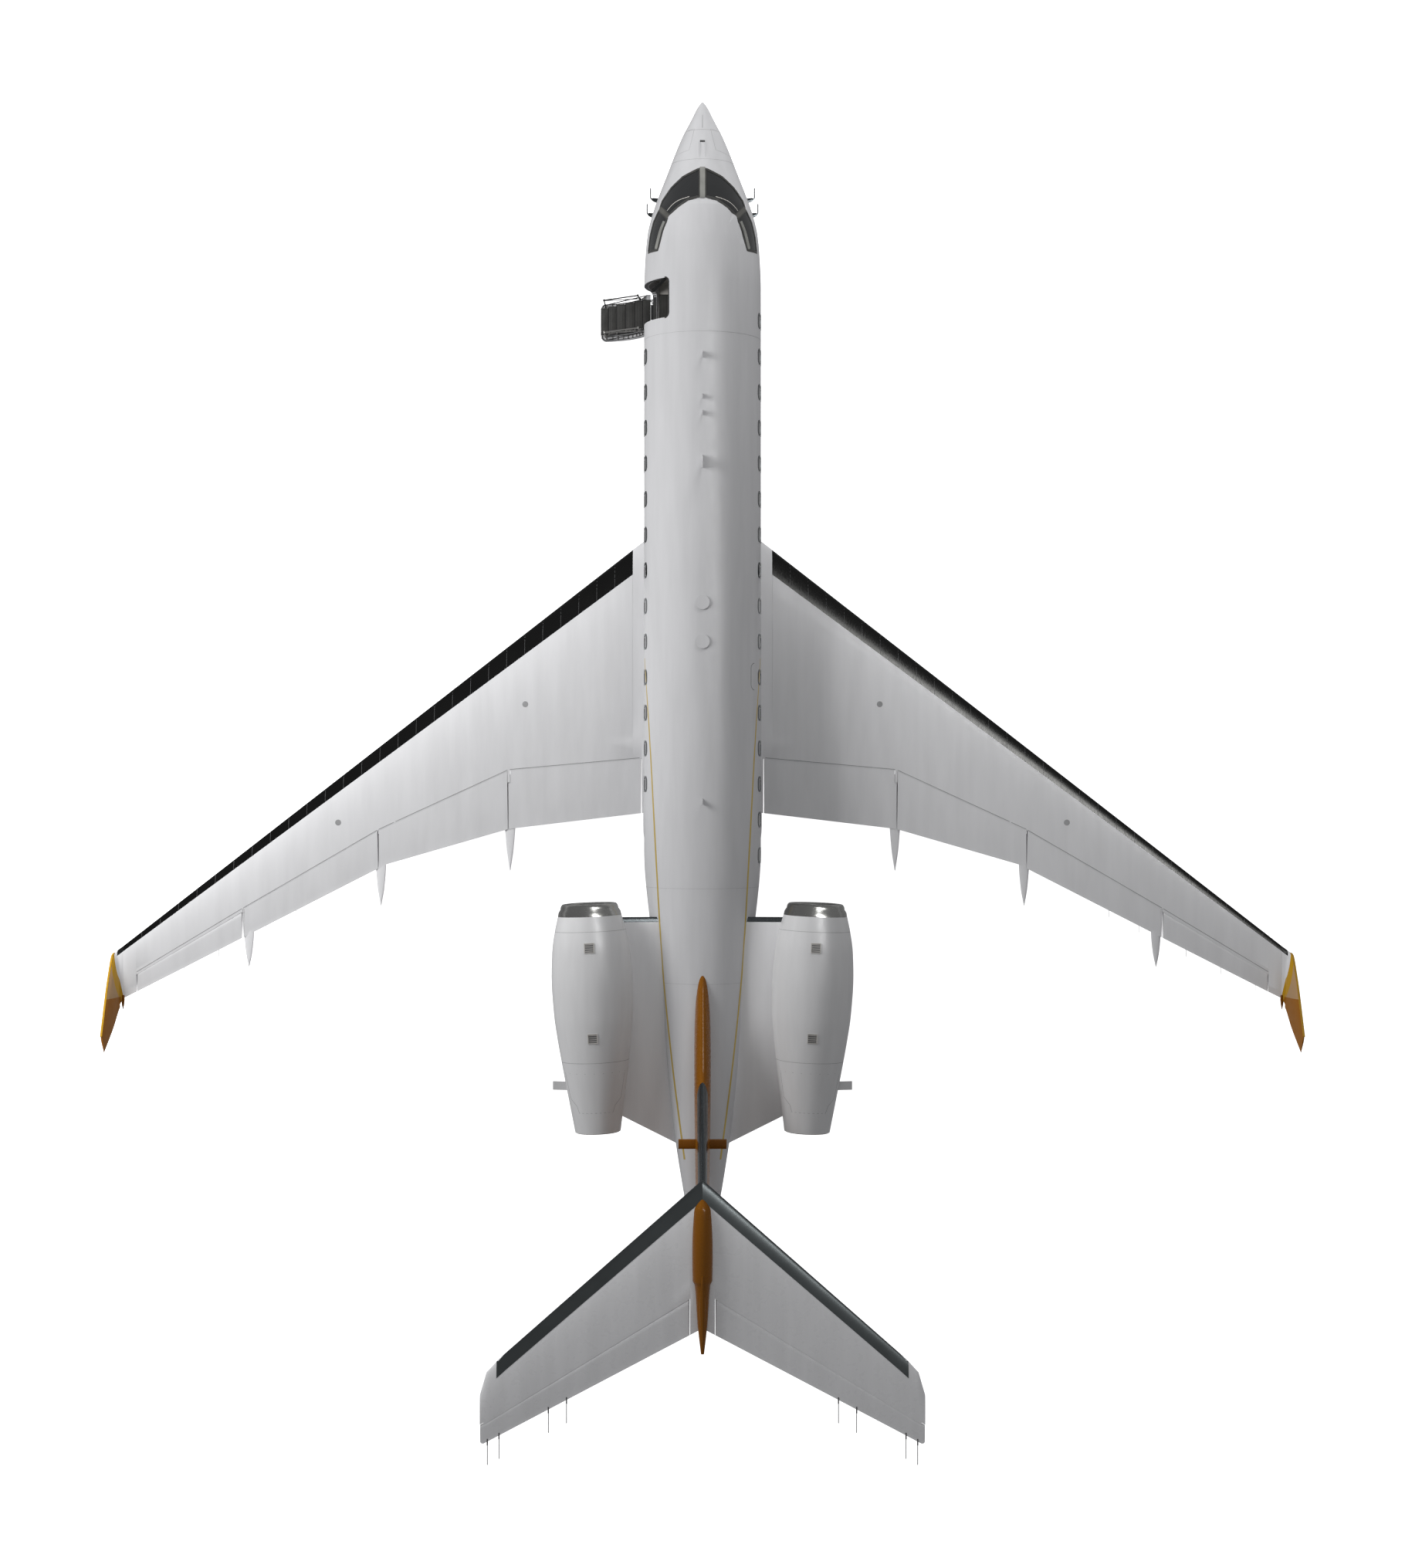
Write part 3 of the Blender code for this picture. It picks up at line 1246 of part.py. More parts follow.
def make_airstair():
    gap_angle = math.degrees(DOOR_GAP / HULL_RADIUS)
    inner = HULL_RADIUS - WALL
    door = hull_patch(
        "airstair_door", DOOR_AFT + DOOR_GAP, DOOR_FORWARD - DOOR_GAP,
        DOOR_LOW_ANGLE + gap_angle, DOOR_HIGH_ANGLE - gap_angle, DOOR_CORNER,
        inner, HULL_RADIUS, SIDES["left"], material=white_paint(),
    )
    door.data.transform(stair_turn())
    rise = (STEP_HIGHEST - STEP_LOWEST) / (len(STEP_EDGES) - 2)
    outline = []
    for k, (outer_x, inner_x) in enumerate(zip(STEP_EDGES, STEP_EDGES[1:])):
        height = STEP_LOWEST + rise * k
        outline += [(outer_x, height), (inner_x, height)]
    arc = door_arc(inner * math.cos(math.radians(STAIR_FACET / 2)) - TOUCH, -22.0, 53.0, 14)
    outline += [point for point in arc if point[1] < STEP_HIGHEST - 0.02]
    steps = prism("airstair_steps", outline, STEP_AFT, STEP_FORWARD, "Y", dark_trim())
    for y, inside in ((DOOR_AFT + 0.075, STEP_AFT + 0.05), (DOOR_FORWARD - 0.075, STEP_FORWARD - 0.05)):
        route = [(-2.36, inside, 0.36), (-2.36, y, 0.36)]
        route += [(-2.37, y, 1.12), (-1.54, y, 1.70), (-1.50, y, 1.26)]
        route += [(-1.50, inside, 1.26)]
        join(steps, tube(f"rail_{y:.2f}", route, RAIL_RADIUS))
    for middle, way in zip(STAIR_ARMS, (1, -1)):
        edges = (middle - STAIR_ARM_WIDTH / 2, middle + STAIR_ARM_WIDTH / 2)
        arm = prism(f"stair_arm_{middle}", STAIR_ARM, edges[0], edges[1], "Y")
        arm.data.transform(stair_turn())
        join(door, arm)
        face = middle + way * STAIR_ARM_WIDTH / 2
        pin_end = face + way * STAIR_PIN_LENGTH
        hinge_x, hinge_z = STAIR_HINGE.x, STAIR_HINGE.z
        join(door, rod(
            f"stair_pin_{middle}", (hinge_x, face - way * 0.01, hinge_z),
            (hinge_x, pin_end, hinge_z), STAIR_PIN_RADIUS, 10,
        ))
    for piece in (door, steps):
        put_origin(piece, STAIR_HINGE)


def main():
    clear_scene()
    make_fuselage()
    make_interior()
    make_belly_fairing()
    make_wings()
    make_tail()
    make_engines()
    make_nose_gear()
    make_main_gear()
    make_airstair()


main()
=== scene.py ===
"""A business jet parked with its airstair open: the finish of every surface, and the camera."""
import functools
import json
import math

import bmesh
import bpy
from mathutils import Matrix, Vector


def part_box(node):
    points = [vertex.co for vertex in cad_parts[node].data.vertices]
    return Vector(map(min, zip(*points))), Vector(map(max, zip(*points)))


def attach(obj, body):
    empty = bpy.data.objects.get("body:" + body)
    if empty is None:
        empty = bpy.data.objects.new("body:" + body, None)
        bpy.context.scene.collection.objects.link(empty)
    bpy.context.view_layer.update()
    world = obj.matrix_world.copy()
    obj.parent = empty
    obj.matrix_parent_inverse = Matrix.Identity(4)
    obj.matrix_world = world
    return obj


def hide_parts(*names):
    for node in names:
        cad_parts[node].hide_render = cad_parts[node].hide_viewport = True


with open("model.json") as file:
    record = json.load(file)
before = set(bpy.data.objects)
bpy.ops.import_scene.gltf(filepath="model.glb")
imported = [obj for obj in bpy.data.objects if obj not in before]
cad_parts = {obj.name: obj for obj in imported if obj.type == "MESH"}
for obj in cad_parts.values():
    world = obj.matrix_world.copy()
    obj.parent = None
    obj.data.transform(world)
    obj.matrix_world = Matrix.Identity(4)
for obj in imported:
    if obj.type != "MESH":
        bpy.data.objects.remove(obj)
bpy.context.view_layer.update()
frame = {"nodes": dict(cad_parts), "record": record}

SIDES = {"left": -1, "right": 1}

# Camera: straight above, with the photograph's perspective.
CAMERA_SPOT = (0.0, -0.99, 60.0)
LENS = 56.2
IMAGE_MIDDLE = (910.0, 1015.5)
IMAGE_FOCAL = 3172.0
FLOOR_HALF = 160.0

# Lights: place, aim, way of the long side, length, width, power, and what takes the light.
WORLD_STRENGTH = 0.28
LIGHTS = {
    "key": ((-20.0, 8.0, 14.0), (0.0, 0.0, 2.0), (0.0, 1.0, 0.0), 12.0, 9.0, 4800.0, "matt"),
    "front": ((8.0, 33.0, 13.0), (0.0, 10.0, 2.0), (1.0, 0.0, 0.0), 10.0, 8.0, 4700.0, "matt"),
    "gloss": ((13.9, 9.3, 34.0), (7.0, 0.0, 2.0), (0.79, -0.62, 0.0), 20.0, 8.0, 6000.0, "gloss"),
}

# Fuselage: station, half width, top, bottom and the height of the widest point.
HULL = [
    (-11.90, 0.15, 3.52, 3.12, 3.33), (-10.40, 0.45, 3.66, 2.66, 3.18),
    (-8.12, 0.80, 3.72, 1.98, 2.93), (-6.88, 0.96, 3.725, 1.65, 2.78),
    (-4.42, 1.215, 3.725, 1.15, 2.50), (-2.60, 1.375, 3.725, 0.975, 2.35),
    (10.64, 1.375, 3.725, 0.975, 2.35), (11.52, 1.338, 3.68, 0.99, 2.33),
    (11.96, 1.292, 3.62, 1.01, 2.31), (12.41, 1.184, 3.52, 1.05, 2.27),
    (12.84, 1.04, 3.30, 1.11, 2.22), (13.43, 0.82, 2.91, 1.24, 2.15),
    (13.87, 0.656, 2.68, 1.38, 2.11), (14.31, 0.474, 2.49, 1.55, 2.08),
    (14.74, 0.255, 2.27, 1.78, 2.05), (15.03, 0.11, 2.14, 1.94, 2.04),
    (15.15, 0.02, 2.06, 2.02, 2.04),
]
HULL_CENTRE_Z = 2.35
HULL_RADIUS = 1.375
HULL_SIDES = 32
# Belly fairing: station, half width, top and bottom.
FAIRING = [
    (-4.30, 0.70, 1.42, 1.10), (-3.30, 1.16, 1.72, 0.90), (-2.00, 1.42, 1.88, 0.78),
    (4.60, 1.42, 1.88, 0.76), (5.70, 1.22, 1.75, 0.86), (6.60, 0.80, 1.35, 0.94),
]
FAIRING_SQUARENESS = 3.2
FLOOR_TOP = 1.6402

WINDOW_FIRST_Y = 9.85
WINDOW_PITCH = 0.834
WINDOW_SIZE = (0.34, 0.44)
WINDOW_MIDDLE_Z = 2.58
WINDOW_CORNER = 0.11
WINDOWS = {"left": range(1, 14), "right": range(0, 16)}
EXIT_WINDOW = 10

# Wing: leading edge, trailing edge and flap hinge line as (X, Y) points.
WING_LE = [(1.40, 4.81), (13.78, -4.93)]
WING_TE = [(1.40, -1.68), (4.60, -2.06), (7.50, -2.90), (13.13, -5.79), (13.60, -6.02)]
HINGE_LINE = [(1.38, -0.37), (4.60, -0.66), (7.65, -2.07), (10.86, -3.945), (13.30, -5.42)]
SLAT_DEPTH = [(1.66, 0.62), (13.60, 0.13)]
WING_PLANE = [(1.40, 1.50), (13.78, 2.50)]
WING_THICKNESS = [(1.40, 0.125), (13.78, 0.105)]
WING_ROOT_X = 1.05
FLAP_START_X = 1.45
SLAT_START_X = 1.66
AILERON_END_X = 13.30
WING_TIP_X = 13.60
STEP_WIDTH = 0.002
# Flaps: inner and outer end, then the track fairing's middle, half width and aft end.
FLAPS = {
    "inboard": (1.47, 4.56, 4.58, 0.145, -3.05),
    "middle": (4.635, 7.66, 7.62, 0.13, -3.87),
    "outboard": (7.69, 10.80, 10.70, 0.12, -5.30),
}
# Where two flaps' outer ends are carried on to, and how far forward there.
FLAP_ENDS = {"inboard": (4.61, -0.97), "outboard": (10.822, 0.0)}
FLAP_BEND = 7.5
FLAP_GAP = 0.012
AILERON_X = (10.86, 13.27)
TRACK_DEPTH = 0.15
# Track fairing: share of its length, of its width and of its depth.
TRACK_SHAPE = [(0.0, 1.0, 1.0), (0.45, 0.92, 0.85), (0.75, 0.62, 0.50), (1.0, 0.06, 0.06)]
RIB_PLATE_X = (10.829, 10.844)
RIB_PATCH_X = (4.567, 4.628)
RIB_PATCH_Y = (-0.62, -0.79, -0.955)

# Winglet rings: leading edge X, Y, Z, chord, how far the trailing edge lies inboard, lean.
WINGLET_RINGS = [
    (13.6003, -4.79, 2.486, 1.225, 0.00, 0.0),
    (13.74, -4.90, 2.53, 1.27, 0.06, 35.0),
    (13.825, -5.00, 2.66, 1.24, 0.17, 70.0),
    (13.84, -5.60, 3.05, 0.98, 0.16, 78.0),
    (13.80, -6.78, 3.85, 0.37, 0.07, 78.0),
]
WINGLET_THICKNESS = 0.10
# Winglet's paint: the line where its painted light meets its painted shade, its slanted root line, gold strip
# and slat end.
WINGLET_SHADE_LINE_Y = -5.98
WINGLET_ROOT = ((13.595, -6.02), (13.80, -4.93))
WINGLET_STRIP = 0.062
WINGLET_SLAT = (13.735, 0.13)
WING_SWEEP = -0.79

STAB_Z = 7.45
STAB_LE = [(0.0, -9.49), (4.38, -13.34), (4.64, -13.62), (4.78, -14.10)]
STAB_TE = [(0.0, -12.68), (4.70, -15.15)]
STAB_HINGE = [(0.0, -11.79), (4.70, -14.69)]
STAB_THICKNESS = 0.09
STAB_TIP = 4.78
STAB_STUB_X = 0.266
ELEVATOR_X = (0.30, 4.70)
ELEVATOR_TIP = [(4.74, 0.02), (4.775, 0.07)]
WICK_X = (4.62, 4.37, 3.31, 2.92)
FIN_LE = [(3.45, -4.95), (3.75, -5.44), (4.60, -7.75), (7.30, -9.75)]
FIN_TE = [(3.45, -10.80), (3.75, -10.95), (7.30, -12.77)]
FIN_THICKNESS = [(3.45, 0.062), (3.75, 0.068), (4.60, 0.095), (7.30, 0.09)]
FIN_HINGE = [(3.75, -9.80), (7.30, -11.87)]
RUDDER_Z = (3.86, 7.08)
# Bullet fairing: station, half width, half height about its axis.
BULLET = [
    (-13.22, 0.035, 0.04), (-12.60, 0.105, 0.15), (-11.74, 0.168, 0.25), (-11.63, 0.215, 0.285),
    (-10.90, 0.228, 0.31), (-10.13, 0.19, 0.24), (-9.86, 0.04, 0.06),
]
BULLET_Z = 7.49
HINGE_GAP = 0.014
# The blade across the fin.
FIN_BLADE = {"y": -9.05, "z": 5.2, "chord": 0.22}
FIN_BLADE_X = (0.0, 0.2, 0.45, 0.54)

# Engines: profiles are (distance aft of the inlet, radius).
INLET_CENTRE = (2.62, -3.75, 3.40)
EXIT_X = 2.415
NACELLE_LENGTH = 5.27
LIP_OUTER = [(0.0, 0.60), (0.03, 0.645), (0.10, 0.69), (0.28, 0.735)]
LIP_INNER = [(0.28, 0.54), (0.12, 0.54), (0.03, 0.565)]
NACELLE_OUTER = [
    (0.28, 0.735), (0.60, 0.815), (1.10, 0.90), (1.83, 0.938), (2.57, 0.91),
    (3.07, 0.857), (3.73, 0.765), (4.53, 0.642), (5.27, 0.526),
]
NACELLE_INNER = [(5.27, 0.49), (4.20, 0.56), (2.30, 0.63), (0.95, 0.63), (0.28, 0.54)]
NOZZLE_EDGE = [(5.20, 0.502), (5.285, 0.499), (5.285, 0.480), (5.20, 0.474)]
NACELLE_SEAMS = (0.62, 3.62)
NACELLE_VENTS = (0.98, 3.05)
VENT_HALF = 0.095
# The reverser's door: distance aft and angle to each side of its middle.
REVERSER = [
    (3.86, -66), (3.86, 66), (4.45, 62), (4.62, 44),
    (4.78, 40), (4.78, -40), (4.62, -44), (4.45, -62),
]
FAN_AT = 1.12
FAN_DEPTH = 0.16
FAN_RADIUS = 0.615
FAN_BLADES = 24
SPINNER_LENGTH = 0.30
SPINNER_RADIUS = 0.20
STATOR_VANES = 40
ENGINE_PROFILE = [
    (1.30, 0.09), (1.46, 0.10), (1.50, 0.6295), (2.25, 0.6295), (3.30, 0.42), (4.30, 0.30), (5.05, 0.03),
]
PYLON_LE_Y = -4.08
PYLON_TE = [(0.645, -9.32), (1.85, -8.70)]
PYLON_Z = [(0.6, 3.08), (2.3, 3.24)]
PYLON_THICKNESS = 0.24

# Fine parts on the fuselage. The stripe's route is read from the photograph, in its pixels.
STRIPE_PIXELS = [(835, 853), (842, 965), (849, 1097), (858, 1249), (870, 1371), (886.6, 1502)]
STRIPE_WIDTH = 0.055
STRIPE_STEPS = 90
BLADE_ANTENNAS = [(8.89, 0.16), (7.93, 0.12), (7.55, 0.12), (6.43, 0.30), (-1.39, 0.14)]
BELLY_ANTENNAS = [(4.2, 0.30), (7.1, 0.22), (8.6, 0.18)]
DOMES = (3.19, 2.29)
DOME_RADIUS = 0.165
NOSE_SEAMS = (14.40, 13.62)
HULL_SEAMS = (9.43, -3.40, -5.6, -9.30, -10.40)
HATCH = [(-0.19, 14.43), (-0.48, 14.38), (-0.665, 13.79), (-0.31, 13.88)]
# Probes: station, height, reach out and length ahead.
PROBES = [(12.78, 2.20, 0.17, 0.26), (12.42, 2.26, 0.13, 0.24)]
STATIC_PORTS = [(12.1, 1.95), (11.5, 1.60)]

# Windshield outlines in plan, for the port side.
POST_HALF = 0.06
PANES = {
    "windshield": [
        (-POST_HALF, 13.36), (-0.46, 13.15), (-0.73, 12.90), (-0.94, 12.61), (-0.985, 12.46),
        (-0.775, 12.20), (-0.58, 12.36), (-0.335, 12.53), (-POST_HALF, 12.60),
    ],
    "side_window": [
        (-1.02, 12.38), (-1.15, 12.12), (-1.23, 11.79), (-1.27, 11.43), (-1.04, 11.40),
        (-0.93, 11.83), (-0.82, 12.11),
    ],
}
# A pane's rings, as (depth, scale) pairs.
CABIN_PANE = ((0.030, 1.0), (0.012, 1.0), (0.009, 0.96), (0.008, 0.6), (0.008, 0.25))
FRONT_PANE = ((0.036, 1.0), (0.012, 1.0), (0.010, 0.97), (0.010, 0.75), (0.010, 0.5), (0.010, 0.25))

# Doorway and airstair.
DOOR_AFT = 9.80
DOOR_FORWARD = 10.72
DOOR_MIDDLE = (DOOR_AFT + DOOR_FORWARD) / 2
DOOR_LOW_ANGLE = -31.1
DOOR_HIGH_ANGLE = 55.0
DOOR_MIDDLE_ANGLE = (DOOR_LOW_ANGLE + DOOR_HIGH_ANGLE) / 2
DOOR_HEIGHT = math.radians(DOOR_HIGH_ANGLE - DOOR_LOW_ANGLE) * HULL_RADIUS
DOOR_CORNER = 0.12
STAIR_HINGE = Vector((-1.20, 0.0, 1.60))
STAIR_OPEN_ANGLE = 150.6
STEP_EDGES = (-2.46, -2.27, -2.07, -1.84, -1.62, -1.43, -1.347)
STEP_HEIGHTS = (0.42, 0.65, 0.88, 1.11, 1.34, 1.50)
STEP_AFT = 9.93
STEP_FORWARD = 10.59
TREAD_THICKNESS = 0.014
STAIR_FACET = 6.4
DOOR_SEAT = 1.275 * math.cos(math.radians(STAIR_FACET / 2))
RAIL_RADIUS = 0.016
RAIL_BASE = (-2.36, 0.36)
RAIL_APEX = (-2.37, 1.12)
RAIL_HEAD = (-1.54, 1.70)
RAIL_FOOT = (-1.50, 1.26)

NOSE_GEAR_Y = 12.20
NOSE_TYRE = {"radius": 0.265, "width": 0.17, "offset": 0.165, "rim": 0.14}
MAIN_GEAR = (2.03, -0.25)
MAIN_TYRE = {"radius": 0.4825, "width": 0.30, "offset": 0.23, "rim": 0.25}
# A tyre's side wall and a wheel, in shares of half the width and of the height over the rim.
TYRE_WALL = [
    (0.70, 0.0), (0.80, 0.05), (0.93, 0.20), (0.99, 0.38), (1.0, 0.50), (0.98, 0.64),
    (0.92, 0.77), (0.84, 0.87), (0.74, 0.935),
]
TYRE_GROOVE = ((0.07, 0), (0.045, 0), (0.03, 1), (-0.03, 1), (-0.045, 0), (-0.07, 0))
RIM_SHAPE = [
    (-0.50, 0.20), (-0.50, 0.42), (-0.28, 0.58), (-0.44, 0.86), (-0.72, 0.95), (-0.75, 1.045),
    (-0.70, 1.04), (-0.66, 0.996), (0.66, 0.996), (0.70, 1.04), (0.75, 1.045), (0.72, 0.95),
    (0.46, 0.84), (0.26, 0.60), (0.34, 0.42), (0.52, 0.37), (0.56, 0.30), (0.58, 0.14),
]
# Sections of small forms, and where fine parts sit.
FAN_SECTION = ((-0.5, 0.0), (-0.2, 0.05), (0.2, 0.05), (0.5, 0.0), (0.2, -0.02), (-0.2, -0.02))
TAB_SECTION = ((0.10, -0.012), (0.10, 0.012), (-0.10, 0.008), (-0.10, -0.008))
VANE_SECTION = ((1.34, 0.0), (1.36, 0.012), (1.46, 0.112), (1.47, 0.10))
RIDGE_SECTION = ((-1, -0.05), (-0.7, 0.010), (0, 0.028), (0.7, 0.010), (1, -0.05), (0, -0.08))
WINGLET_TAIL = ((0.10, 0.030, 0.020), (0.0, 0.042, 0.016), (-0.12, 0.030, 0.010), (-0.24, 0.004, 0.003))
FUEL_CAPS = ((4.2, 0.9), (8.6, -1.9))
# Spans of the grey lines along the hinge gaps: painted shade of the gaps that the lips cover.
HINGE_SHADE_LINES = ((1.50, 4.57), (4.63, 7.66), (7.69, 10.82), (10.85, 13.29))
WING_WICKS = (("flap", "flap_outboard", (9.6, 10.3)), ("aileron", "aileron", (11.4, 12.2, 13.0)))
DOWN = (0, 0, -1)
AHEAD = (0, 1, 0)


def smooth(points, at):
    """The height at a place on the smooth curve through points, which rise in their first value."""
    places, heights = zip(*(point[:2] for point in points))
    if at <= places[0]:
        return heights[0]
    if at >= places[-1]:
        return heights[-1]
    slopes = [(h1 - h0) / (p1 - p0) for p0, p1, h0, h1 in zip(places, places[1:], heights, heights[1:])]
    tangents = [slopes[0]]
    for before, after in zip(slopes, slopes[1:]):
        tangents.append(0.0 if before * after <= 0 else 2 * before * after / (before + after))
    tangents.append(slopes[-1])
    i = max(k for k in range(len(places) - 1) if places[k] <= at)
    span = places[i + 1] - places[i]
    t = (at - places[i]) / span
    return (
        heights[i] * (2 * t**3 - 3 * t**2 + 1)
        + tangents[i] * span * (t**3 - 2 * t**2 + t)
        + heights[i + 1] * (3 * t**2 - 2 * t**3)
        + tangents[i + 1] * span * (t**3 - t**2)
    )


def straight(points, at):
    """The height at a place on straight lines through points, carried on past both ends."""
    i = 0
    while i < len(points) - 2 and at > points[i + 1][0]:
        i += 1
    (x0, y0), (x1, y1) = points[i], points[i + 1]
    return y0 + (y1 - y0) * (at - x0) / (x1 - x0)


def column(table, index):
    return [(row[0], row[index]) for row in table]


def spread(points, steps):
    """Values evenly spread between each pair of neighbours, the given ones included."""
    out = []
    for a, b in zip(points, points[1:]):
        out += [a + (b - a) * k / steps for k in range(steps)]
    return out + [points[-1]]


def turns(count, shift=0.0):
    """Angles evenly spread round a whole turn."""
    return [2 * math.pi * (k + shift) / count for k in range(count)]


def outward(angle):
    """The way out from a Y axis at an angle from its top."""
    return Vector((math.sin(angle), 0, math.cos(angle)))


# Materials.


def shader(name, colour, roughness, metallic=0.0, **sockets):
    """A new material with its Principled shader's plain values set."""
    material = bpy.data.materials.new(name)
    material.use_nodes = True
    inputs = material.node_tree.nodes["Principled BSDF"].inputs
    values = {"Base Color": (*colour, 1.0), "Roughness": roughness, "Metallic": metallic}
    for socket, value in {**values, **sockets}.items():
        inputs[socket.replace("_", " ")].default_value = value
    material.diffuse_color = (*colour, 1.0)
    return material


def add_node(material, kind, **values):
    node = material.node_tree.nodes.new(kind)
    for key, value in values.items():
        if key in node.inputs:
            node.inputs[key].default_value = value
        else:
            setattr(node, key, value)
    return node


def link(material, source, target):
    """Links an output to an input, or to the shader's socket of that name."""
    if isinstance(target, str):
        target = material.node_tree.nodes["Principled BSDF"].inputs[target]
    material.node_tree.links.new(source, target)


def noise(material, scale, detail=4.0, stretch=(1.0, 1.0, 1.0)):
    """A noise over the object's own space, stretched along its axes."""
    place = add_node(material, "ShaderNodeTexCoord")
    mapping = add_node(material, "ShaderNodeMapping", Scale=stretch)
    texture = add_node(material, "ShaderNodeTexNoise", Scale=scale, Detail=detail)
    link(material, place.outputs["Object"], mapping.inputs["Vector"])
    link(material, mapping.outputs["Vector"], texture.inputs["Vector"])
    return texture.outputs["Fac"]


def vary(material, socket, source, low, high):
    """Lets a 0 to 1 value move one of the shader's sockets between two values."""
    ends = {"From Min": 0.3, "From Max": 0.7, "To Min": low, "To Max": high}
    node = add_node(material, "ShaderNodeMapRange", **ends)
    link(material, source, node.inputs["Value"])
    link(material, node.outputs["Result"], socket)


def tint(material, source, colour, low, high):
    """Lets a 0 to 1 value darken and lighten the shader's colour."""
    node = add_node(material, "ShaderNodeValToRGB")
    for element, factor, place in zip(node.color_ramp.elements, (low, high), (0.3, 0.7)):
        element.color = (*(min(1.0, value * factor) for value in colour), 1.0)
        element.position = place
    link(material, source, node.inputs["Fac"])
    link(material, node.outputs["Color"], "Base Color")


def bump(material, source, depth, strength=1.0):
    node = add_node(material, "ShaderNodeBump", Strength=strength, Distance=depth)
    link(material, source, node.inputs["Height"])
    link(material, node.outputs["Normal"], "Normal")


def painted(name, colour, roughness, metallic=0.0, coat=0.4, wave=0.35, **sockets):
    """Gloss aircraft paint: faint streaks along the airflow, a little dust, fine unevenness."""
    material = shader(name, colour, roughness, metallic, Coat_Weight=coat, Coat_Roughness=0.06, **sockets)
    tint(material, noise(material, 1.3, 5.0, (3.0, 0.35, 3.0)), colour, 0.95, 1.02)
    vary(material, "Roughness", noise(material, 6.0), roughness * 0.85, roughness * 1.25)
    bump(material, noise(material, 2.2, 2.0), 0.0015, wave)
    return material


def metal(name, colour, roughness, streak=(2.0, 2.0, 2.0), spread_by=0.3):
    """Bare metal with polishing marks along one axis."""
    material = shader(name, colour, roughness, 1.0)
    marks = noise(material, 9.0, 6.0, streak)
    vary(material, "Roughness", marks, roughness * (1 - spread_by), roughness * (1 + spread_by))
    tint(material, noise(material, 1.1), colour, 0.88, 1.08)
    return material


def moulded(name, colour, roughness, grain=260.0, depth=0.0006):
    """Matt plastic, rubber or leather with a fine grain."""
    material = shader(name, colour, roughness)
    fine = noise(material, grain, 3.0)
    tint(material, noise(material, 3.0), colour, 0.82, 1.15)
    bump(material, fine, depth, 0.6)
    return material


def clear(name, colour, roughness, marks, **sockets):
    """Glass, with faint smears: marks are their scale, lowest and highest roughness."""
    material = shader(name, colour, roughness, Coat_Weight=1.0, **sockets)
    vary(material, "Roughness", noise(material, marks[0]), *marks[1:])
    return material


WHITE = painted("white_paint", (0.55, 0.55, 0.56), 0.38, 0.0, 0.03, Specular_IOR_Level=0.25)
WING_WHITE = painted("wing_paint", (0.72, 0.72, 0.73), 0.42, 0.0, 0.03, Specular_IOR_Level=0.3)
GREY_WHITE = painted("tail_paint", (0.80, 0.80, 0.81), 0.28, coat=0.3)
NACELLE_WHITE = painted("nacelle_paint", (0.62, 0.62, 0.625), 0.34, 0.0, 0.04, 0.08)
BRONZE = painted("orange_paint", (0.21, 0.074, 0.003), 0.26, 0.0, 0.06, 0.15, Specular_IOR_Level=0.16)
GOLD = painted("gold_line", (0.55, 0.40, 0.10), 0.34, 0.3, 0.3)
GOLD_EDGE = painted("gold_edge", (0.50, 0.27, 0.010), 0.40, 0.0, 0.05)
SLAT_METAL = metal("slat_metal", (0.035, 0.035, 0.034), 0.24, (6.0, 0.6, 6.0))
CHROME = metal("lip_metal", (0.36, 0.36, 0.345), 0.24, (1.0, 6.0, 1.0), 0.15)
EDGE_METAL = metal("edge_metal", (0.095, 0.105, 0.11), 0.22)
STAB_METAL = metal("stab_edge_metal", (0.10, 0.11, 0.112), 0.38, spread_by=0.06)
DARK_METAL = metal("gear_metal", (0.26, 0.27, 0.28), 0.38)
STEEL = metal("strut_steel", (0.72, 0.72, 0.72), 0.14)
BURNT_METAL = metal("exhaust_metal", (0.16, 0.135, 0.115), 0.36)
FAN_METAL = metal("fan_metal", (0.34, 0.34, 0.35), 0.26, (1.0, 1.0, 8.0))
RUBBER = moulded("tyre_rubber", (0.022, 0.022, 0.023), 0.78, 120.0, 0.0012)
SEAL = moulded("seal_rubber", (0.035, 0.035, 0.036), 0.66)
TREAD = moulded("tread_grip", (0.042, 0.042, 0.040), 0.70, 160.0, 0.002)
TRIM_LIGHT = moulded("light_trim", (0.50, 0.48, 0.45), 0.45)
TRIM_DARK = moulded("dark_trim", (0.055, 0.055, 0.056), 0.55)
LEATHER = moulded("seat_leather", (0.42, 0.36, 0.29), 0.48, 180.0, 0.0015)
CARPET = moulded("cabin_carpet", (0.30, 0.27, 0.23), 0.92, 420.0, 0.004)
STEP_BODY = moulded("step_body", (0.040, 0.040, 0.038), 0.60, 90.0, 0.001)
GRIP = moulded("tread_ribs", (0.085, 0.084, 0.080), 0.62, 200.0, 0.001)
GLARE = moulded("glareshield", (0.020, 0.020, 0.021), 0.80, 150.0, 0.001)
SATIN_TRIM = metal("satin_trim", (0.52, 0.51, 0.49), 0.34)
RAIL_DARK = moulded("dark_rail", (0.030, 0.030, 0.031), 0.32, 60.0, 0.0003)
WHEEL_METAL = metal("wheel_metal", (0.42, 0.43, 0.44), 0.32)
GEAR_PAINT = painted("gear_paint", (0.55, 0.56, 0.57), 0.30)
PANEL_LINE = moulded("panel_line", (0.11, 0.11, 0.112), 0.60)
SOFT_LINE = moulded("soft_line", (0.30, 0.30, 0.305), 0.60)
FRAME_DARK = moulded("window_frame", (0.050, 0.050, 0.047), 0.45, 120.0, 0.0004)
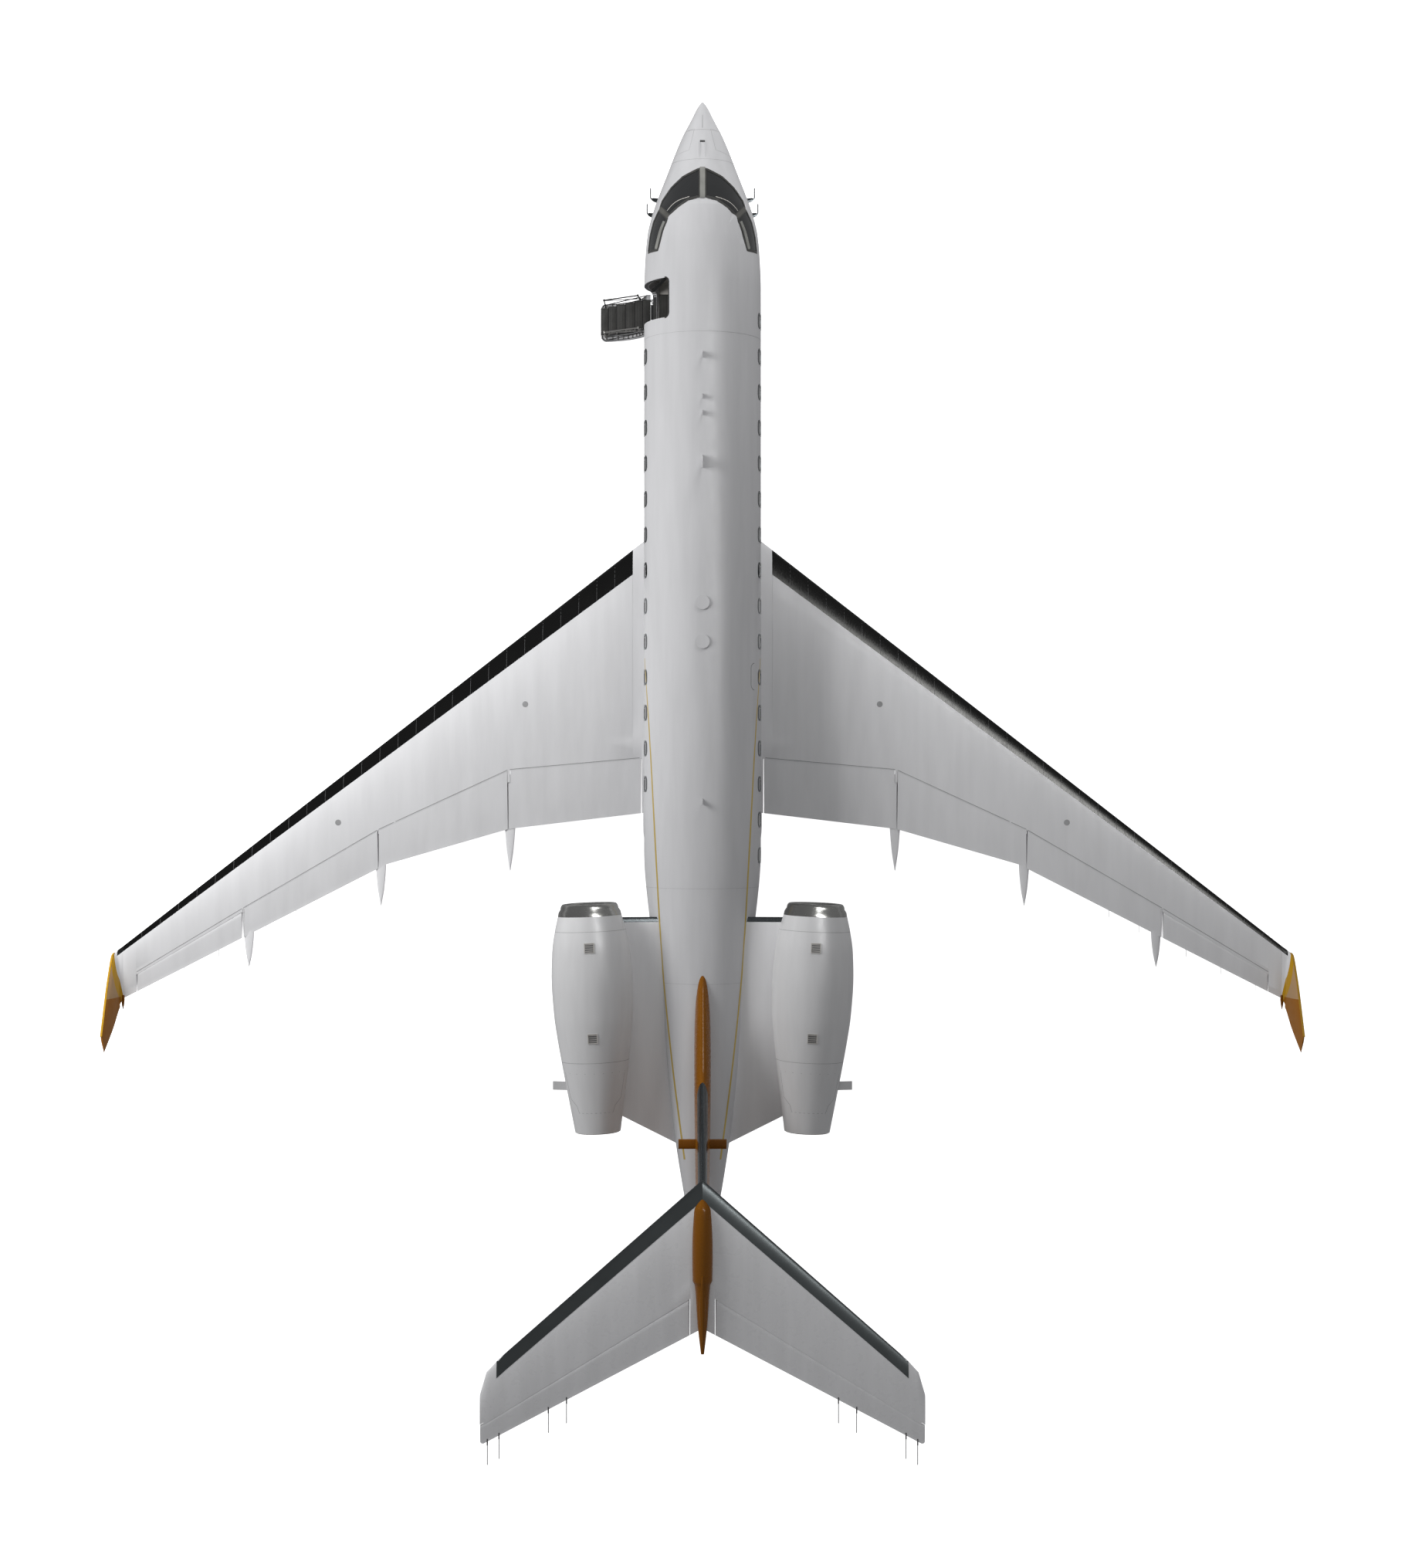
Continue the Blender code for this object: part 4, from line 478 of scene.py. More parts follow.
BAR_GREY = moulded("window_bar", (0.095, 0.093, 0.085), 0.50, 200.0, 0.0008)
SPECKLED = moulded("glareshield_rim", (0.24, 0.24, 0.225), 0.70, 60.0, 0.004)
GLASS = clear("windshield_glass", (0.018, 0.019, 0.020), 0.04, (4.0, 0.02, 0.07), Alpha=0.80, IOR=1.5)
CABIN_GLASS = clear("cabin_glass", (0.035, 0.037, 0.040), 0.04, (4.0, 0.02, 0.07), Alpha=0.88, IOR=1.5)
LAMP_GLASS = clear(
    "clear_lens", (0.75, 0.76, 0.78), 0.08, (30.0, 0.05, 0.14),
    Emission_Color=(0.75, 0.76, 0.78, 1.0), Emission_Strength=0.05,
)


def winglet_paint(shade_line_y, root, strip, slat_end, slat_depth):
    """Paint in areas: painted light and painted shade on the orange, meeting at a line; a gold strip at a
    slanted root; the slat's end.
    """
    # Ahead of the shade line: the orange lightened and greyed, painted light where the winglet curves up.
    front = (0.43, 0.27, 0.14)
    material = painted("winglet_paint", front, 0.36, 0.0, 0.04, 0.1, Specular_IOR_Level=0.16)
    place = add_node(material, "ShaderNodeTexCoord")
    parts = add_node(material, "ShaderNodeSeparateXYZ")
    link(material, place.outputs["Object"], parts.inputs["Vector"])

    def fill(slot, value):
        if isinstance(value, bpy.types.NodeSocket):
            link(material, value, slot)
        else:
            slot.default_value = value

    def math_node(operation, *values):
        node = add_node(material, "ShaderNodeMath", operation=operation)
        for slot, value in zip(node.inputs, values):
            fill(slot, value)
        return node.outputs["Value"]

    def painted_over(base, colour, where):
        mix = add_node(material, "ShaderNodeMix", data_type="RGBA")
        below, above = (slot for slot in mix.inputs if slot.type == "RGBA")
        fill(mix.inputs[0], where)
        fill(below, base)
        fill(above, (*colour, 1.0))
        return next(slot for slot in mix.outputs if slot.type == "RGBA")

    across = math_node("ABSOLUTE", parts.outputs["X"])
    along = parts.outputs["Y"]
    (x0, y0), (x1, y1) = root
    slant = (x1 - x0) / (y1 - y0)
    outside = math_node("SUBTRACT", across, math_node("MULTIPLY_ADD", along, slant, x0 - y0 * slant))
    beyond = math_node("SUBTRACT", across, WING_TIP_X)
    nose = math_node("MULTIPLY_ADD", beyond, WING_SWEEP, WINGLET_RINGS[0][1])
    behind = math_node("SUBTRACT", nose, along)
    on_slat = math_node("LESS_THAN", behind, slat_depth), math_node("LESS_THAN", across, slat_end)
    areas = [
        # Behind the shade line: a darker brown, painted shade on the winglet's flatter upper part.
        ((0.31, 0.118, 0.012), math_node("LESS_THAN", along, shade_line_y)),
        ((0.50, 0.27, 0.010), math_node("LESS_THAN", outside, strip)),
        ((0.72, 0.72, 0.73), math_node("LESS_THAN", outside, 0.0)),
        ((0.012, 0.012, 0.012), math_node("MULTIPLY", *on_slat)),
    ]
    out = (*front, 1.0)
    for colour, where in areas:
        out = painted_over(out, colour, where)
    link(material, out, "Base Color")
    return material


WINGLET_PAINT = winglet_paint(WINGLET_SHADE_LINE_Y, WINGLET_ROOT, WINGLET_STRIP, *WINGLET_SLAT)

# The record's material slot that each finish stands for, where a piece names no other.
FINISHES = {
    "white_paint": (WHITE, WING_WHITE, GOLD),
    "white_composite": (GREY_WHITE, NACELLE_WHITE),
    "orange_composite": (BRONZE, GOLD_EDGE, WINGLET_PAINT),
    "polished_metal": (CHROME, SLAT_METAL, EDGE_METAL, STAB_METAL),
    "dark_metal": (DARK_METAL, STEEL, BURNT_METAL, FAN_METAL, WHEEL_METAL),
    "dark_glass": (GLASS, CABIN_GLASS, LAMP_GLASS),
    "tyre_rubber": (RUBBER,),
    "dark_trim": (
        TRIM_DARK, SEAL, TREAD, LEATHER, STEP_BODY, GRIP, GLARE, RAIL_DARK, PANEL_LINE, SOFT_LINE,
        FRAME_DARK, BAR_GREY, SPECKLED,
    ),
    "light_trim": (TRIM_LIGHT, SATIN_TRIM, CARPET, GEAR_PAINT),
}
SLOT_OF = {finish.name: slot for slot, finishes in FINISHES.items() for finish in finishes}


# Meshes.


def add_piece(name, mesh, body, slot, node):
    """A mesh as a piece that rides a body and may take a node's place; slot is not used."""
    piece = bpy.data.objects.new(name, mesh)
    bpy.context.scene.collection.objects.link(piece)
    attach(piece, body)
    if node:
        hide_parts(node)
    return piece


def turned_spot(place, along, radius, angle):
    """A place about a frame's Y axis, from its distance along -Y, its radius and its angle."""
    return place @ Vector((radius * math.sin(angle), -along, radius * math.cos(angle)))


def turned_rings(profile, sides, place):
    """Rings turned about a frame's Y axis from (distance along -Y, radius)."""
    return [[turned_spot(place, along, radius, angle) for angle in turns(sides)] for along, radius in profile]


def facing(start, way, front="-Y"):
    """A frame at a place whose front axis looks along a direction."""
    return Matrix.Translation(start) @ Vector(way).to_track_quat(front, "Z").to_matrix().to_4x4()


def rounded_route(points, radius, steps=5):
    """A route whose corners are rounded with short curves."""
    points = [Vector(point) for point in points]
    out = [points[0]]
    for before, corner, after in zip(points, points[1:], points[2:]):
        reach = min(radius, (corner - before).length / 2, (after - corner).length / 2)
        start = corner + (before - corner).normalized() * reach
        end = corner + (after - corner).normalized() * reach
        for k in range(steps + 1):
            t = k / steps
            out.append(start * (1 - t) ** 2 + corner * 2 * t * (1 - t) + end * t**2)
    return out + [points[-1]]


def along_corners(corners, steps, loop=True):
    """Points along straight lines between corners."""
    out = []
    for a, b in zip(corners, corners[1:] + corners[:1] if loop else corners[1:]):
        out += [(a[0] + (b[0] - a[0]) * k / steps, a[1] + (b[1] - a[1]) * k / steps) for k in range(steps)]
    return out if loop else out + [corners[-1]]


class Form:
    """A mesh in the making, which becomes one piece."""

    def __init__(self):
        self.bm = bmesh.new()

    def loft(self, rings, loop=False):
        """A skin over rings of equal count, with its ends capped unless it closes on itself."""
        made = [[self.bm.verts.new(point) for point in ring] for ring in rings]
        count = len(made[0])
        for low, high in zip(made, made[1:] + made[:1] if loop else made[1:]):
            for k in range(count):
                after = (k + 1) % count
                self.bm.faces.new((low[k], low[after], high[after], high[k]))
        if not loop:
            self.bm.faces.new(made[0][::-1])
            self.bm.faces.new(made[-1])
        return self

    def prism(self, outline, places):
        """An outline of (Y, Z) points, drawn across X."""
        return self.loft([[(x, y, z) for y, z in outline] for x in places])

    def turned(self, profile, sides, place, loop=False):
        return self.loft(turned_rings(profile, sides, place), loop)

    def spun(self, profile, start, way, sides=32):
        """A turned form that runs from a place along a direction."""
        return self.turned(profile, sides, facing(start, way))

    def tube(self, route, radius, sides=12):
        """A round tube along a route of points, with mitred corners."""
        points = [Vector(point) for point in route]
        ways = [(b - a).normalized() for a, b in zip(points, points[1:])]
        rings = []
        across = (ways[0] + ways[0]).normalized().orthogonal().normalized()
        for point, way_in, way_out in zip(points, ways[:1] + ways, ways + ways[-1:]):
            along = (way_in + way_out).normalized()
            across = (across - along * across.dot(along)).normalized()
            other = along.cross(across)
            widen = 1 / max(0.5, along.dot(way_out))
            rings.append([
                point + (across * math.cos(t) + other * math.sin(t)) * radius * (1 + (widen - 1) * 0.5)
                for t in turns(sides)
            ])
        return self.loft(rings)

    def ribbon(self, path, width, thickness, sink=0.004, loop=False):
        """A flat closed strip along (point, normal) pairs, half sunk in what it lies on."""
        points = [point for point, _ in path]
        before = (points[-1:] if loop else points[:1]) + points[:-1]
        after = points[1:] + (points[:1] if loop else points[-1:])
        rings = []
        for (point, normal), last, following in zip(path, before, after):
            across = (following - last).normalized().cross(normal).normalized() * width / 2
            top, base = point + normal * thickness, point - normal * sink
            rings.append([top - across, top + across, base + across, base - across])
        return self.loft(rings, loop)

    def box(self, low, high, turn=Matrix.Identity(4)):
        """A box between two corners, turned by a matrix."""
        (x0, y0, z0), (x1, y1, z1) = low, high
        corners = ((x0, y0), (x1, y0), (x1, y1), (x0, y1))
        return self.loft([[turn @ Vector((x, y, z)) for x, y in corners] for z in (z0, z1)])

    def blade(self, base, normal, chord, height, lean=0.35, thick=0.12):
        """A swept blade standing on a surface: full at its base, thin and raked at its tip."""
        way = Vector(AHEAD)
        across = way.cross(normal).normalized()
        rings = []
        for share, size in ((-0.05, 1.0), (0.0, 1.0), (0.7, 0.75), (1.0, 0.45)):
            middle = base + normal * height * share - way * chord * lean * max(0.0, share)
            rings.append([
                middle + way * math.cos(angle) * chord / 2 * size
                + across * math.sin(angle) * chord / 2 * thick * size
                for angle in turns(12)
            ])
        return self.loft(rings)

    def piece(self, name, material, body="airframe", slot=None, sharp=35.0, node=None):
        """Ends the mesh as a piece that is smooth up to an angle."""
        mesh = bpy.data.meshes.new(name)
        bmesh.ops.recalc_face_normals(self.bm, faces=self.bm.faces)
        self.bm.to_mesh(mesh)
        self.bm.free()
        mesh.materials.append(material)
        mesh.shade_smooth()
        if sharp:
            mesh.set_sharp_from_angle(angle=math.radians(sharp))
        return add_piece(name, mesh, body, slot or SLOT_OF[material.name], node)


# True surfaces of the fuselage and the belly fairing.

HULL_COLUMNS = [column(HULL, k) for k in (1, 2, 3, 4)]


@functools.lru_cache(maxsize=None)
def hull_values(y):
    return tuple(smooth(line, y) for line in HULL_COLUMNS)


def hull_spot(y, angle):
    """A place on the fuselage: the angle is measured from the crown to starboard."""
    half, top, bottom, widest = hull_values(y)
    rise = math.cos(angle)
    height = widest + rise * ((top - widest) if rise > 0 else (widest - bottom))
    return Vector((half * math.sin(angle), y, height))


def surface_at(spot, y, angle, turn, step):
    """A place on a surface given by station and angle, and the way out there."""
    round_way = spot(y, angle + turn) - spot(y, angle - turn)
    along = spot(y + step, angle) - spot(y - step, angle)
    return spot(y, angle), round_way.cross(along).normalized()


def on_hull(y, angle):
    return surface_at(hull_spot, y, angle, 0.004, 0.01)


def on_hull_top(x, y):
    """The crown's place and normal under a plan position."""
    return on_hull(y, math.asin(max(-1.0, min(1.0, x / hull_values(y)[0]))))


def on_hull_side(side, y, z):
    _, top, bottom, widest = hull_values(y)
    rise = (top - widest) if z > widest else (widest - bottom)
    return on_hull(y, side * math.acos(max(-1.0, min(1.0, (z - widest) / rise))))


def hull_skin(point):
    """The nearest place on the fuselage at the same station, and the way out there."""
    x, y, z = point
    half, top, bottom, widest = hull_values(y)
    rise = (top - widest) if z - widest > 0 else (widest - bottom)
    return on_hull(y, math.atan2(x / half, (z - widest) / rise))


def from_photo(x, y, height):
    """The plan position of a pixel of the photograph, for a thing at a height."""
    scale = IMAGE_FOCAL / (CAMERA_SPOT[2] - height)
    return (x - IMAGE_MIDDLE[0]) / scale, (IMAGE_MIDDLE[1] - y) / scale + CAMERA_SPOT[1]


def fairing_values(y):
    """The fairing's half width, middle height and half height at a station."""
    half, top, bottom = (smooth(column(FAIRING, k), y) for k in (1, 2, 3))
    return half, (top + bottom) / 2, (top - bottom) / 2


def bulged(value, power):
    return math.copysign(abs(value) ** power, value)


def fairing_spot(y, angle):
    half, middle, rise = fairing_values(y)
    power = 2 / FAIRING_SQUARENESS
    across, up = bulged(math.sin(angle), power), bulged(math.cos(angle), power)
    return Vector((half * across, y, middle + rise * up))


def fairing_skin(point):
    half, middle, rise = fairing_values(point[1])
    power = FAIRING_SQUARENESS / 2
    angle = math.atan2(bulged(point[0] / half, power), bulged((point[2] - middle) / rise, power))
    return surface_at(fairing_spot, point[1], angle, 0.01, 0.02)


def axis_cuts(centre_z, count):
    """Planes through a lengthwise axis in the middle plane, evenly spread round it."""
    angles = [math.pi * k / count for k in range(count)]
    return [(Vector((0, 0, centre_z)), Vector((math.cos(a), 0, math.sin(a)))) for a in angles]


def station_cuts(places):
    """Planes square to Y at the given places."""
    return [(Vector((0, y, 0)), Vector((0, 1, 0))) for y in places]


def refined(node, skin, material, cuts, reach=0.009, body="airframe", turn=None):
    """Replaces a node by a copy whose outer faces are cut finer and lie on their true surface.

    turn brings the node to where skin and the cutting planes are given.
    """
    back = turn or Matrix.Identity(4)
    bm = bmesh.new()
    bm.from_mesh(frame["nodes"][node].data)
    bm.transform(back)
    bmesh.ops.remove_doubles(bm, verts=bm.verts, dist=0.00005)
    outer = bm.faces.layers.int.new("outer")
    for face in bm.faces:
        if face.normal.dot(skin(face.calc_center_median())[1]) < 0.6:
            continue
        spots = [(*skin(v.co), v.co) for v in face.verts]
        if all(abs((spot - co).dot(n)) < reach for spot, n, co in spots):
            face[outer] = 1
    for point, normal in cuts:
        faces = [face for face in bm.faces if face[outer]]
        geometry = faces + list(dict.fromkeys(e for f in faces for e in f.edges))
        geometry += list(dict.fromkeys(v for f in faces for v in f.verts))
        bmesh.ops.bisect_plane(bm, geom=geometry, dist=0.0004, plane_co=point, plane_no=normal)
    bmesh.ops.triangulate(bm, faces=[f for f in bm.faces if len(f.verts) > 4])
    bm.verts.index_update()
    normals = {}
    for vert in bm.verts:
        if any(face[outer] for face in vert.link_faces):
            vert.co, normals[vert.index] = skin(vert.co)
    mesh = bpy.data.meshes.new(f"skin_{node}")
    bm.to_mesh(mesh)
    marks = [face[outer] for face in bm.faces]
    bm.free()
    mesh.materials.append(material)
    mesh.shade_smooth()
    forward = back.inverted()
    mesh.transform(forward)
    loops = []
    for polygon, mark in zip(mesh.polygons, marks):
        for index in polygon.loop_indices:
            normal = polygon.normal
            if mark:
                normal = forward.to_3x3() @ normals[mesh.loops[index].vertex_index]
            loops.append(normal.normalized())
    mesh.normals_split_custom_set(loops)
    return add_piece(f"skin_{node}", mesh, body, "white_paint", node)


def make_hull():
    stations = spread((-11.90, -2.60), 31) + spread((10.64, 15.15), 45)
    around = axis_cuts(HULL_CENTRE_Z, HULL_SIDES)
    for node in ("radome", "forward_fuselage", "cabin_fuselage", "aft_fuselage", "tail_cone"):
        low, high = (corner[1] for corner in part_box(node))
        inside = [y for y in stations if low + 0.02 < y < high - 0.02]
        refined(node, hull_skin, WHITE, around + station_cuts(inside))
    around = axis_cuts(1.31, 24) + station_cuts(spread((-4.20, 6.50), 26))
    refined("belly_fairing", fairing_skin, WHITE, around, reach=0.03)


def rounded_outline(width, height, corner, steps=6):
    """A rectangle with round corners as (across, up) points."""
    out = []
    for turn, (sx, sz) in enumerate(((1, 1), (-1, 1), (-1, -1), (1, -1))):
        cx, cz = sx * (width / 2 - corner), sz * (height / 2 - corner)
        for k in range(steps + 1):
            angle = math.radians(90 * (turn + k / steps))
            out.append((cx + corner * math.cos(angle), cz + corner * math.sin(angle)))
    return out


def make_windows():
    """The cabin windows: a dark pane set in, and a thin rim round it."""
    width, height = WINDOW_SIZE
    outline = rounded_outline(width + 0.008, height + 0.008, WINDOW_CORNER)
    rim = rounded_outline(width - 0.014, height - 0.014, WINDOW_CORNER - 0.01)
    for label, numbers in WINDOWS.items():

        def on_side(y, points, scale=1.0, side=SIDES[label]):
            return [on_hull_side(side, y + a * scale, WINDOW_MIDDLE_Z + up * scale) for a, up in points]

        for number in numbers:
            y = WINDOW_FIRST_Y - WINDOW_PITCH * number
            rings = [[s - n * depth for s, n in on_side(y, outline, scale)] for depth, scale in CABIN_PANE]
            Form().loft(rings).piece(f"pane_{label}_{number}", CABIN_GLASS)
            edge = Form().ribbon(on_side(y, rim), 0.054, 0.003, 0.010, loop=True)
            edge.piece(f"window_rim_{label}_{number}", EDGE_METAL)


# Wing, stabilizer and fin, and what turns on them.


def half_thickness(share, chord, ratio):
    """Half the thickness of a symmetric airfoil at a share of its chord."""
    share = min(max(share, 0.0), 1.0)
    shape = (
        0.2969 * math.sqrt(share) - 0.1260 * share - 0.3516 * share**2
        + 0.2843 * share**3 - 0.1036 * share**4
    )
    return max(5 * ratio * chord * shape, 0.005)


def airfoil_ring(spot, nose, tail, front, rear, ratio, steps=20):
    """A ring round the part of an airfoil between two places on its chord line."""
    chord = nose - tail
    whole = abs(front - nose) < 1e-9
    upper = []
    for k in range(steps + 1):
        share = (k / steps) ** 2.4 if whole else k / steps
        along = front + (rear - front) * share
        upper.append((along, half_thickness((nose - along) / chord, chord, ratio)))
    if whole:
        upper[0] = (front, 0.2 * upper[1][1])
    ring = [spot(along, height) for along, height in reversed(upper)]
    return ring + [spot(along, -height) for along, height in upper]


def edge_ring(spot, nose, tail, ratio, reach, grow, ahead, steps=8):
    """A ring of the thin cover of a leading edge, which reaches aft on both faces."""
    chord = nose - tail
    shares = [(j / steps) ** 2 * reach / chord for j in range(steps + 1)]
    faces = [(nose - chord * s, half_thickness(s, chord, ratio) + grow) for s in shares]
    ring = [spot(along, height) for along, height in reversed(faces[1:])] + [spot(nose + ahead, 0.0)]
    return ring + [spot(along, -height) for along, height in faces[1:]]


class Foil:
    """A wing, stabilizer or fin: its edges, thickness, hinge line and the place of its points."""

    def __init__(self, nose, tail, ratio, hinge, moving, place):
        self.lines, self.hinge, self.place = (nose, tail, ratio), hinge, place
        low, high = (straight(hinge, at) for at in moving)
        self.sweep = math.atan2(abs(high - low), abs(moving[1] - moving[0]))

    def values(self, at):
        return [straight(line, at) for line in self.lines]

    def nose(self, at):
        return straight(self.lines[0], at)

    def tail(self, at):
        return straight(self.lines[1], at)

    def line(self, at):
        return straight(self.hinge, at)

    def spot(self, side, at):
        return lambda along, height: Vector(self.place(side, at, along, height))

    def height(self, at, along):
        nose, tail, ratio = self.values(at)
        return half_thickness((nose - along) / (nose - tail), nose - tail, ratio)

    def ring(self, side, at, front, rear, steps=20):
        nose, tail, ratio = self.values(at)
        return airfoil_ring(self.spot(side, at), nose, tail, front, rear, ratio, steps)

    def hinged(self, side, at, cut=0.0, nose_at=None, steps=8):
        """A control surface's ring behind its line: its nose is round about its hinge."""
        _, tail, ratio = self.values(at)
        nose, line, spot = self.nose(nose_at or at), self.line(at), self.spot(side, at)
        tail += cut
        chord = nose - tail
        reach = half_thickness((nose - line) / chord, chord, ratio) / math.cos(self.sweep)
        hinge = line - HINGE_GAP - reach
        radius = half_thickness((nose - hinge) / chord, chord, ratio)
        upper = []
        for along in spread((tail, hinge), steps):
            upper.append((along, half_thickness((nose - along) / chord, chord, ratio)))
        for k in range(1, steps):
            turn = math.radians(90 * (1 - k / steps) + 4)
            upper.append((hinge + reach * math.cos(turn) * 0.96, radius * math.sin(turn) * 0.98))
        ring = [spot(along, height) for along, height in upper]
        return ring + [spot(along, -height) for along, height in reversed(upper)]

    def plate(self, side, at, ahead):
        """A ring of the thin plate that fills the slot at a control surface's end."""
        spot, front, rear = self.spot(side, at), self.line(at) + ahead, self.tail(at)
        middle = (front + rear) / 2
        return [
            spot(front, 0.0), spot(front - 0.01, 0.004), spot(middle, 0.004), spot(rear, 0.0015),
            spot(rear, -0.0015), spot(middle, -0.004), spot(front - 0.01, -0.004),
        ]

    def lips(self, form, side, places, reach):
        """Thin skins that carry the fixed part's faces on over the nose of what turns."""
        for way in (1, -1):
            rings = []
            for at in places:
                spot, front = self.spot(side, at), self.line(at)
                start, end = front + 0.006, front - reach(at)
                middle = (start + end) / 2
                skin = ((start, 0.0002), (middle, 0.0002), (end, 0.0004))
                skin += ((end, 0.0024), (middle, 0.003), (start, 0.007))
                rings.append([spot(along, way * (self.height(at, along) - drop)) for along, drop in skin])
            form.loft(rings)

    def lip_reach(self, at):
        """How far a lip may reach aft over a round hinged nose."""
        return HINGE_GAP + 0.66 * self.height(at, self.line(at)) / math.cos(self.sweep)


def wing_place(side, x, along, height):
    return side * x, along, straight(WING_PLANE, x) + height


WING = Foil(WING_LE, WING_TE, WING_THICKNESS, HINGE_LINE, AILERON_X, wing_place)
STAB = Foil(
    STAB_LE, STAB_TE, [(0.0, STAB_THICKNESS), (1.0, STAB_THICKNESS)], STAB_HINGE, ELEVATOR_X,
    lambda side, x, along, height: (side * x, along, STAB_Z + height),
)
FIN = Foil(
    FIN_LE, FIN_TE, FIN_THICKNESS, FIN_HINGE, RUDDER_Z, lambda side, z, along, height: (height, along, z)
)


def slat_line(x):
    return WING.nose(x) - straight(SLAT_DEPTH, x)


def on_wing(side, x, y, upper=True):
    """A place on the wing's surface and the way out there."""

    def height(px, py):
        return straight(WING_PLANE, px) + WING.height(px, py)

    way = 1 if upper else -1
    plane = straight(WING_PLANE, x)
    slope_x = (height(x + 0.02, y) - height(x - 0.02, y)) / 0.04
    slope_y = (height(x, y + 0.02) - height(x, y - 0.02)) / 0.04
    normal = Vector((-side * slope_x, -slope_y, way)).normalized()
    return Vector((side * x, y, plane + way * WING.height(x, y))), normal


def make_wing(label, side):
    """One wing and its slat."""
    parts = [
        ((WING_ROOT_X, FLAP_START_X - STEP_WIDTH), WING.nose, WING.tail),
        ((FLAP_START_X, SLAT_START_X - STEP_WIDTH), WING.nose, WING.line),
        (spread((SLAT_START_X, 4.60, 7.65, 10.86, AILERON_END_X - STEP_WIDTH), 5), slat_line, WING.line),
        ((AILERON_END_X, WING_TIP_X), slat_line, WING.tail),
    ]
    rings = [WING.ring(side, x, front(x), rear(x)) for places, front, rear in parts for x in places]
    Form().loft(rings).piece(f"wing_skin_{label}", WING_WHITE, node=f"wing_{label}")
    places = spread((SLAT_START_X + 0.0003, 4.60, 7.65, 10.86, WING_TIP_X), 4)
    rings = [WING.ring(side, x, WING.nose(x), slat_line(x) + 0.0006, 16) for x in places]
    Form().loft(rings).piece(f"slat_skin_{label}", SLAT_METAL, node=f"slat_{label}")


def track_rings(side, x, half, aft):
    """A flap track fairing: round under the flap's nose and drawn out to a point."""
    front = WING.line(x - half) - FLAP_GAP
    start = min(front, WING.line(x + half) - FLAP_GAP) - 0.03
    at_front = WING.height(x, front)
    middle = straight(WING_PLANE, x) - at_front * 0.15
    rings = []
    for share in spread((0.0, 1.0), 14):
        width = half * smooth(column(TRACK_SHAPE, 1), share)
        depth = (at_front + TRACK_DEPTH) * smooth(column(TRACK_SHAPE, 2), share)
        ring = []
        for angle in turns(24, 0.5):
            rise = math.cos(angle)
            height = middle + (0.02 * rise if rise > 0 else depth * rise)
            ring.append((side * x + width * math.sin(angle), start + (aft - start) * share, height))
        rings.append(ring)
    return rings


def make_flaps(label, side):

    def flap_rings(places, front=0.0):
        noses = [min(front, WING.line(x) - FLAP_GAP) for x in places]
        return [WING.ring(side, x, nose, WING.tail(x), 10) for x, nose in zip(places, noses)]

    for part, (start, end, *track) in FLAPS.items():
        bends = [FLAP_BEND] if start < FLAP_BEND < end else []
        flap = Form().loft(flap_rings(spread((start, *bends, end), 3)))
        flap.loft(track_rings(side, *track))
        if part in FLAP_ENDS:
            beyond, front = FLAP_ENDS[part]
            flap.loft(flap_rings((end - 0.005, beyond), front))
        body = f"flap_{part}_{label}"
        flap.piece(f"flap_skin_{part}_{label}", WING_WHITE, body, node=body)


def make_aileron(label, side):
    body = f"aileron_{label}"
    skin = Form().loft([WING.hinged(side, x) for x in spread(AILERON_X, 3)])
    skin.piece(f"aileron_skin_{label}", WING_WHITE, body, "white_composite", node=body)
    plate = Form().loft([WING.plate(side, x, -0.05) for x in (AILERON_X[1] - 0.004, AILERON_END_X - 0.008)])
    plate.piece(f"aileron_plate_{label}", WING_WHITE, body, "white_composite")


def winglet_rings(side, steps=5):
    """The winglet's rings, with smooth ones between those that shape it."""
    numbers = list(range(len(WINGLET_RINGS)))
    tables = [[(n, WINGLET_RINGS[n][k]) for n in numbers] for k in range(6)]
    rings = []
    for t in spread(numbers, steps):
        x, y, z, chord, inboard, lean = (smooth(table, t) for table in tables)
        lean = math.radians(lean)

        def spot(along, height, x=x, y=y, z=z, chord=chord, inboard=inboard, lean=lean):
            share = (y - along) / chord
            across = x - inboard * share - height * math.sin(lean)
            return Vector((side * across, along, z + height * math.cos(lean)))

        rings.append(airfoil_ring(spot, y, y - chord, y, y - chord, WINGLET_THICKNESS, 16))
    return rings


def make_winglet(label, side):
    Form().loft(winglet_rings(side)).piece(f"winglet_skin_{label}", WINGLET_PAINT, node=f"winglet_{label}")


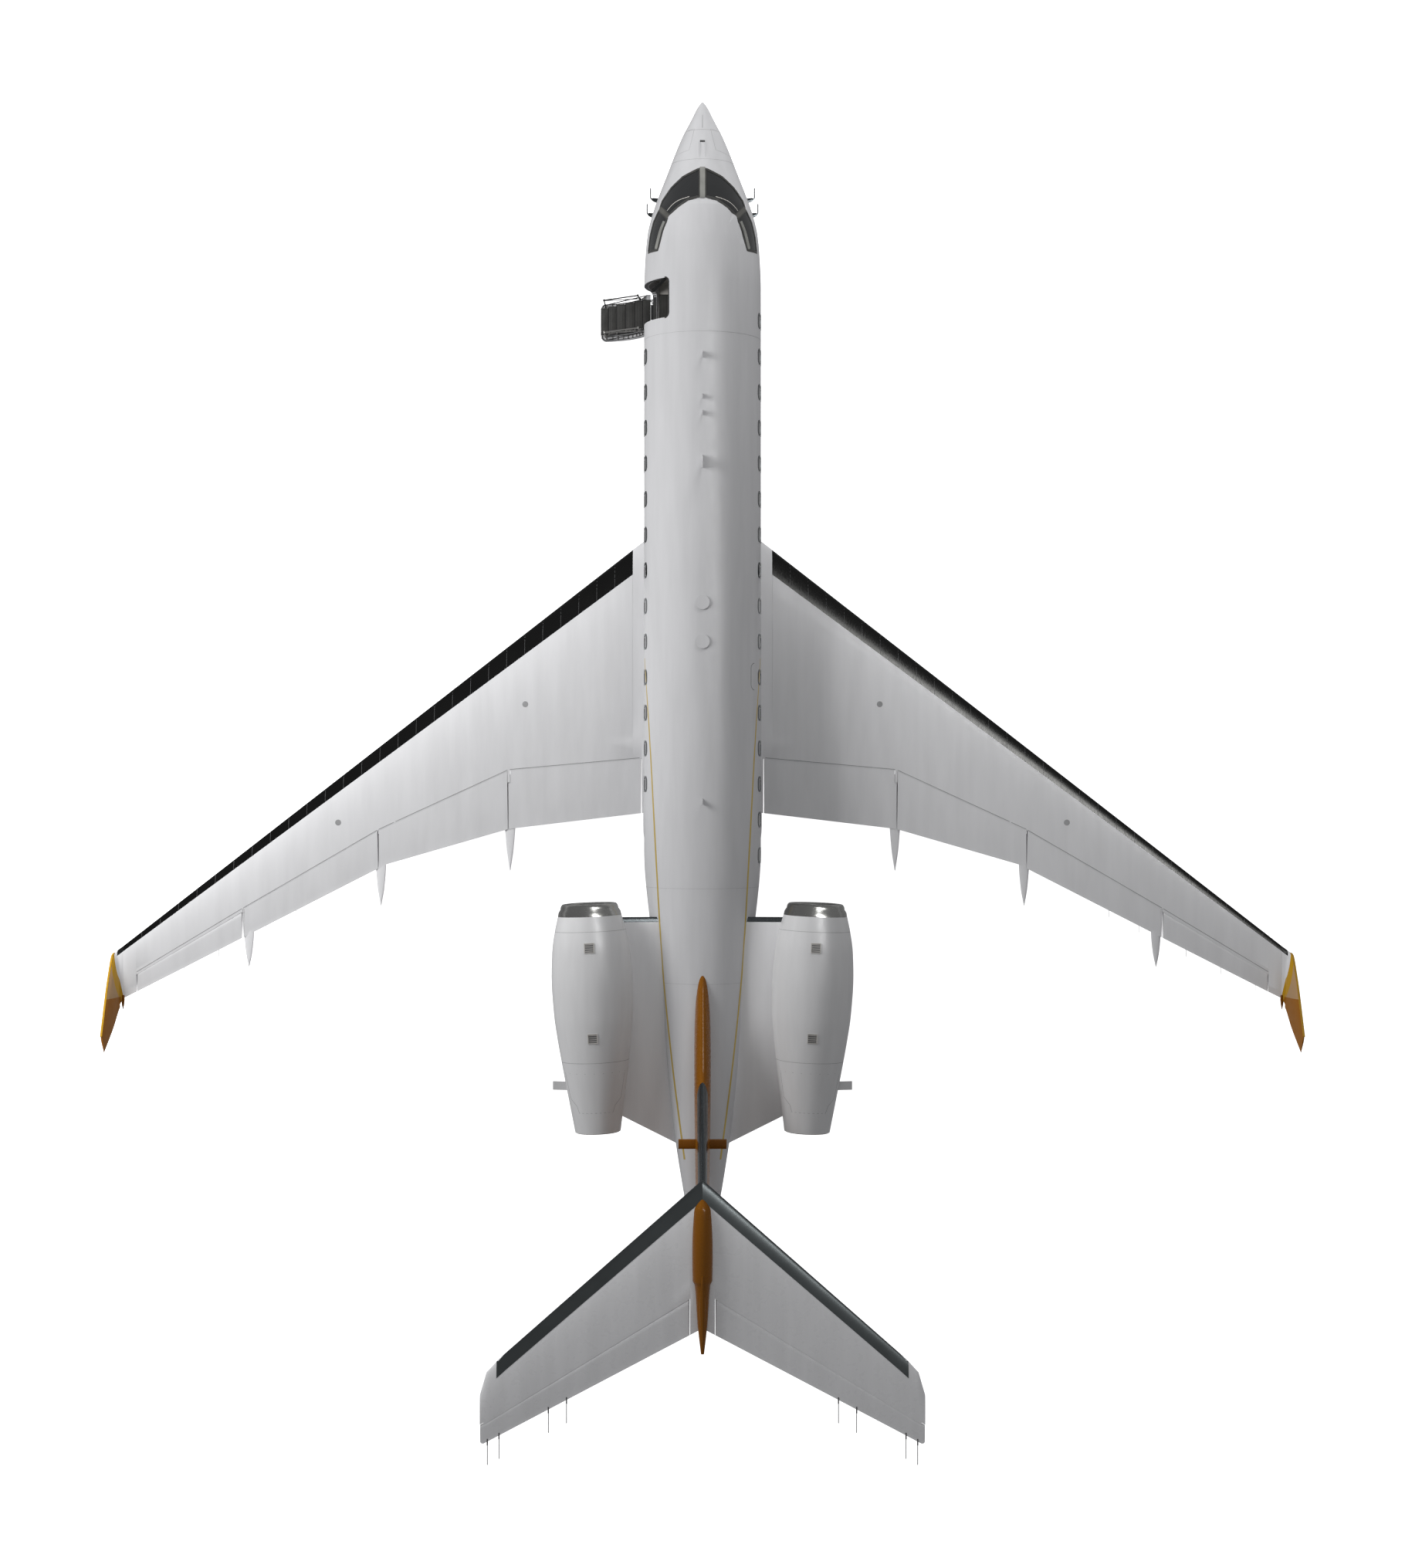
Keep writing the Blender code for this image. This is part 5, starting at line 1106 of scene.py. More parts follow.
def make_tail():
    """Stabilizer, fin, bullet, rudder and elevators."""
    places = spread((STAB_STUB_X + 0.002, 2.2, 4.38, 4.64, STAB_TIP), 4)
    halves = []
    for side in SIDES.values():
        half = [STAB.ring(side, x, STAB.nose(x), STAB.tail(x)) for x in spread((0.02, STAB_STUB_X), 3)]
        halves.append(half + [STAB.ring(side, x, STAB.nose(x), STAB.line(x)) for x in places])
    Form().loft(halves[0][::-1] + halves[1]).piece("stabilizer_skin", GREY_WHITE, node="stabilizer")
    places = spread((3.45, 3.75, 4.15, 4.60, 7.30), 4)
    rings = [FIN.ring(1, z, FIN.nose(z), FIN.line(z)) for z in places]
    Form().loft(rings).piece("fin_skin", BRONZE, node="fin")
    rings = []
    for y in spread([row[0] for row in BULLET], 6):
        half, rise = smooth(column(BULLET, 1), y), smooth(column(BULLET, 2), y)
        rings.append([(half * math.sin(a), y, BULLET_Z + rise * math.cos(a)) for a in turns(48, 0.5)])
    Form().loft(rings).piece("bullet_skin", BRONZE, node="bullet_fairing")
    rudder = Form().loft([FIN.hinged(1, z) for z in spread(RUDDER_Z, 3)])
    rudder.piece("rudder_skin", BRONZE, "rudder", node="rudder")
    for label, side in SIDES.items():
        body = f"elevator_{label}"
        rings = [STAB.hinged(side, x) for x in spread(ELEVATOR_X, 4)]
        rings += [STAB.hinged(side, x, cut, ELEVATOR_X[1]) for x, cut in ELEVATOR_TIP]
        Form().loft(rings).piece(f"elevator_skin_{label}", GREY_WHITE, body, node=body)
        rings = [STAB.plate(side, x, -0.06) for x in (STAB_STUB_X + 0.009, ELEVATOR_X[0] + 0.004)]
        Form().loft(rings).piece(f"elevator_plate_{label}", GREY_WHITE, body)


# Engines.


def nacelle_place(side):
    """The frame of one nacelle: its -Y axis runs aft from the inlet's centre."""
    x, y, z = INLET_CENTRE
    toe = math.atan2(x - EXIT_X, NACELLE_LENGTH)
    return Matrix.Translation((side * x, y, z)) @ Matrix.Rotation(-side * toe, 4, "Z")


def on_nacelle(place, along, angle):
    """A place on a nacelle at a distance aft and an angle in degrees, and the way out there."""
    angle = math.radians(angle)
    return turned_spot(place, along, smooth(NACELLE_OUTER, along), angle), place.to_3x3() @ outward(angle)


def smooth_profile(profile, steps):
    """A finer profile through the same points, which run aft."""
    return [(along, smooth(profile, along)) for along in spread([p[0] for p in profile], steps)]


def make_engine(label, side):
    """One engine: its inlet lip, cowl, core and fan, and the pylon that carries it."""
    place = nacelle_place(side)
    middle = (LIP_OUTER[0][1] + LIP_INNER[-1][1]) / 2 + 0.012
    bulge = (LIP_OUTER[2][1] - LIP_INNER[1][1]) / 2
    angles = [math.radians(angle) for angle in spread((-88, 88), 12)]
    lip = [(0.12 * (1 - math.cos(a)), middle + bulge * math.sin(a)) for a in angles]
    lip = [(0.28, LIP_INNER[0][1])] + lip + [(0.19, 0.7175), (0.28, LIP_OUTER[-1][1])]
    lip = Form().turned(lip, 96, place, True)
    lip.piece(f"inlet_lip_skin_{label}", CHROME, node=f"inlet_lip_{label}")
    cowl = Form().turned(smooth_profile(NACELLE_OUTER, 4) + NACELLE_INNER, 96, place, True)
    cowl.piece(f"nacelle_skin_{label}", NACELLE_WHITE, node=f"nacelle_{label}")
    core = Form().turned(ENGINE_PROFILE[:3] + smooth_profile(ENGINE_PROFILE[3:], 4), 64, place)
    core.piece(f"engine_core_{label}", BURNT_METAL, node=f"engine_{label}")
    make_fan(label, place)
    cuts = station_cuts([PYLON_LE_Y - 5.2 * (k / 26) ** 1.6 for k in range(1, 26)])
    refined(f"pylon_{label}", pylon_skin(side), WING_WHITE, cuts, reach=0.03)
    make_nacelle_seams(label, place)
    make_nacelle_vents(label, place)
    make_nacelle_parts(label, side, place)


def make_fan(label, place):
    """Twisted blades round a spinner with a spiral mark."""
    blades, body = Form(), f"fan_{label}"
    for start in turns(FAN_BLADES):
        rings = []
        for share in spread((0.0, 1.0), 6):
            radius = 0.18 + (FAN_RADIUS - 0.18) * share
            pitch = math.radians(24 + 38 * share)
            chord = 0.15 + 0.03 * share
            ring = []
            for across, thick in FAN_SECTION:
                offset, rise = across * chord, thick * chord
                turn = (offset * math.sin(pitch) + rise * math.cos(pitch)) / radius
                ahead = 0.9 * (offset * math.cos(pitch) - rise * math.sin(pitch))
                along = FAN_AT + FAN_DEPTH / 2 + ahead - 0.015 * share**2
                ring.append(turned_spot(place, along, radius, start + turn))
            rings.append(ring)
        blades.loft(rings)
    blades.piece(f"fan_blades_{label}", FAN_METAL, body, sharp=50, node=body)

    def on_spinner(share):
        return FAN_AT - SPINNER_LENGTH * (1 - share), SPINNER_RADIUS * math.sqrt(share) ** 1.3

    profile = [(FAN_AT - SPINNER_LENGTH, 0.006)] + [on_spinner(k / 9) for k in range(1, 10)]
    profile += [(FAN_AT + FAN_DEPTH - 0.02, SPINNER_RADIUS), (ENGINE_PROFILE[0][0] - 0.0003, 0.16)]
    Form().turned(profile, 64, place).piece(f"spinner_{label}", TRIM_DARK, body, "dark_metal")
    path = []
    for share, angle in zip(spread((0.15, 0.80), 24), spread((0.0, 2 * math.pi), 24)):
        normal = place.to_3x3() @ (outward(angle) + Vector((0, 0.6, 0)))
        path.append((turned_spot(place, *on_spinner(share), angle), normal.normalized()))
    Form().ribbon(path, 0.022, 0.003).piece(f"spinner_mark_{label}", WHITE, body)


def pylon_skin(side):
    """The pylon's true surface: its place and normal next to a point."""

    def height(x, y):
        chord = PYLON_LE_Y - straight(PYLON_TE, abs(x))
        return half_thickness((PYLON_LE_Y - y) / chord, chord, PYLON_THICKNESS / chord)

    def skin(point):
        x, y, z = point
        plane = straight(PYLON_Z, abs(x))
        way = 1 if z > plane else -1
        slope_x = (straight(PYLON_Z, abs(x) + 0.01) - plane) / 0.01 * side
        slope_y = (height(x, y + 0.01) - height(x, y - 0.01)) / 0.02
        normal = Vector((-slope_x * way, -slope_y, way)).normalized()
        return Vector((x, y, plane + way * height(x, y))), normal

    return skin


def make_nacelle_seams(label, place):
    """Seams round and along the nacelle, and the outlines of the reverser's doors."""
    seams = Form()

    def seam(corners, width=0.008, loop=True):
        route = [on_nacelle(place, along, angle) for along, angle in corners]
        seams.ribbon(route, width, 0.0012, 0.004, loop)

    for along in NACELLE_SEAMS:
        seam([(along, angle) for angle in spread((0.0, 360.0), 72)[:-1]])
    for middle in (0.0, 180.0):
        seam(along_corners([(along, middle + angle) for along, angle in REVERSER], 8))
    for angle in (100.0, 260.0):
        seam([(along, angle) for along in spread((NACELLE_SEAMS[0], 3.245), 7)], 0.006, False)
    seams.piece(f"nacelle_seams_{label}", SOFT_LINE)


def make_nacelle_vents(label, place):
    """Vents on top of the nacelle, with a rim and bars; a dark box fills each opening as painted shade of its
    inside.
    """
    vents, rims = Form(), Form()
    rim = VENT_HALF + 0.01
    for along in NACELLE_VENTS:
        spot, normal = on_nacelle(place, along, 0.0)
        before, after = (on_nacelle(place, along + way, 0.0)[0] for way in (-0.1, 0.1))
        ahead = (before - after).normalized()
        sideways = ahead.cross(normal).normalized()
        turn = Matrix((sideways, ahead, sideways.cross(ahead))).transposed().to_4x4()
        turn.translation = spot
        # The dark box fills the vent's opening: its dark is painted shade of the vent's inside.
        vents.box((-VENT_HALF, -VENT_HALF, -0.06), (VENT_HALF, VENT_HALF, 0.004), turn)
        corners = ((-rim, -rim), (rim, -rim), (rim, rim), (-rim, rim))
        rims.ribbon([(turn @ Vector((x, y, 0.004)), normal) for x, y in corners], 0.022, 0.006, 0.03, True)
        for y in spread((-0.072, 0.072), 3):
            rims.box((-VENT_HALF, y, 0.003), (VENT_HALF, y + 0.012, 0.007), turn)
    vents.piece(f"nacelle_vents_{label}", PANEL_LINE)
    rims.piece(f"nacelle_vent_rims_{label}", TRIM_LIGHT)


def make_nacelle_parts(label, side, place):
    """The tab outside the nacelle, the nozzle's edge, the stator and the pylon's edge."""
    root, tip = place @ Vector((side * 0.60, -4.20, 0.0)), Vector((side * 3.46, -7.96, 0.0))
    rings = []
    for share in (0.0, 0.5, 1.0):
        x, y, _ = root.lerp(tip, share)
        rings.append([(x, y + along, INLET_CENTRE[2] + up) for along, up in TAB_SECTION])
    Form().loft(rings).piece(f"nacelle_tab_{label}", NACELLE_WHITE)
    Form().turned(NOZZLE_EDGE, 72, place, True).piece(f"nozzle_edge_{label}", BURNT_METAL)
    stator = Form()
    for angle in turns(STATOR_VANES):
        stator.loft([
            [turned_spot(place, along, radius, angle + turn) for along, turn in VANE_SECTION]
            for radius in (0.20, 0.42, 0.622)
        ])
    stator.piece(f"stator_vanes_{label}", DARK_METAL)
    rings = []
    for x in spread((0.66, 1.95), 6):
        plane, tail = straight(PYLON_Z, x), straight(PYLON_TE, x)

        def spot(along, height, x=x, plane=plane):
            return Vector((side * x, along, plane + height))

        ratio = PYLON_THICKNESS / (PYLON_LE_Y - tail)
        rings.append(edge_ring(spot, PYLON_LE_Y, tail, ratio, 0.11, 0.003, 0.004))
    Form().loft(rings).piece(f"pylon_edge_{label}", EDGE_METAL)


# Fine parts on the fuselage, the tail and the wings.


def stripe_path(side):
    """The stripe's route over the crown, read from the photograph and laid on the fuselage."""
    places = []
    for px, py in reversed(STRIPE_PIXELS):
        height = 3.0
        for _ in range(4):
            x, y = from_photo(px, py, height)
            height = on_hull_top(x, y)[0].z
        places.append((y, abs(x)))
    stations = spread((places[0][0], places[-1][0]), STRIPE_STEPS)
    return [on_hull_top(side * smooth(places, y), y) for y in stations]


def crown_route(corners, loop=True):
    """A route over the crown through plan corners."""
    return [on_hull_top(x, y) for x, y in along_corners(corners, 6, loop)]


def make_lines():
    """Stripes, seams and hatch outlines on the fuselage."""
    for label, side in SIDES.items():
        stripe = Form().ribbon(stripe_path(side), STRIPE_WIDTH, 0.0015, 0.003)
        stripe.piece(f"stripe_{label}", GOLD)
    seams = Form()
    for width, places in ((0.006, NOSE_SEAMS), (0.004, HULL_SEAMS)):
        for y in places:
            route = [on_hull(y, math.radians(angle)) for angle in spread((-178.0, 178.0), 96)]
            seams.ribbon(route, width, 0.0012, 0.003)
    for side in SIDES.values():
        seams.ribbon(crown_route([(side * x, y) for x, y in HATCH]), 0.006, 0.0012, 0.003, True)
    seams.ribbon(crown_route([(0.0, 14.80), (0.0, 14.45)], False), 0.012, 0.0012, 0.003)
    seams.piece("hull_seams", SOFT_LINE)
    y = WINDOW_FIRST_Y - WINDOW_PITCH * EXIT_WINDOW
    outline = rounded_outline(0.62, 0.96, 0.12)
    path = [on_hull_side(SIDES["right"], y + a, 2.655 + up) for a, up in outline]
    Form().ribbon(path, 0.012, 0.0015, loop=True).piece("exit_outline", PANEL_LINE)
    path = []
    for across, up in rounded_outline(DOOR_FORWARD - DOOR_AFT + 0.02, DOOR_HEIGHT + 0.02, DOOR_CORNER):
        angle = math.radians(DOOR_MIDDLE_ANGLE - 90) + up / HULL_RADIUS
        path.append(on_hull(DOOR_MIDDLE + across, angle))
    Form().ribbon(path, 0.030, 0.002, 0.030, loop=True).piece("doorway_seal", SEAL)


def make_crown():
    """Antennas, domes, the nose scoop, probes and static ports."""
    blades = Form()
    for y, chord in BLADE_ANTENNAS:
        blades.blade(*on_hull_top(0.0, y), chord, chord * 1.15)
    for y, chord in BELLY_ANTENNAS:
        blades.blade(hull_spot(y, math.pi), Vector(DOWN), chord, chord * 1.1)
    blades.piece("blade_antennas", WHITE)
    for number, y in enumerate(DOMES):
        place = Matrix.Translation(on_hull_top(0.0, y)[0]) @ Matrix.Rotation(math.radians(-90), 4, "X")
        profile = [(0.02, DOME_RADIUS)]
        for angle in spread((0.0, math.pi / 2), 8):
            profile.append((-0.022 * math.sin(angle), max(0.002, DOME_RADIUS * math.cos(angle))))
        Form().turned(profile, 40, place).piece(f"crown_dome_{number}", WHITE)
    scoop = Form()
    for x0, x1 in ((-0.075, -0.060), (0.060, 0.075)):
        rings = []
        for y, lift in ((13.68, 0.0054), (13.80, 0.018), (14.00, 0.018), (14.12, 0.0054)):
            z = on_hull_top((x0 + x1) / 2, y)[0].z
            rings.append([(x0, y, z - 0.01), (x1, y, z - 0.01), (x1, y, z + lift), (x0, y, z + lift)])
        scoop.loft(rings)
    scoop.piece("nose_scoop_sides", WHITE)
    slot = Form().ribbon(crown_route([(-0.062, 14.09), (0.062, 14.09)], False), 0.055, 0.0012, 0.003)
    slot.piece("nose_scoop_slot", TRIM_DARK)
    for label, side in SIDES.items():
        probes, ports = Form(), Form()
        out = Vector((side, 0.25, 0)).normalized()
        for y, z, reach, ahead in PROBES:
            base, _ = on_hull_side(side, y, z)
            elbow = base + out * reach
            route = [base - out * 0.03, elbow, elbow + Vector(AHEAD) * ahead]
            probes.tube(rounded_route(route, 0.04), 0.014, 10)
            probes.blade(base - out * 0.01, out, 0.12, reach * 0.9, 0.0, 0.2)
        probes.piece(f"air_probes_{label}", EDGE_METAL)
        for y, z in STATIC_PORTS:
            place = facing(*on_hull_side(side, y, z), "Y")
            ports.turned([(0.01, 0.05), (-0.004, 0.05), (-0.006, 0.044)], 20, place)
        ports.piece(f"static_ports_{label}", CHROME)


def make_fin_parts():
    """The blade bar across the fin, its edge band and the bullet's ridge."""
    y, z, half = FIN_BLADE["y"], FIN_BLADE["z"], FIN_BLADE["chord"] / 2
    section = [(y + half * math.cos(a), z + 0.018 * math.sin(a)) for a in turns(16)]
    bars = Form()
    for side in SIDES.values():
        bars.prism(section, [side * x for x in FIN_BLADE_X])
    bars.piece("fin_blades", BRONZE)
    rings = []
    for z in spread((4.60, 7.28), 24):
        reach = 0.075 * (FIN.nose(z) - FIN.tail(z))
        rings.append(edge_ring(FIN.spot(1, z), *FIN.values(z), reach, 0.0025, 0.003))
    Form().loft(rings).piece("fin_edge_band", EDGE_METAL)
    rings = []
    for share in spread((0.0, 1.0), 12):
        y = -11.50 - 1.45 * share
        top = BULLET_Z + smooth(column(BULLET, 2), y)
        width = 0.075 * math.sin(math.pi * (0.12 + 0.80 * share))
        rings.append([(width * across, y, top + up) for across, up in RIDGE_SECTION])
    Form().loft(rings).piece("bullet_ridge", BRONZE)


def make_stab_bands(label, side):
    """The dark polished leading edge and the static wicks of one side of the stabilizer."""
    rings = []
    for x, reach in zip(spread((0.0, 4.42), 24), spread((0.42, 0.35), 24)):
        rings.append(edge_ring(STAB.spot(side, x), *STAB.values(x), reach, 0.003, 0.004, 9))
    Form().loft(rings).piece(f"stab_edge_band_{label}", STAB_METAL)
    wicks = Form()
    for x in WICK_X:
        spot, tail = STAB.spot(side, x), STAB.tail(x)
        wicks.tube([spot(tail + 0.05, 0.0), spot(tail - 0.50, 0.0)], 0.009, 8)
        wicks.tube([spot(tail + 0.06, 0.0), spot(tail - 0.08, 0.0)], 0.015, 8)
    wicks.piece(f"stab_wicks_{label}", TRIM_DARK, f"elevator_{label}")


def make_wing_parts(label, side):
    """Slat joints, fuel caps, grey lines of painted shade along the hinge gaps, and static wicks of one wing.
    """
    joints, caps, seams = Form(), Form(), Form()
    for x in spread((SLAT_START_X, WING_TIP_X), 28)[1:-1]:
        nose, depth = WING.nose(x), straight(SLAT_DEPTH, x) - 0.01
        path = [on_wing(side, x, nose - 0.004 - depth * (k / 6) ** 1.6) for k in range(7)]
        joints.ribbon(path, 0.006, 0.001, 0.003)
    joints.piece(f"slat_joints_{label}", PANEL_LINE)
    for spot in FUEL_CAPS:
        place = facing(*on_wing(side, *spot), "Y")
        caps.turned([(0.01, 0.07), (-0.0015, 0.07), (-0.002, 0.062)], 24, place)
    caps.piece(f"fuel_caps_{label}", SOFT_LINE, slot="light_trim")
    # Grey lines just ahead of the hinge lines: painted shade of the gaps under the lips.
    for ends in HINGE_SHADE_LINES:
        for upper in (True, False):
            path = [on_wing(side, x, WING.line(x) + 0.014, upper) for x in spread(ends, 8)]
            seams.ribbon(path, 0.014, 0.0012, 0.003)
    seams.piece(f"flap_gap_shade_{label}", SOFT_LINE)
    for name, body, places in WING_WICKS:
        wicks = Form()
        for x in places:
            spot, tail = WING.spot(side, x), WING.tail(x)
            wicks.tube([spot(tail + 0.04, 0.0), spot(tail - 0.16, 0.0)], 0.005, 6)
        wicks.piece(f"{name}_wicks_{label}", TRIM_DARK, f"{body}_{label}")


def make_winglet_trim(label, side):
    """The gold line along the winglet's leading edge, and the blunt tail of its root."""
    rings = winglet_rings(side)
    path = []
    for ring in rings[8:]:
        spot = ring[len(ring) // 2]
        path.append((spot, (spot - sum(ring, Vector()) / len(ring)).normalized()))
    Form().ribbon(path, 0.050, 0.004, 0.012).piece(f"winglet_edge_{label}", GOLD_EDGE)
    root = rings[1][0] - Vector((side * 0.004, 0, 0))
    tail = [
        [root + Vector((wide * math.cos(a), along, high * math.sin(a))) for a in turns(12)]
        for along, wide, high in WINGLET_TAIL
    ]
    Form().loft(tail).piece(f"winglet_tail_{label}", BRONZE)


# Windshield.

# Strips on the windshield: route in plan, width, height over the skin, finish.
WINDSHIELD_STRIPS = [
    ("window_bar", [(-1.00, 12.425), (-0.90, 12.29), (-0.79, 12.15)], 0.10, 0.002, BAR_GREY),
    ("window_shade", [(-1.09, 11.44), (-0.99, 11.82), (-0.89, 12.06)], 0.105, -0.006, SPECKLED),
    (
        "window_line", [(-0.826, 12.31), (-0.70, 12.44), (-0.575, 12.52), (-0.307, 12.60)],
        0.018, -0.005, TRIM_LIGHT,
    ),
]


def fine_outline(points, side, step=0.06):
    """An outline's points with finer ones between, mirrored to one side."""
    out = []
    for (x0, y0), (x1, y1) in zip(points, points[1:] + points[:1]):
        parts = max(1, round(math.hypot(x1 - x0, y1 - y0) / step))
        out += [(-side * (x0 + (x1 - x0) * k / parts), y0 + (y1 - y0) * k / parts) for k in range(parts)]
    return out


def make_windshield():
    """The panes with their frames and strips, and the post between the two sides."""
    for label, side in SIDES.items():
        for kind, points in PANES.items():
            outline = fine_outline(points, side)
            mid_x, mid_y = (sum(values) / len(values) for values in zip(*outline))
            rings = []
            for depth, scale in FRONT_PANE:
                places = [(mid_x + (x - mid_x) * scale, mid_y + (y - mid_y) * scale) for x, y in outline]
                rings.append([on_hull_top(x, y)[0] - Vector((0, 0, depth)) for x, y in places])
            Form().loft(rings).piece(f"{kind}_pane_{label}", GLASS, node=f"{kind}_{label}")
            edge = Form().ribbon([on_hull_top(x, y) for x, y in outline], 0.060, 0.003, 0.020, True)
            edge.piece(f"{kind}_frame_{label}", FRAME_DARK)
        for name, points, width, lift, finish in WINDSHIELD_STRIPS:
            numbers = list(range(len(points)))
            path = []
            for t in spread(numbers, 4):
                x, y = (smooth(list(zip(numbers, values)), t) for values in zip(*points))
                spot, normal = on_hull_top(-side * x, y)
                path.append((spot + normal * lift, normal))
            strip = Form().ribbon(path, width, 0.003, 0.003)
            strip.piece(f"{name}_{label}", finish, slot="dark_trim")
    path = [on_hull_top(0.0, y) for y in spread((12.56, 13.40), 10)]
    Form().ribbon(path, 0.12, 0.005).piece("windshield_post", SPECKLED, slot="light_trim")


# Airstair.


def stair_turn():
    """The turn that opens the door from where it lies in the fuselage's wall."""
    hinge = Matrix.Translation(STAIR_HINGE)
    return hinge @ Matrix.Rotation(math.radians(-STAIR_OPEN_ANGLE), 4, "Y") @ hinge.inverted()


def on_open_door(radius, angle, y):
    """A place on the open door, from its radius and angle when it is shut."""
    turn = math.radians(angle)
    shut = Vector((-radius * math.cos(turn), y, HULL_CENTRE_Z + radius * math.sin(turn)))
    return stair_turn() @ shut


def make_stair_steps():
    """The step block on the door with its treads, grips, nosings and stringers."""
    arc = [on_open_door(DOOR_SEAT - 0.0003, angle, 0.0) for angle in spread((-22, 53), 28)]
    steps = []
    for k, height in enumerate(STEP_HEIGHTS):
        steps += [(x, height - TREAD_THICKNESS) for x in STEP_EDGES[k:k + 2]]
    outline = steps + [(p.x, p.z) for p in arc if p.z < 1.32]
    ends = (STEP_AFT + 0.015, STEP_FORWARD - 0.015)
    block = Form().loft([[(x, y, z) for x, z in outline] for y in ends])
    block.piece("stair_block", STEP_BODY, "airstair", node="airstair_steps")
    treads, grips, noses = Form(), Form(), Form()
    for k, height in enumerate(STEP_HEIGHTS):
        outer, inner = STEP_EDGES[k:k + 2]
        low, rings = height - TREAD_THICKNESS, []
        for y, cut in (
            (STEP_AFT, 0.004), (STEP_AFT + 0.006, 0.0), (STEP_FORWARD - 0.006, 0.0), (STEP_FORWARD, 0.004)
        ):
            rings.append([
                (outer - 0.010 + cut, y, low + cut), (inner - 0.002, y, low + cut),
                (inner - 0.002, y, height - cut), (outer - 0.006 + cut, y, height - cut),
                (outer - 0.010 + cut, y, height - 0.004 - cut),
            ])
        treads.loft(rings)
        aft, forward = STEP_AFT + 0.03, STEP_FORWARD - 0.03
        for x in spread((outer + 0.018, inner - 0.018), max(2, round((inner - outer) / 0.028)) - 1):
            grips.box((x - 0.005, aft, height - 0.002), (x + 0.005, forward, height + 0.002))
        aft, forward = STEP_AFT + 0.002, STEP_FORWARD - 0.002
        noses.box((outer - 0.012, aft, height - 0.006), (outer + 0.004, forward, height + 0.0015))
        for above in STEP_HEIGHTS[k + 1:k + 2]:
            for y in (STEP_AFT + 0.16, (STEP_AFT + STEP_FORWARD) / 2, STEP_FORWARD - 0.16):
                noses.box((inner - 0.004, y - 0.05, above - 0.08), (inner + 0.002, y + 0.05, above - 0.068))
    treads.piece("stair_treads", TREAD, "airstair")
    grips.piece("stair_grips", GRIP, "airstair")
    noses.piece("stair_nosings", GLARE, "airstair")
    top = Form().box((-1.339, STEP_AFT + 0.02, 1.5640), (-1.239, STEP_FORWARD - 0.02, 1.5700))
    top.piece("stair_top_tread", TREAD, "airstair")
    bar = Form().tube([STAIR_HINGE + Vector((0, y, 0)) for y in (10.085, 10.435)], 0.034, 24)
    bar.piece("stair_hinge_bar", RAIL_DARK, "airstair")
    stringers = Form()
    for y, way in ((STEP_AFT, -1), (STEP_FORWARD, 1)):
        path = [(Vector((x - 0.004, y + way * 0.002, z - 0.010)), Vector((0, way, 0))) for x, z in steps[:-2]]
        stringers.ribbon(path, 0.022, 0.006, 0.012)
    stringers.piece("stair_stringers", SATIN_TRIM, "airstair", sharp=20)


def make_stair_rails():
    """A looped rail and its stay on each side of the steps."""
    for name, y, inside, finish in (
        ("aft", DOOR_AFT + 0.075, STEP_AFT + 0.05, SATIN_TRIM),
        ("forward", DOOR_FORWARD - 0.075, STEP_FORWARD - 0.05, RAIL_DARK),
    ):
        route = [(x, y, z) for x, z in (RAIL_BASE, RAIL_APEX, RAIL_HEAD, RAIL_FOOT)]
        (x0, z0), (x1, z1) = RAIL_BASE, RAIL_FOOT
        route = [(x0, inside, z0)] + route + [(x1, inside, z1)]
        rail = Form().tube(rounded_route(route, 0.07), RAIL_RADIUS, 14)
        rail.tube([(RAIL_APEX[0] + 0.002, y, RAIL_APEX[1] - 0.06), (x1, y, z1 + 0.05)], 0.010, 12)
        for x, z in (RAIL_APEX, RAIL_HEAD, RAIL_FOOT):
            rail.tube([(x, y - 0.024, z), (x, y + 0.024, z)], 0.024, 14)
        way = 1 if inside > y else -1
        for x, z in (RAIL_BASE, RAIL_FOOT):
            place = Matrix.Translation((x, inside - way * 0.075, z))
            if way > 0:
                place = place @ Matrix.Rotation(math.pi, 4, "Z")
            flange = [(0.0, 0.020), (0.0, 0.034), (0.008, 0.036), (0.020, 0.028), (0.045, 0.021)]
            rail.turned(flange, 20, place)
        rail.piece(f"stair_rail_{name}", finish, "airstair", "light_trim")


def make_door_inside():
    """The ribbed frame inside the open door, its lip and the seal round its edge."""
    ribs, lip, seal = Form(), Form(), Form()
    seat = DOOR_SEAT - 0.0005
    section = ((0.004, -0.7), (0.004, 0.7), (-0.022, 0.45), (-0.022, -0.45))
    for ends in ((DOOR_AFT + 0.016, STEP_AFT - 0.006), (STEP_FORWARD + 0.006, DOOR_FORWARD - 0.016)):
        for angle in spread((-14, 48), 9):
            ribs.loft([[on_open_door(seat + deep, angle + turn, y) for deep, turn in section] for y in ends])
        for y in (ends[0] + 0.008, ends[1] - 0.008):
            lip.tube([on_open_door(seat - 0.020, angle, y) for angle in spread((-17, 50), 24)], 0.008, 10)
    path = []
    for across, up in rounded_outline(DOOR_FORWARD - DOOR_AFT - 0.06, DOOR_HEIGHT - 0.10, DOOR_CORNER - 0.03):
        out, _ = wall_ways(up)
        spot = on_open_door(seat, DOOR_MIDDLE_ANGLE + math.degrees(up / HULL_RADIUS), DOOR_MIDDLE + across)
        path.append((spot, -(stair_turn().to_3x3() @ out).normalized()))
    seal.ribbon(path, 0.022, 0.010, 0.006, loop=True)
    ribs.piece("door_ribs", SATIN_TRIM, "airstair", sharp=20)
    lip.piece("door_lip_rails", RAIL_DARK, "airstair")
    seal.piece("door_seal", SEAL, "airstair")


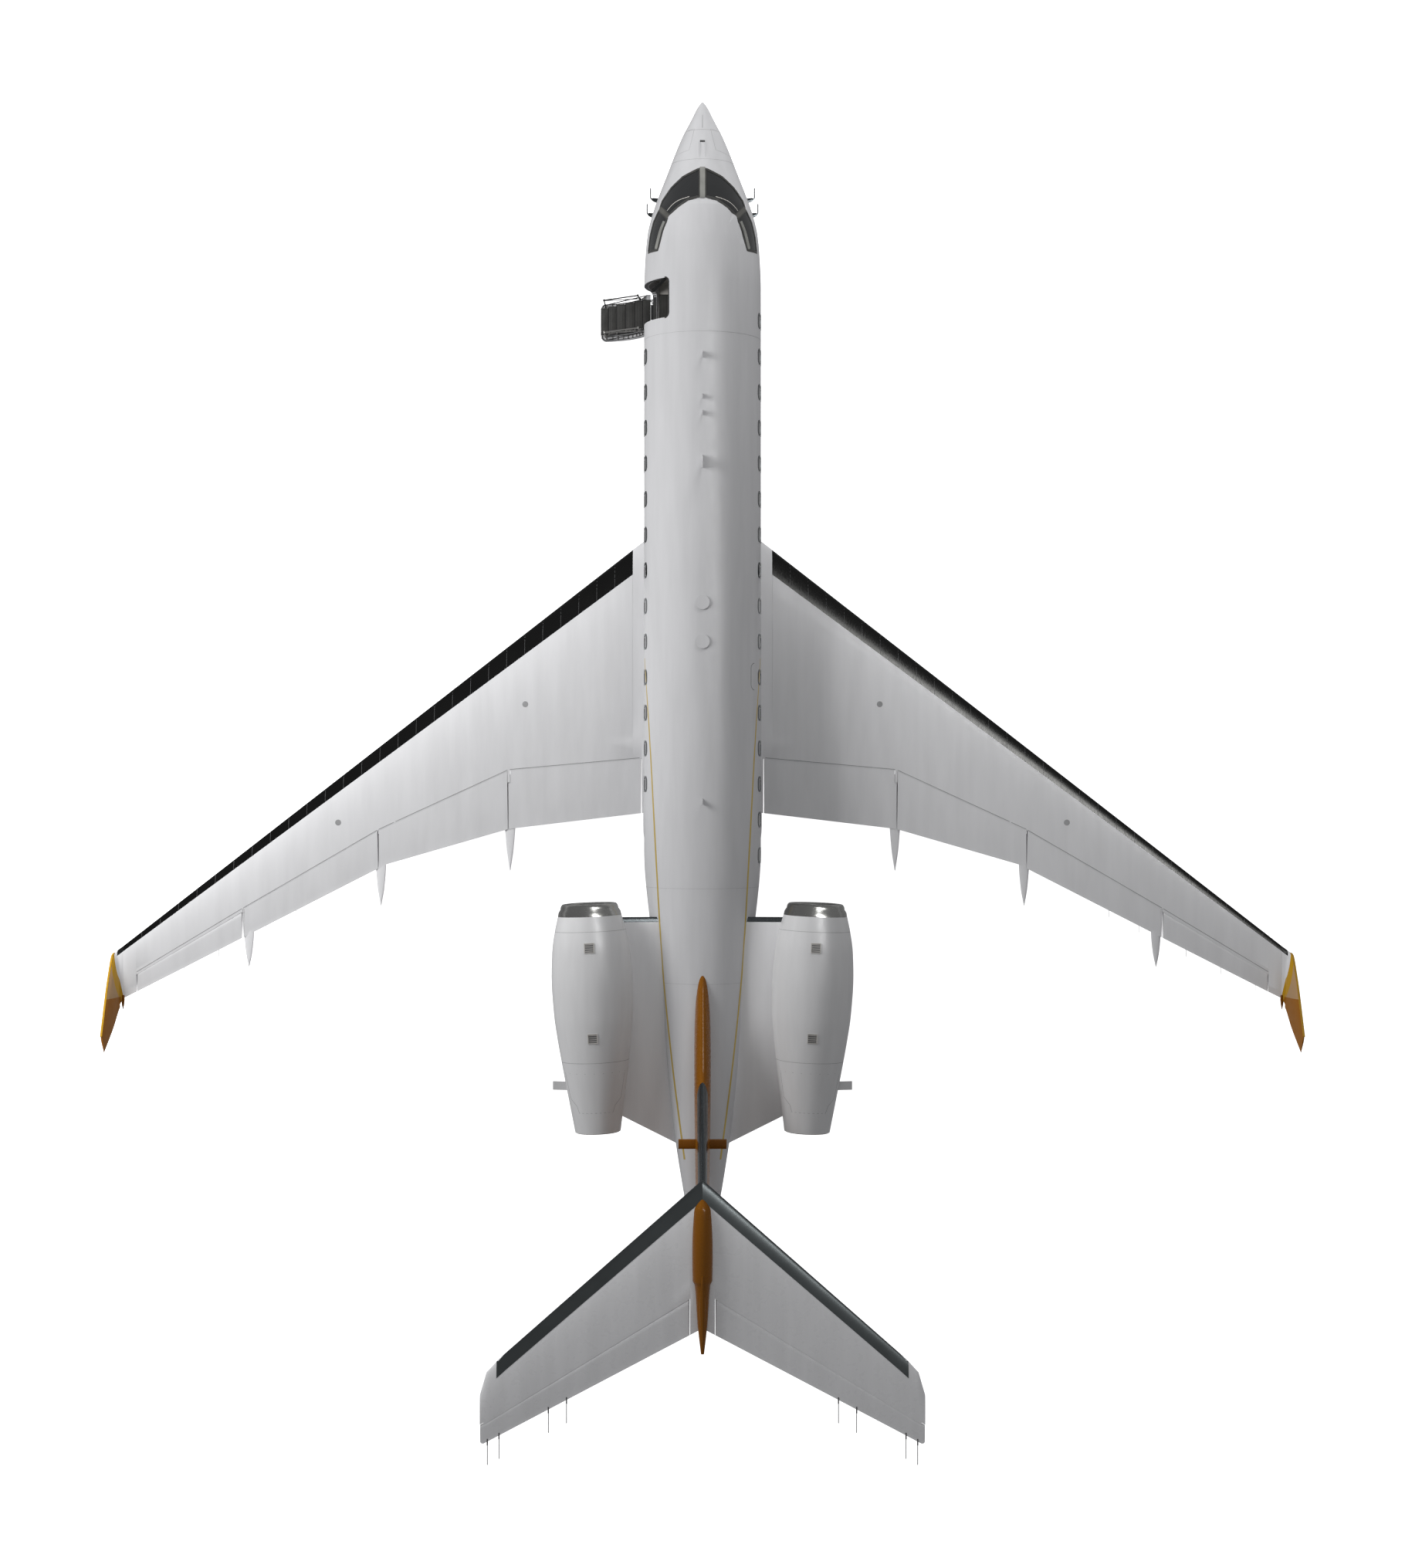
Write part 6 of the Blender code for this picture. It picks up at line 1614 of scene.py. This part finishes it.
def wall_ways(up):
    """The ways out of and up the fuselage's wall at a height over the doorway's middle."""
    turn = math.radians(DOOR_MIDDLE_ANGLE) + up / HULL_RADIUS
    return Vector((-math.cos(turn), 0, math.sin(turn))), Vector((math.sin(turn), 0, math.cos(turn)))


def make_doorway():
    """The dark liner and ribbed seal of the doorway's edge, its sill and the mat inside."""
    outline = rounded_outline(DOOR_FORWARD - DOOR_AFT, DOOR_HEIGHT, DOOR_CORNER, 8)
    path = []
    for (across, up), before, after in zip(outline, outline[-1:] + outline, outline[1:] + outline[:1]):
        out, rise = wall_ways(up)
        spot = Vector((0, DOOR_MIDDLE + across, HULL_CENTRE_Z)) + out * (HULL_RADIUS - 0.052)
        edge = Vector((0, after[0] - before[0], 0)) + rise * (after[1] - before[1])
        inward = edge.cross(out).normalized()
        if inward.dot(Vector((0, -across, 0)) - rise * up) < 0:
            inward = -inward
        path.append((spot, inward))
    Form().ribbon(path, 0.094, 0.002, 0.002, loop=True).piece("doorway_liner", SEAL)
    ribs, sill, grips = Form(), Form(), Form()
    section = ((-0.006, 0.0), (0.006, 0.0), (0.004, 0.0045), (-0.004, 0.0045))
    for share in spread((-0.40, 0.43), 39):
        out, rise = wall_ways(share * DOOR_HEIGHT)
        for y, way in ((DOOR_FORWARD, -1), (DOOR_AFT, 1)):
            middle = Vector((0, y, HULL_CENTRE_Z))
            ribs.loft([
                [middle + out * reach + rise * up + Vector((0, way * deep, 0)) for up, deep in section]
                for reach in (HULL_RADIUS - 0.092, HULL_RADIUS - 0.012)
            ])
    ribs.piece("doorway_ribs", RAIL_DARK, sharp=20)
    low, high = Vector((-1.172, 0, 1.6445)), Vector((-1.096, 0, 1.690))
    lift = Vector((low.z - high.z, 0, high.x - low.x)).normalized() * 0.003
    corners = (low, high, high + lift, low + lift)
    sill.loft([[corner + Vector((0, y, 0)) for corner in corners] for y in (10.03, 10.49)])
    rings = []
    for z, cut in ((FLOOR_TOP, 0.0), (1.646, 0.0), (1.649, 0.006)):
        x0, x1, y0, y1 = -1.02 + cut, -0.66 - cut, 9.84 + cut, 10.68 - cut
        rings.append([(x0, y0, z), (x1, y0, z), (x1, y1, z), (x0, y1, z)])
    sill.loft(rings)
    for x in spread((-0.995, -0.685), 8):
        grips.box((x - 0.006, 9.87, 1.647), (x + 0.006, 10.65, 1.651))
    sill.piece("sill_tread", TREAD)
    grips.piece("sill_grips", GRIP)
    Form().box((-1.06, 9.84, FLOOR_TOP), (-1.03, 10.68, 1.655)).piece("sill_edge", SATIN_TRIM)


def make_airstair():
    cuts = axis_cuts(HULL_CENTRE_Z, HULL_SIDES)
    refined("airstair_door", hull_skin, WHITE, cuts, body="airstair", turn=stair_turn().inverted())
    make_stair_steps()
    make_stair_rails()
    make_door_inside()
    make_doorway()


# Landing gear.


def tyre_section(size):
    """A tyre's section as (across, radius): bead, bulged wall, shoulder and a grooved crown."""
    half, rim = size["width"] / 2, size["rim"]
    crown = []
    for groove in (0.54, 0.20):
        for offset, deep in TYRE_GROOVE:
            u = groove + offset
            crown.append((u, 1.0 - 0.055 * (u / 0.74) ** 2.4 - 0.035 * deep))
    section = [(half * u, rim + (size["radius"] - rim) * v) for u, v in TYRE_WALL + crown + [(0.0, 1.0)]]
    return section + [(-a, r) for a, r in reversed(section[:-1])]


def make_wheels(name, body, x, y, size, tyres, hub):
    """Tyres, rims, bolts and the axle of a pair of wheels; tyres are (node, way from the leg)."""
    half, rim, offset, axle = size["width"] / 2, size["rim"], size["offset"], size["radius"]
    rims, bolts = Form(), Form()
    bolt = [(0, 0.05 * rim), (0.12 * half, 0.05 * rim), (0.16 * half, 0.03 * rim)]
    plug = [(0, 0.085 * rim), (0.07 * half, 0.085 * rim), (0.06 * half, 0.06 * rim), (0.0, 0.055 * rim)]
    for node, way in tyres:
        place = Matrix.Translation((x + way * offset, y, axle)) @ Matrix.Rotation(math.pi / 2, 4, "Z")
        tyre = Form().turned(tyre_section(size), 96, place, True)
        tyre.piece(f"{node}_moulded", RUBBER, body, sharp=32, node=node)
        rims.turned([(way * half * u, rim * v) for u, v in RIM_SHAPE][::way], 64, place)
        for angle in turns(10):
            start = turned_spot(place, way * half * 0.28, 0.50 * rim, angle)
            bolts.spun(bolt, start, (way, 0, 0), 6)
            start = turned_spot(place, way * half * 0.33, 0.72 * rim, angle + math.pi / 10)
            bolts.spun(plug, start, (way, 0, 0), 16)
    rims.spun([(0, 0.044), (2 * offset, 0.044)], (x - offset, y, axle), (1, 0, 0))
    rims.piece(f"{name}_rims", WHEEL_METAL, body, node=hub)
    bolts.piece(f"{name}_bolts", STEEL, body)


def link_rings(start, end, wide, narrow, depth=0.014):
    """Rings of a tapered flat link between two places, wide across X at its start."""
    start, end = Vector(start), Vector(end)
    up = (end - start).normalized().cross(Vector((1, 0, 0))).normalized() * depth
    rings = []
    for share, half in ((0.0, wide), (0.12, wide), (0.9, narrow), (1.0, narrow)):
        spot, across = start.lerp(end, share), Vector((half, 0, 0))
        rings.append([spot - across - up, spot + across - up, spot + across + up, spot - across + up])
    return rings


def make_main_gear(label, side):
    """One main leg with its brace, piston, links, brakes, rigid brake pipes and door."""
    x, y = side * MAIN_GEAR[0], MAIN_GEAR[1]
    axle = MAIN_TYRE["radius"]
    tyres = [(f"main_tyre_inner_{label}", -side), (f"main_tyre_outer_{label}", side)]
    make_wheels(f"main_{label}", f"main_wheels_{label}", x, y, MAIN_TYRE, tyres, f"main_hub_{label}")
    leg, links, brakes, pipes = Form(), Form(), Form(), Form()
    leg.spun([
        (0, 0.090), (0.004, 0.100), (0.26, 0.100), (0.27, 0.110), (0.34, 0.110), (0.35, 0.100),
        (0.54, 0.100), (0.55, 0.113), (0.615, 0.113), (0.62, 0.108), (0.622, 0.065),
    ], (x, y, 1.60), DOWN, 48)
    leg.tube([(x - side * 0.04, y, 1.10), (x - side * 0.34, y, 1.36), (x - side * 0.62, y, 1.60)], 0.036, 20)
    cuff = [(0, 0.04), (0, 0.054), (0.10, 0.054), (0.11, 0.04)]
    leg.spun(cuff, (x - side * 0.06, y, 1.12), (-side * 0.58, 0, 0.50), 20)
    for z in (1.10, 1.34):
        leg.tube([(x + side * 0.05, y - 0.06, z), (x + side * 0.465, y - 0.06, z)], 0.018, 14)
    leg.piece(f"main_leg_{label}", GEAR_PAINT, node=f"main_gear_leg_{label}")
    piston = Form().spun([(0, 0.058), (0.42, 0.058)], (x, y, 1.0), DOWN, 40)
    piston.piece(f"main_piston_{label}", CHROME)
    foot = [(0, 0.060), (0.004, 0.072), (0.05, 0.072), (0.16, 0.064), (0.18, 0.05)]
    links.spun(foot, (x, y, 0.68), DOWN)
    lug = [(0.045, 0.05), (0.045, 0.082), (0.038, 0.088)]
    lug = [(-along, radius) for along, radius in lug] + lug[::-1]
    links.spun(lug, (x, y, axle), (1, 0, 0), 40)
    for back, z in ((0.095, 1.02), (0.06, 0.60)):
        links.loft(link_rings((x, y - back, z), (x, y - 0.235, 0.80), 0.052, 0.022))
    for half, back, z, radius in ((0.05, 0.235, 0.80, 0.018), (0.062, 0.09, 1.02, 0.022)):
        links.tube([(x - half, y - back, z), (x + half, y - back, z)], radius, 16)
    links.piece(f"main_links_{label}", DARK_METAL)
    drum = [(0, 0.10), (0, 0.155), (0.008, 0.160), (0.055, 0.160), (0.063, 0.152), (0.063, 0.10)]
    for way in (-1, 1):
        start = x + way * 0.047
        brakes.spun(drum, (start, y, axle), (way, 0, 0), 48)
        for angle in turns(6):
            spot = (start, y + 0.125 * math.cos(angle), axle + 0.125 * math.sin(angle))
            brakes.spun([(-0.02, 0.022), (-0.022, 0.018), (0.03, 0.018)], spot, (way, 0, 0), 14)
    brakes.piece(f"main_brakes_{label}", BURNT_METAL)
    for across in (-0.03, 0.03):
        route = [(x + across, y + ahead, z) for ahead, z in ((0.115, 1.36), (0.125, 1.0), (0.15, 0.82))]
        route.append((x + across * 1.5, y + 0.09, 0.58))
        pipes.tube(rounded_route(route, 0.12), 0.007, 10)
    pipes.piece(f"brake_pipes_{label}", RAIL_DARK)
    outline = rounded_outline(0.55, 0.62, 0.05)
    x0, x1 = sorted((side * 2.490, side * 2.507))
    rings = []
    for share, scale in ((0.0, 0.992), (0.25, 1.0), (0.75, 1.0), (1.0, 0.992)):
        at = x0 + (x1 - x0) * share
        rings.append([(at, y + 0.175 + across * scale, 1.29 + up * scale) for across, up in outline])
    Form().loft(rings).piece(f"main_door_{label}", WHITE)


def make_nose_gear():
    """The nose leg with its lamps, piston and steering fork, and the two small doors."""
    y, axle = NOSE_GEAR_Y, NOSE_TYRE["radius"]
    tyres = [("nose_tyre_left", -1), ("nose_tyre_right", 1)]
    make_wheels("nose", "nose_wheels", 0.0, y, NOSE_TYRE, tyres, "nose_hub")
    leg, lamps, lenses, fork = Form(), Form(), Form(), Form()
    leg.spun([
        (0, 0.070), (0.004, 0.075), (0.30, 0.075), (0.31, 0.090), (0.37, 0.090), (0.38, 0.075),
        (0.60, 0.075), (0.61, 0.086), (0.674, 0.086), (0.678, 0.055),
    ], (0, y, 1.30), DOWN, 40)
    jack = [(0, 0.02), (0.004, 0.032), (0.13, 0.032), (0.134, 0.018), (0.17, 0.016)]
    for way in (-1, 1):
        leg.tube([(way * 0.035, y + 0.03, 0.95), (way * 0.09, y + 0.60, 1.34)], 0.020, 16)
        leg.spun(jack, (way * 0.112, y - 0.09, 0.80), AHEAD, 20)
    leg.piece("nose_leg", GEAR_PAINT, node="nose_gear_leg")
    bowl = [(0, 0.02), (0.01, 0.055), (0.055, 0.068), (0.062, 0.068), (0.060, 0.060), (0.052, 0.058)]
    for way in (-1, 1):
        spot = (way * 0.10, y + 0.05, 0.93)
        lamps.spun(bowl, spot, AHEAD, 28)
        lenses.spun([(0.050, 0.058), (0.056, 0.050), (0.060, 0.02)], spot, AHEAD, 28)
        lamps.tube([(0, y + 0.05, 0.93), (way * 0.07, y + 0.07, 0.93)], 0.012, 12)
    lamps.piece("taxi_lamps", DARK_METAL)
    lenses.piece("taxi_lenses", LAMP_GLASS)
    piston = Form().spun([(0, 0.049), (0.20, 0.049)], (0, y, 0.617), DOWN, 36)
    piston.piece("nose_piston", CHROME, "nose_steering")
    fork.spun([(0, 0.05), (0.004, 0.068), (0.034, 0.068), (0.038, 0.05)], (0, y, 0.612), DOWN)
    fork.spun([(0, 0.052), (0.004, 0.060), (0.06, 0.060), (0.15, 0.045)], (0, y, 0.44), DOWN, 28)
    lug = [(-0.044, 0.05), (-0.044, 0.060), (0.044, 0.060), (0.044, 0.05)]
    fork.spun(lug, (0, y, axle), (1, 0, 0))
    for back, z in ((0.065, 0.595), (0.05, 0.36)):
        fork.loft(link_rings((0, y - back, z), (0, y - 0.155, 0.475), 0.034, 0.016, 0.009))
    fork.tube([(-0.034, y - 0.155, 0.475), (0.034, y - 0.155, 0.475)], 0.012, 14)
    fork.box((-0.044, y, 0.33), (0.044, y + 0.075, 0.39))
    fork.piece("nose_fork", DARK_METAL, "nose_steering", node="nose_gear_fork")
    for label, side in SIDES.items():
        rings = []
        for share in spread((0.0, 1.0), 24):
            at = 11.65 + 0.90 * share
            low = 0.72 + 0.07 * max(0.0, 1 - min(share, 1 - share) * 0.90 / 0.07) ** 2
            high = hull_spot(at, math.pi - side * math.asin(0.3075 / hull_values(at)[0])).z + 0.01
            rings.append([
                (side * 0.300, at, low + 0.003), (side * 0.3075, at, low), (side * 0.315, at, low + 0.003),
                (side * 0.315, at, high), (side * 0.300, at, high),
            ])
        Form().loft(rings).piece(f"nose_door_{label}", WHITE)
        rods = Form()
        for at in (11.9, 12.35):
            rods.tube([(side * 0.06, y, 1.02), (side * 0.18, at, 1.0), (side * 0.302, at, 0.90)], 0.010, 10)
        rods.piece(f"nose_door_rods_{label}", DARK_METAL)


# Inside.


def cushion(name, size, place, crown, corner=0.05, node=None):
    """A crowned pad with rounded edges and a piped seam, lying in a frame of its own."""
    pad = Form()
    bmesh.ops.create_cube(pad.bm, size=1.0)
    bmesh.ops.subdivide_edges(pad.bm, edges=pad.bm.edges[:], cuts=11, use_grid_fill=True)
    half = [value / 2 for value in size]
    for vert in pad.bm.verts:
        spot = Vector([2 * value * h for value, h in zip(vert.co, half)])
        core = Vector([max(corner - h, min(h - corner, value)) for value, h in zip(spot, half)])
        way = spot - core
        if way.length > 1e-9:
            spot = core + way.normalized() * min(corner, way.length)
        u, v = spot.x / half[0], spot.y / half[1]
        pull = 1 - 0.03 * (1 - u * u) * (1 - v * v) - 0.02 * math.cos(math.pi * spot.z / size[2])
        if spot.z > 0:
            spot.z += crown * (1 - u**4) * (1 - v**4) - 0.010 * math.exp(-((abs(u) - 0.34) / 0.05) ** 2)
        spot.x *= pull
        vert.co = spot
    pad.bm.transform(place)
    pad.piece(name, LEATHER, sharp=None, node=node)
    up, high = place.to_3x3() @ Vector((0, 0, 1)), half[2] - corner * 0.45
    outline = rounded_outline(size[0] - 0.01, size[1] - 0.01, corner, 5)
    path = [(place @ Vector((x, y, high)), up) for x, y in outline]
    Form().ribbon(path, 0.010, 0.006, 0.012, True).piece(f"{name}_piping", TRIM_DARK)


def make_seats():
    """The two cockpit seats."""
    lean = Matrix.Rotation(math.radians(102), 4, "X")
    for label, side in SIDES.items():
        x = side * 0.38
        node = "cockpit_seats" if label == "left" else None
        place = Matrix.Translation((x, 12.03, 2.165))
        cushion(f"seat_cushion_{label}", (0.50, 0.50, 0.13), place, 0.022, node=node)
        place = Matrix.Translation((x, 11.745, 2.53)) @ lean
        cushion(f"seat_back_{label}", (0.48, 0.58, 0.12), place, 0.020)
        place = Matrix.Translation((x, 11.655, 2.835)) @ lean
        cushion(f"seat_headrest_{label}", (0.26, 0.15, 0.09), place, 0.012, 0.035)
        seat = Form()
        seat.prism([(11.70, 2.05), (12.26, 2.05), (12.22, 2.10), (11.72, 2.10)], (x - 0.22, x + 0.22))
        seat.prism([(11.80, 1.642), (12.12, 1.642), (12.06, 2.05), (11.86, 2.05)], (x - 0.13, x + 0.13))
        for at in (x - 0.265, x + 0.265):
            route = [(at, 11.74, 2.18), (at, 11.72, 2.40), (at, 12.06, 2.42)]
            seat.tube(rounded_route(route, 0.06), 0.022)
        seat.piece(f"seat_frame_{label}", TRIM_DARK)


def make_cockpit():
    """Seats, pedestal, panel and glareshield, seen through the windshield."""
    make_seats()
    rings = []
    for y, top in ((11.75, 2.10), (11.80, 2.16), (12.40, 2.22), (12.66, 2.22), (12.72, 2.20)):
        low, edge = 1.642, top - 0.02
        section = ((-0.15, low), (0.15, low), (0.15, edge), (0.13, top), (-0.13, top), (-0.15, edge))
        rings.append([(x, y, z) for x, z in section])
    pedestal = Form().loft(rings)
    knob = [(0, 0.008), (0.004, 0.020), (0.03, 0.020), (0.036, 0.008)]
    for x in spread((-0.075, 0.075), 3):
        pedestal.tube([(x, 12.30, 2.20), (x, 12.33, 2.33)], 0.009, 10)
        pedestal.spun(knob, (x, 12.325, 2.31), (0, 0.22, 1), 16)
    pedestal.piece("pedestal", TRIM_DARK)
    rings = []
    for x in spread((-0.88, 0.88), 32):
        outer = abs(x) / 0.88
        droop, back = 0.10 * outer**3, 12.60 - 0.20 * outer**2
        front = min(13.10, 13.22 - 0.75 * outer**2)
        section = [(back, 2.700), (back - 0.012, 2.722), (back, 2.742), (front, 2.800), (front, 2.770)]
        rings.append([(x, y, z - droop) for y, z in section])
    Form().loft(rings).piece("glareshield", GLARE)
    shells, displays = Form(), Form()
    for x in (-0.62, -0.24, 0.24, 0.62):
        top, base = Vector((x, 12.785, 2.33)), Vector((x, 12.845, 2.02))
        up = (top - base).normalized()
        out = Vector((0, -up.z, up.y))
        for form, half, lift, margin in ((shells, 0.155, 0.022, 0.0), (displays, 0.138, 0.025, 0.018)):
            low, high, across = base + up * margin, top - up * margin, Vector((half, 0, 0))
            corners = (low - across, low + across, high + across, high - across)
            form.loft([[corner + out * depth for corner in corners] for depth in (-0.02, lift)])
    shells.piece("display_shells", TRIM_DARK)
    displays.piece("displays", CABIN_GLASS)
    right = [(0.90, FLOOR_TOP), (0.90, 1.645), (0.89, 1.648)]
    section = [(-0.90, FLOOR_TOP)] + right + [(-x, z) for x, z in right[:0:-1]]
    carpet = Form().loft([[(x, y, z) for x, z in section] for y in spread((-3.20, 0.0, 5.0, 9.30), 6)])
    carpet.piece("cabin_carpet", CARPET)


def make_lips():
    """Lips over the gaps ahead of the hinged surfaces, and the plates between them."""
    for label, side in SIDES.items():
        plates = Form().loft([WING.plate(side, x, 0.05) for x in RIB_PLATE_X])
        rings = []
        for x in RIB_PATCH_X:
            patch = [on_wing(side, x, y) for y in RIB_PATCH_Y]
            ring = [spot - normal * 0.001 for spot, normal in patch]
            rings.append(ring + [spot - normal * 0.004 for spot, normal in reversed(patch)])
        plates.loft(rings).piece(f"wing_rib_plates_{label}", WING_WHITE)
        lips = Form()
        STAB.lips(lips, side, spread((0.26, 2.2, 4.38, 4.70), 5), STAB.lip_reach)
        lips.piece(f"elevator_lips_{label}", GREY_WHITE)
        lips = Form()
        WING.lips(lips, side, spread((10.83, AILERON_END_X - 0.003), 6), WING.lip_reach)
        WING.lips(lips, side, spread((1.46, 4.60, 7.65, 10.82), 5), lambda x: 0.0095)
        lips.piece(f"wing_lips_{label}", WING_WHITE)
    lips = Form()
    FIN.lips(lips, 1, spread((3.84, 4.6, 7.10), 6), lambda z: FIN.lip_reach(z) * 0.8)
    lips.piece("rudder_lips", BRONZE)


# Camera, lights and floor.


def make_floor():
    """A pale floor that the camera sees, and that lights nothing by reflection."""
    form = Form()
    corners = ((-1, -1), (1, -1), (1, 1), (-1, 1))
    form.bm.faces.new([form.bm.verts.new((x * FLOOR_HALF, y * FLOOR_HALF, 0.0)) for x, y in corners])
    mesh = bpy.data.meshes.new("floor")
    form.bm.to_mesh(mesh)
    form.bm.free()
    floor = bpy.data.objects.new("floor", mesh)
    bpy.context.scene.collection.objects.link(floor)
    glow = {"Emission_Color": (1.0, 1.0, 1.0, 1.0), "Emission_Strength": 0.95}
    mesh.materials.append(shader("floor_pale", (0.86, 0.86, 0.86), 0.85, **glow))
    floor.visible_diffuse = False
    floor.visible_glossy = False


def make_stage():
    """The camera, the floor, the world and the lights."""
    scene = bpy.context.scene
    camera = bpy.data.cameras.new("camera")
    camera.lens = LENS
    camera.sensor_width = 36.0
    camera.clip_end = 500.0
    holder = bpy.data.objects.new("camera", camera)
    holder.location = CAMERA_SPOT
    scene.collection.objects.link(holder)
    scene.camera = holder
    scene.view_settings.view_transform = "Standard"
    make_floor()
    world = bpy.data.worlds.new("studio")
    world.use_nodes = True
    background = world.node_tree.nodes["Background"].inputs
    background["Color"].default_value = (0.98, 0.985, 1.0, 1.0)
    background["Strength"].default_value = WORLD_STRENGTH
    scene.world = world
    for name, (spot, target, along, length, width, power, taken_by) in LIGHTS.items():
        light = bpy.data.lights.new(name, "AREA")
        light.energy = power
        light.shape = "RECTANGLE"
        light.size = length
        light.size_y = width
        lamp = bpy.data.objects.new(name, light)
        back = (Vector(spot) - Vector(target)).normalized()
        side_way = (Vector(along) - back * back.dot(Vector(along))).normalized()
        turn = Matrix((side_way, back.cross(side_way), back)).transposed()
        lamp.matrix_world = Matrix.Translation(spot) @ turn.to_4x4()
        lamp.visible_camera = False
        lamp.visible_diffuse = taken_by == "matt"
        lamp.visible_glossy = taken_by == "gloss"
        scene.collection.objects.link(lamp)


def dress_nodes():
    """A finish for every CAD node that shows as it is."""
    for row in frame["record"]["subparts"]:
        materials = frame["nodes"][row["node"]].data.materials
        materials.clear()
        materials.append(FINISHES[row["material_slot"]][0])


def main():
    dress_nodes()
    make_stage()
    make_hull()
    make_windows()
    for label, side in SIDES.items():
        make_wing(label, side)
        make_flaps(label, side)
        make_aileron(label, side)
        make_winglet(label, side)
        make_wing_parts(label, side)
        make_winglet_trim(label, side)
        make_engine(label, side)
        make_stab_bands(label, side)
    make_tail()
    make_lines()
    make_crown()
    make_fin_parts()
    make_windshield()
    make_airstair()
    for label, side in SIDES.items():
        make_main_gear(label, side)
    make_nose_gear()
    make_cockpit()
    make_lips()


main()
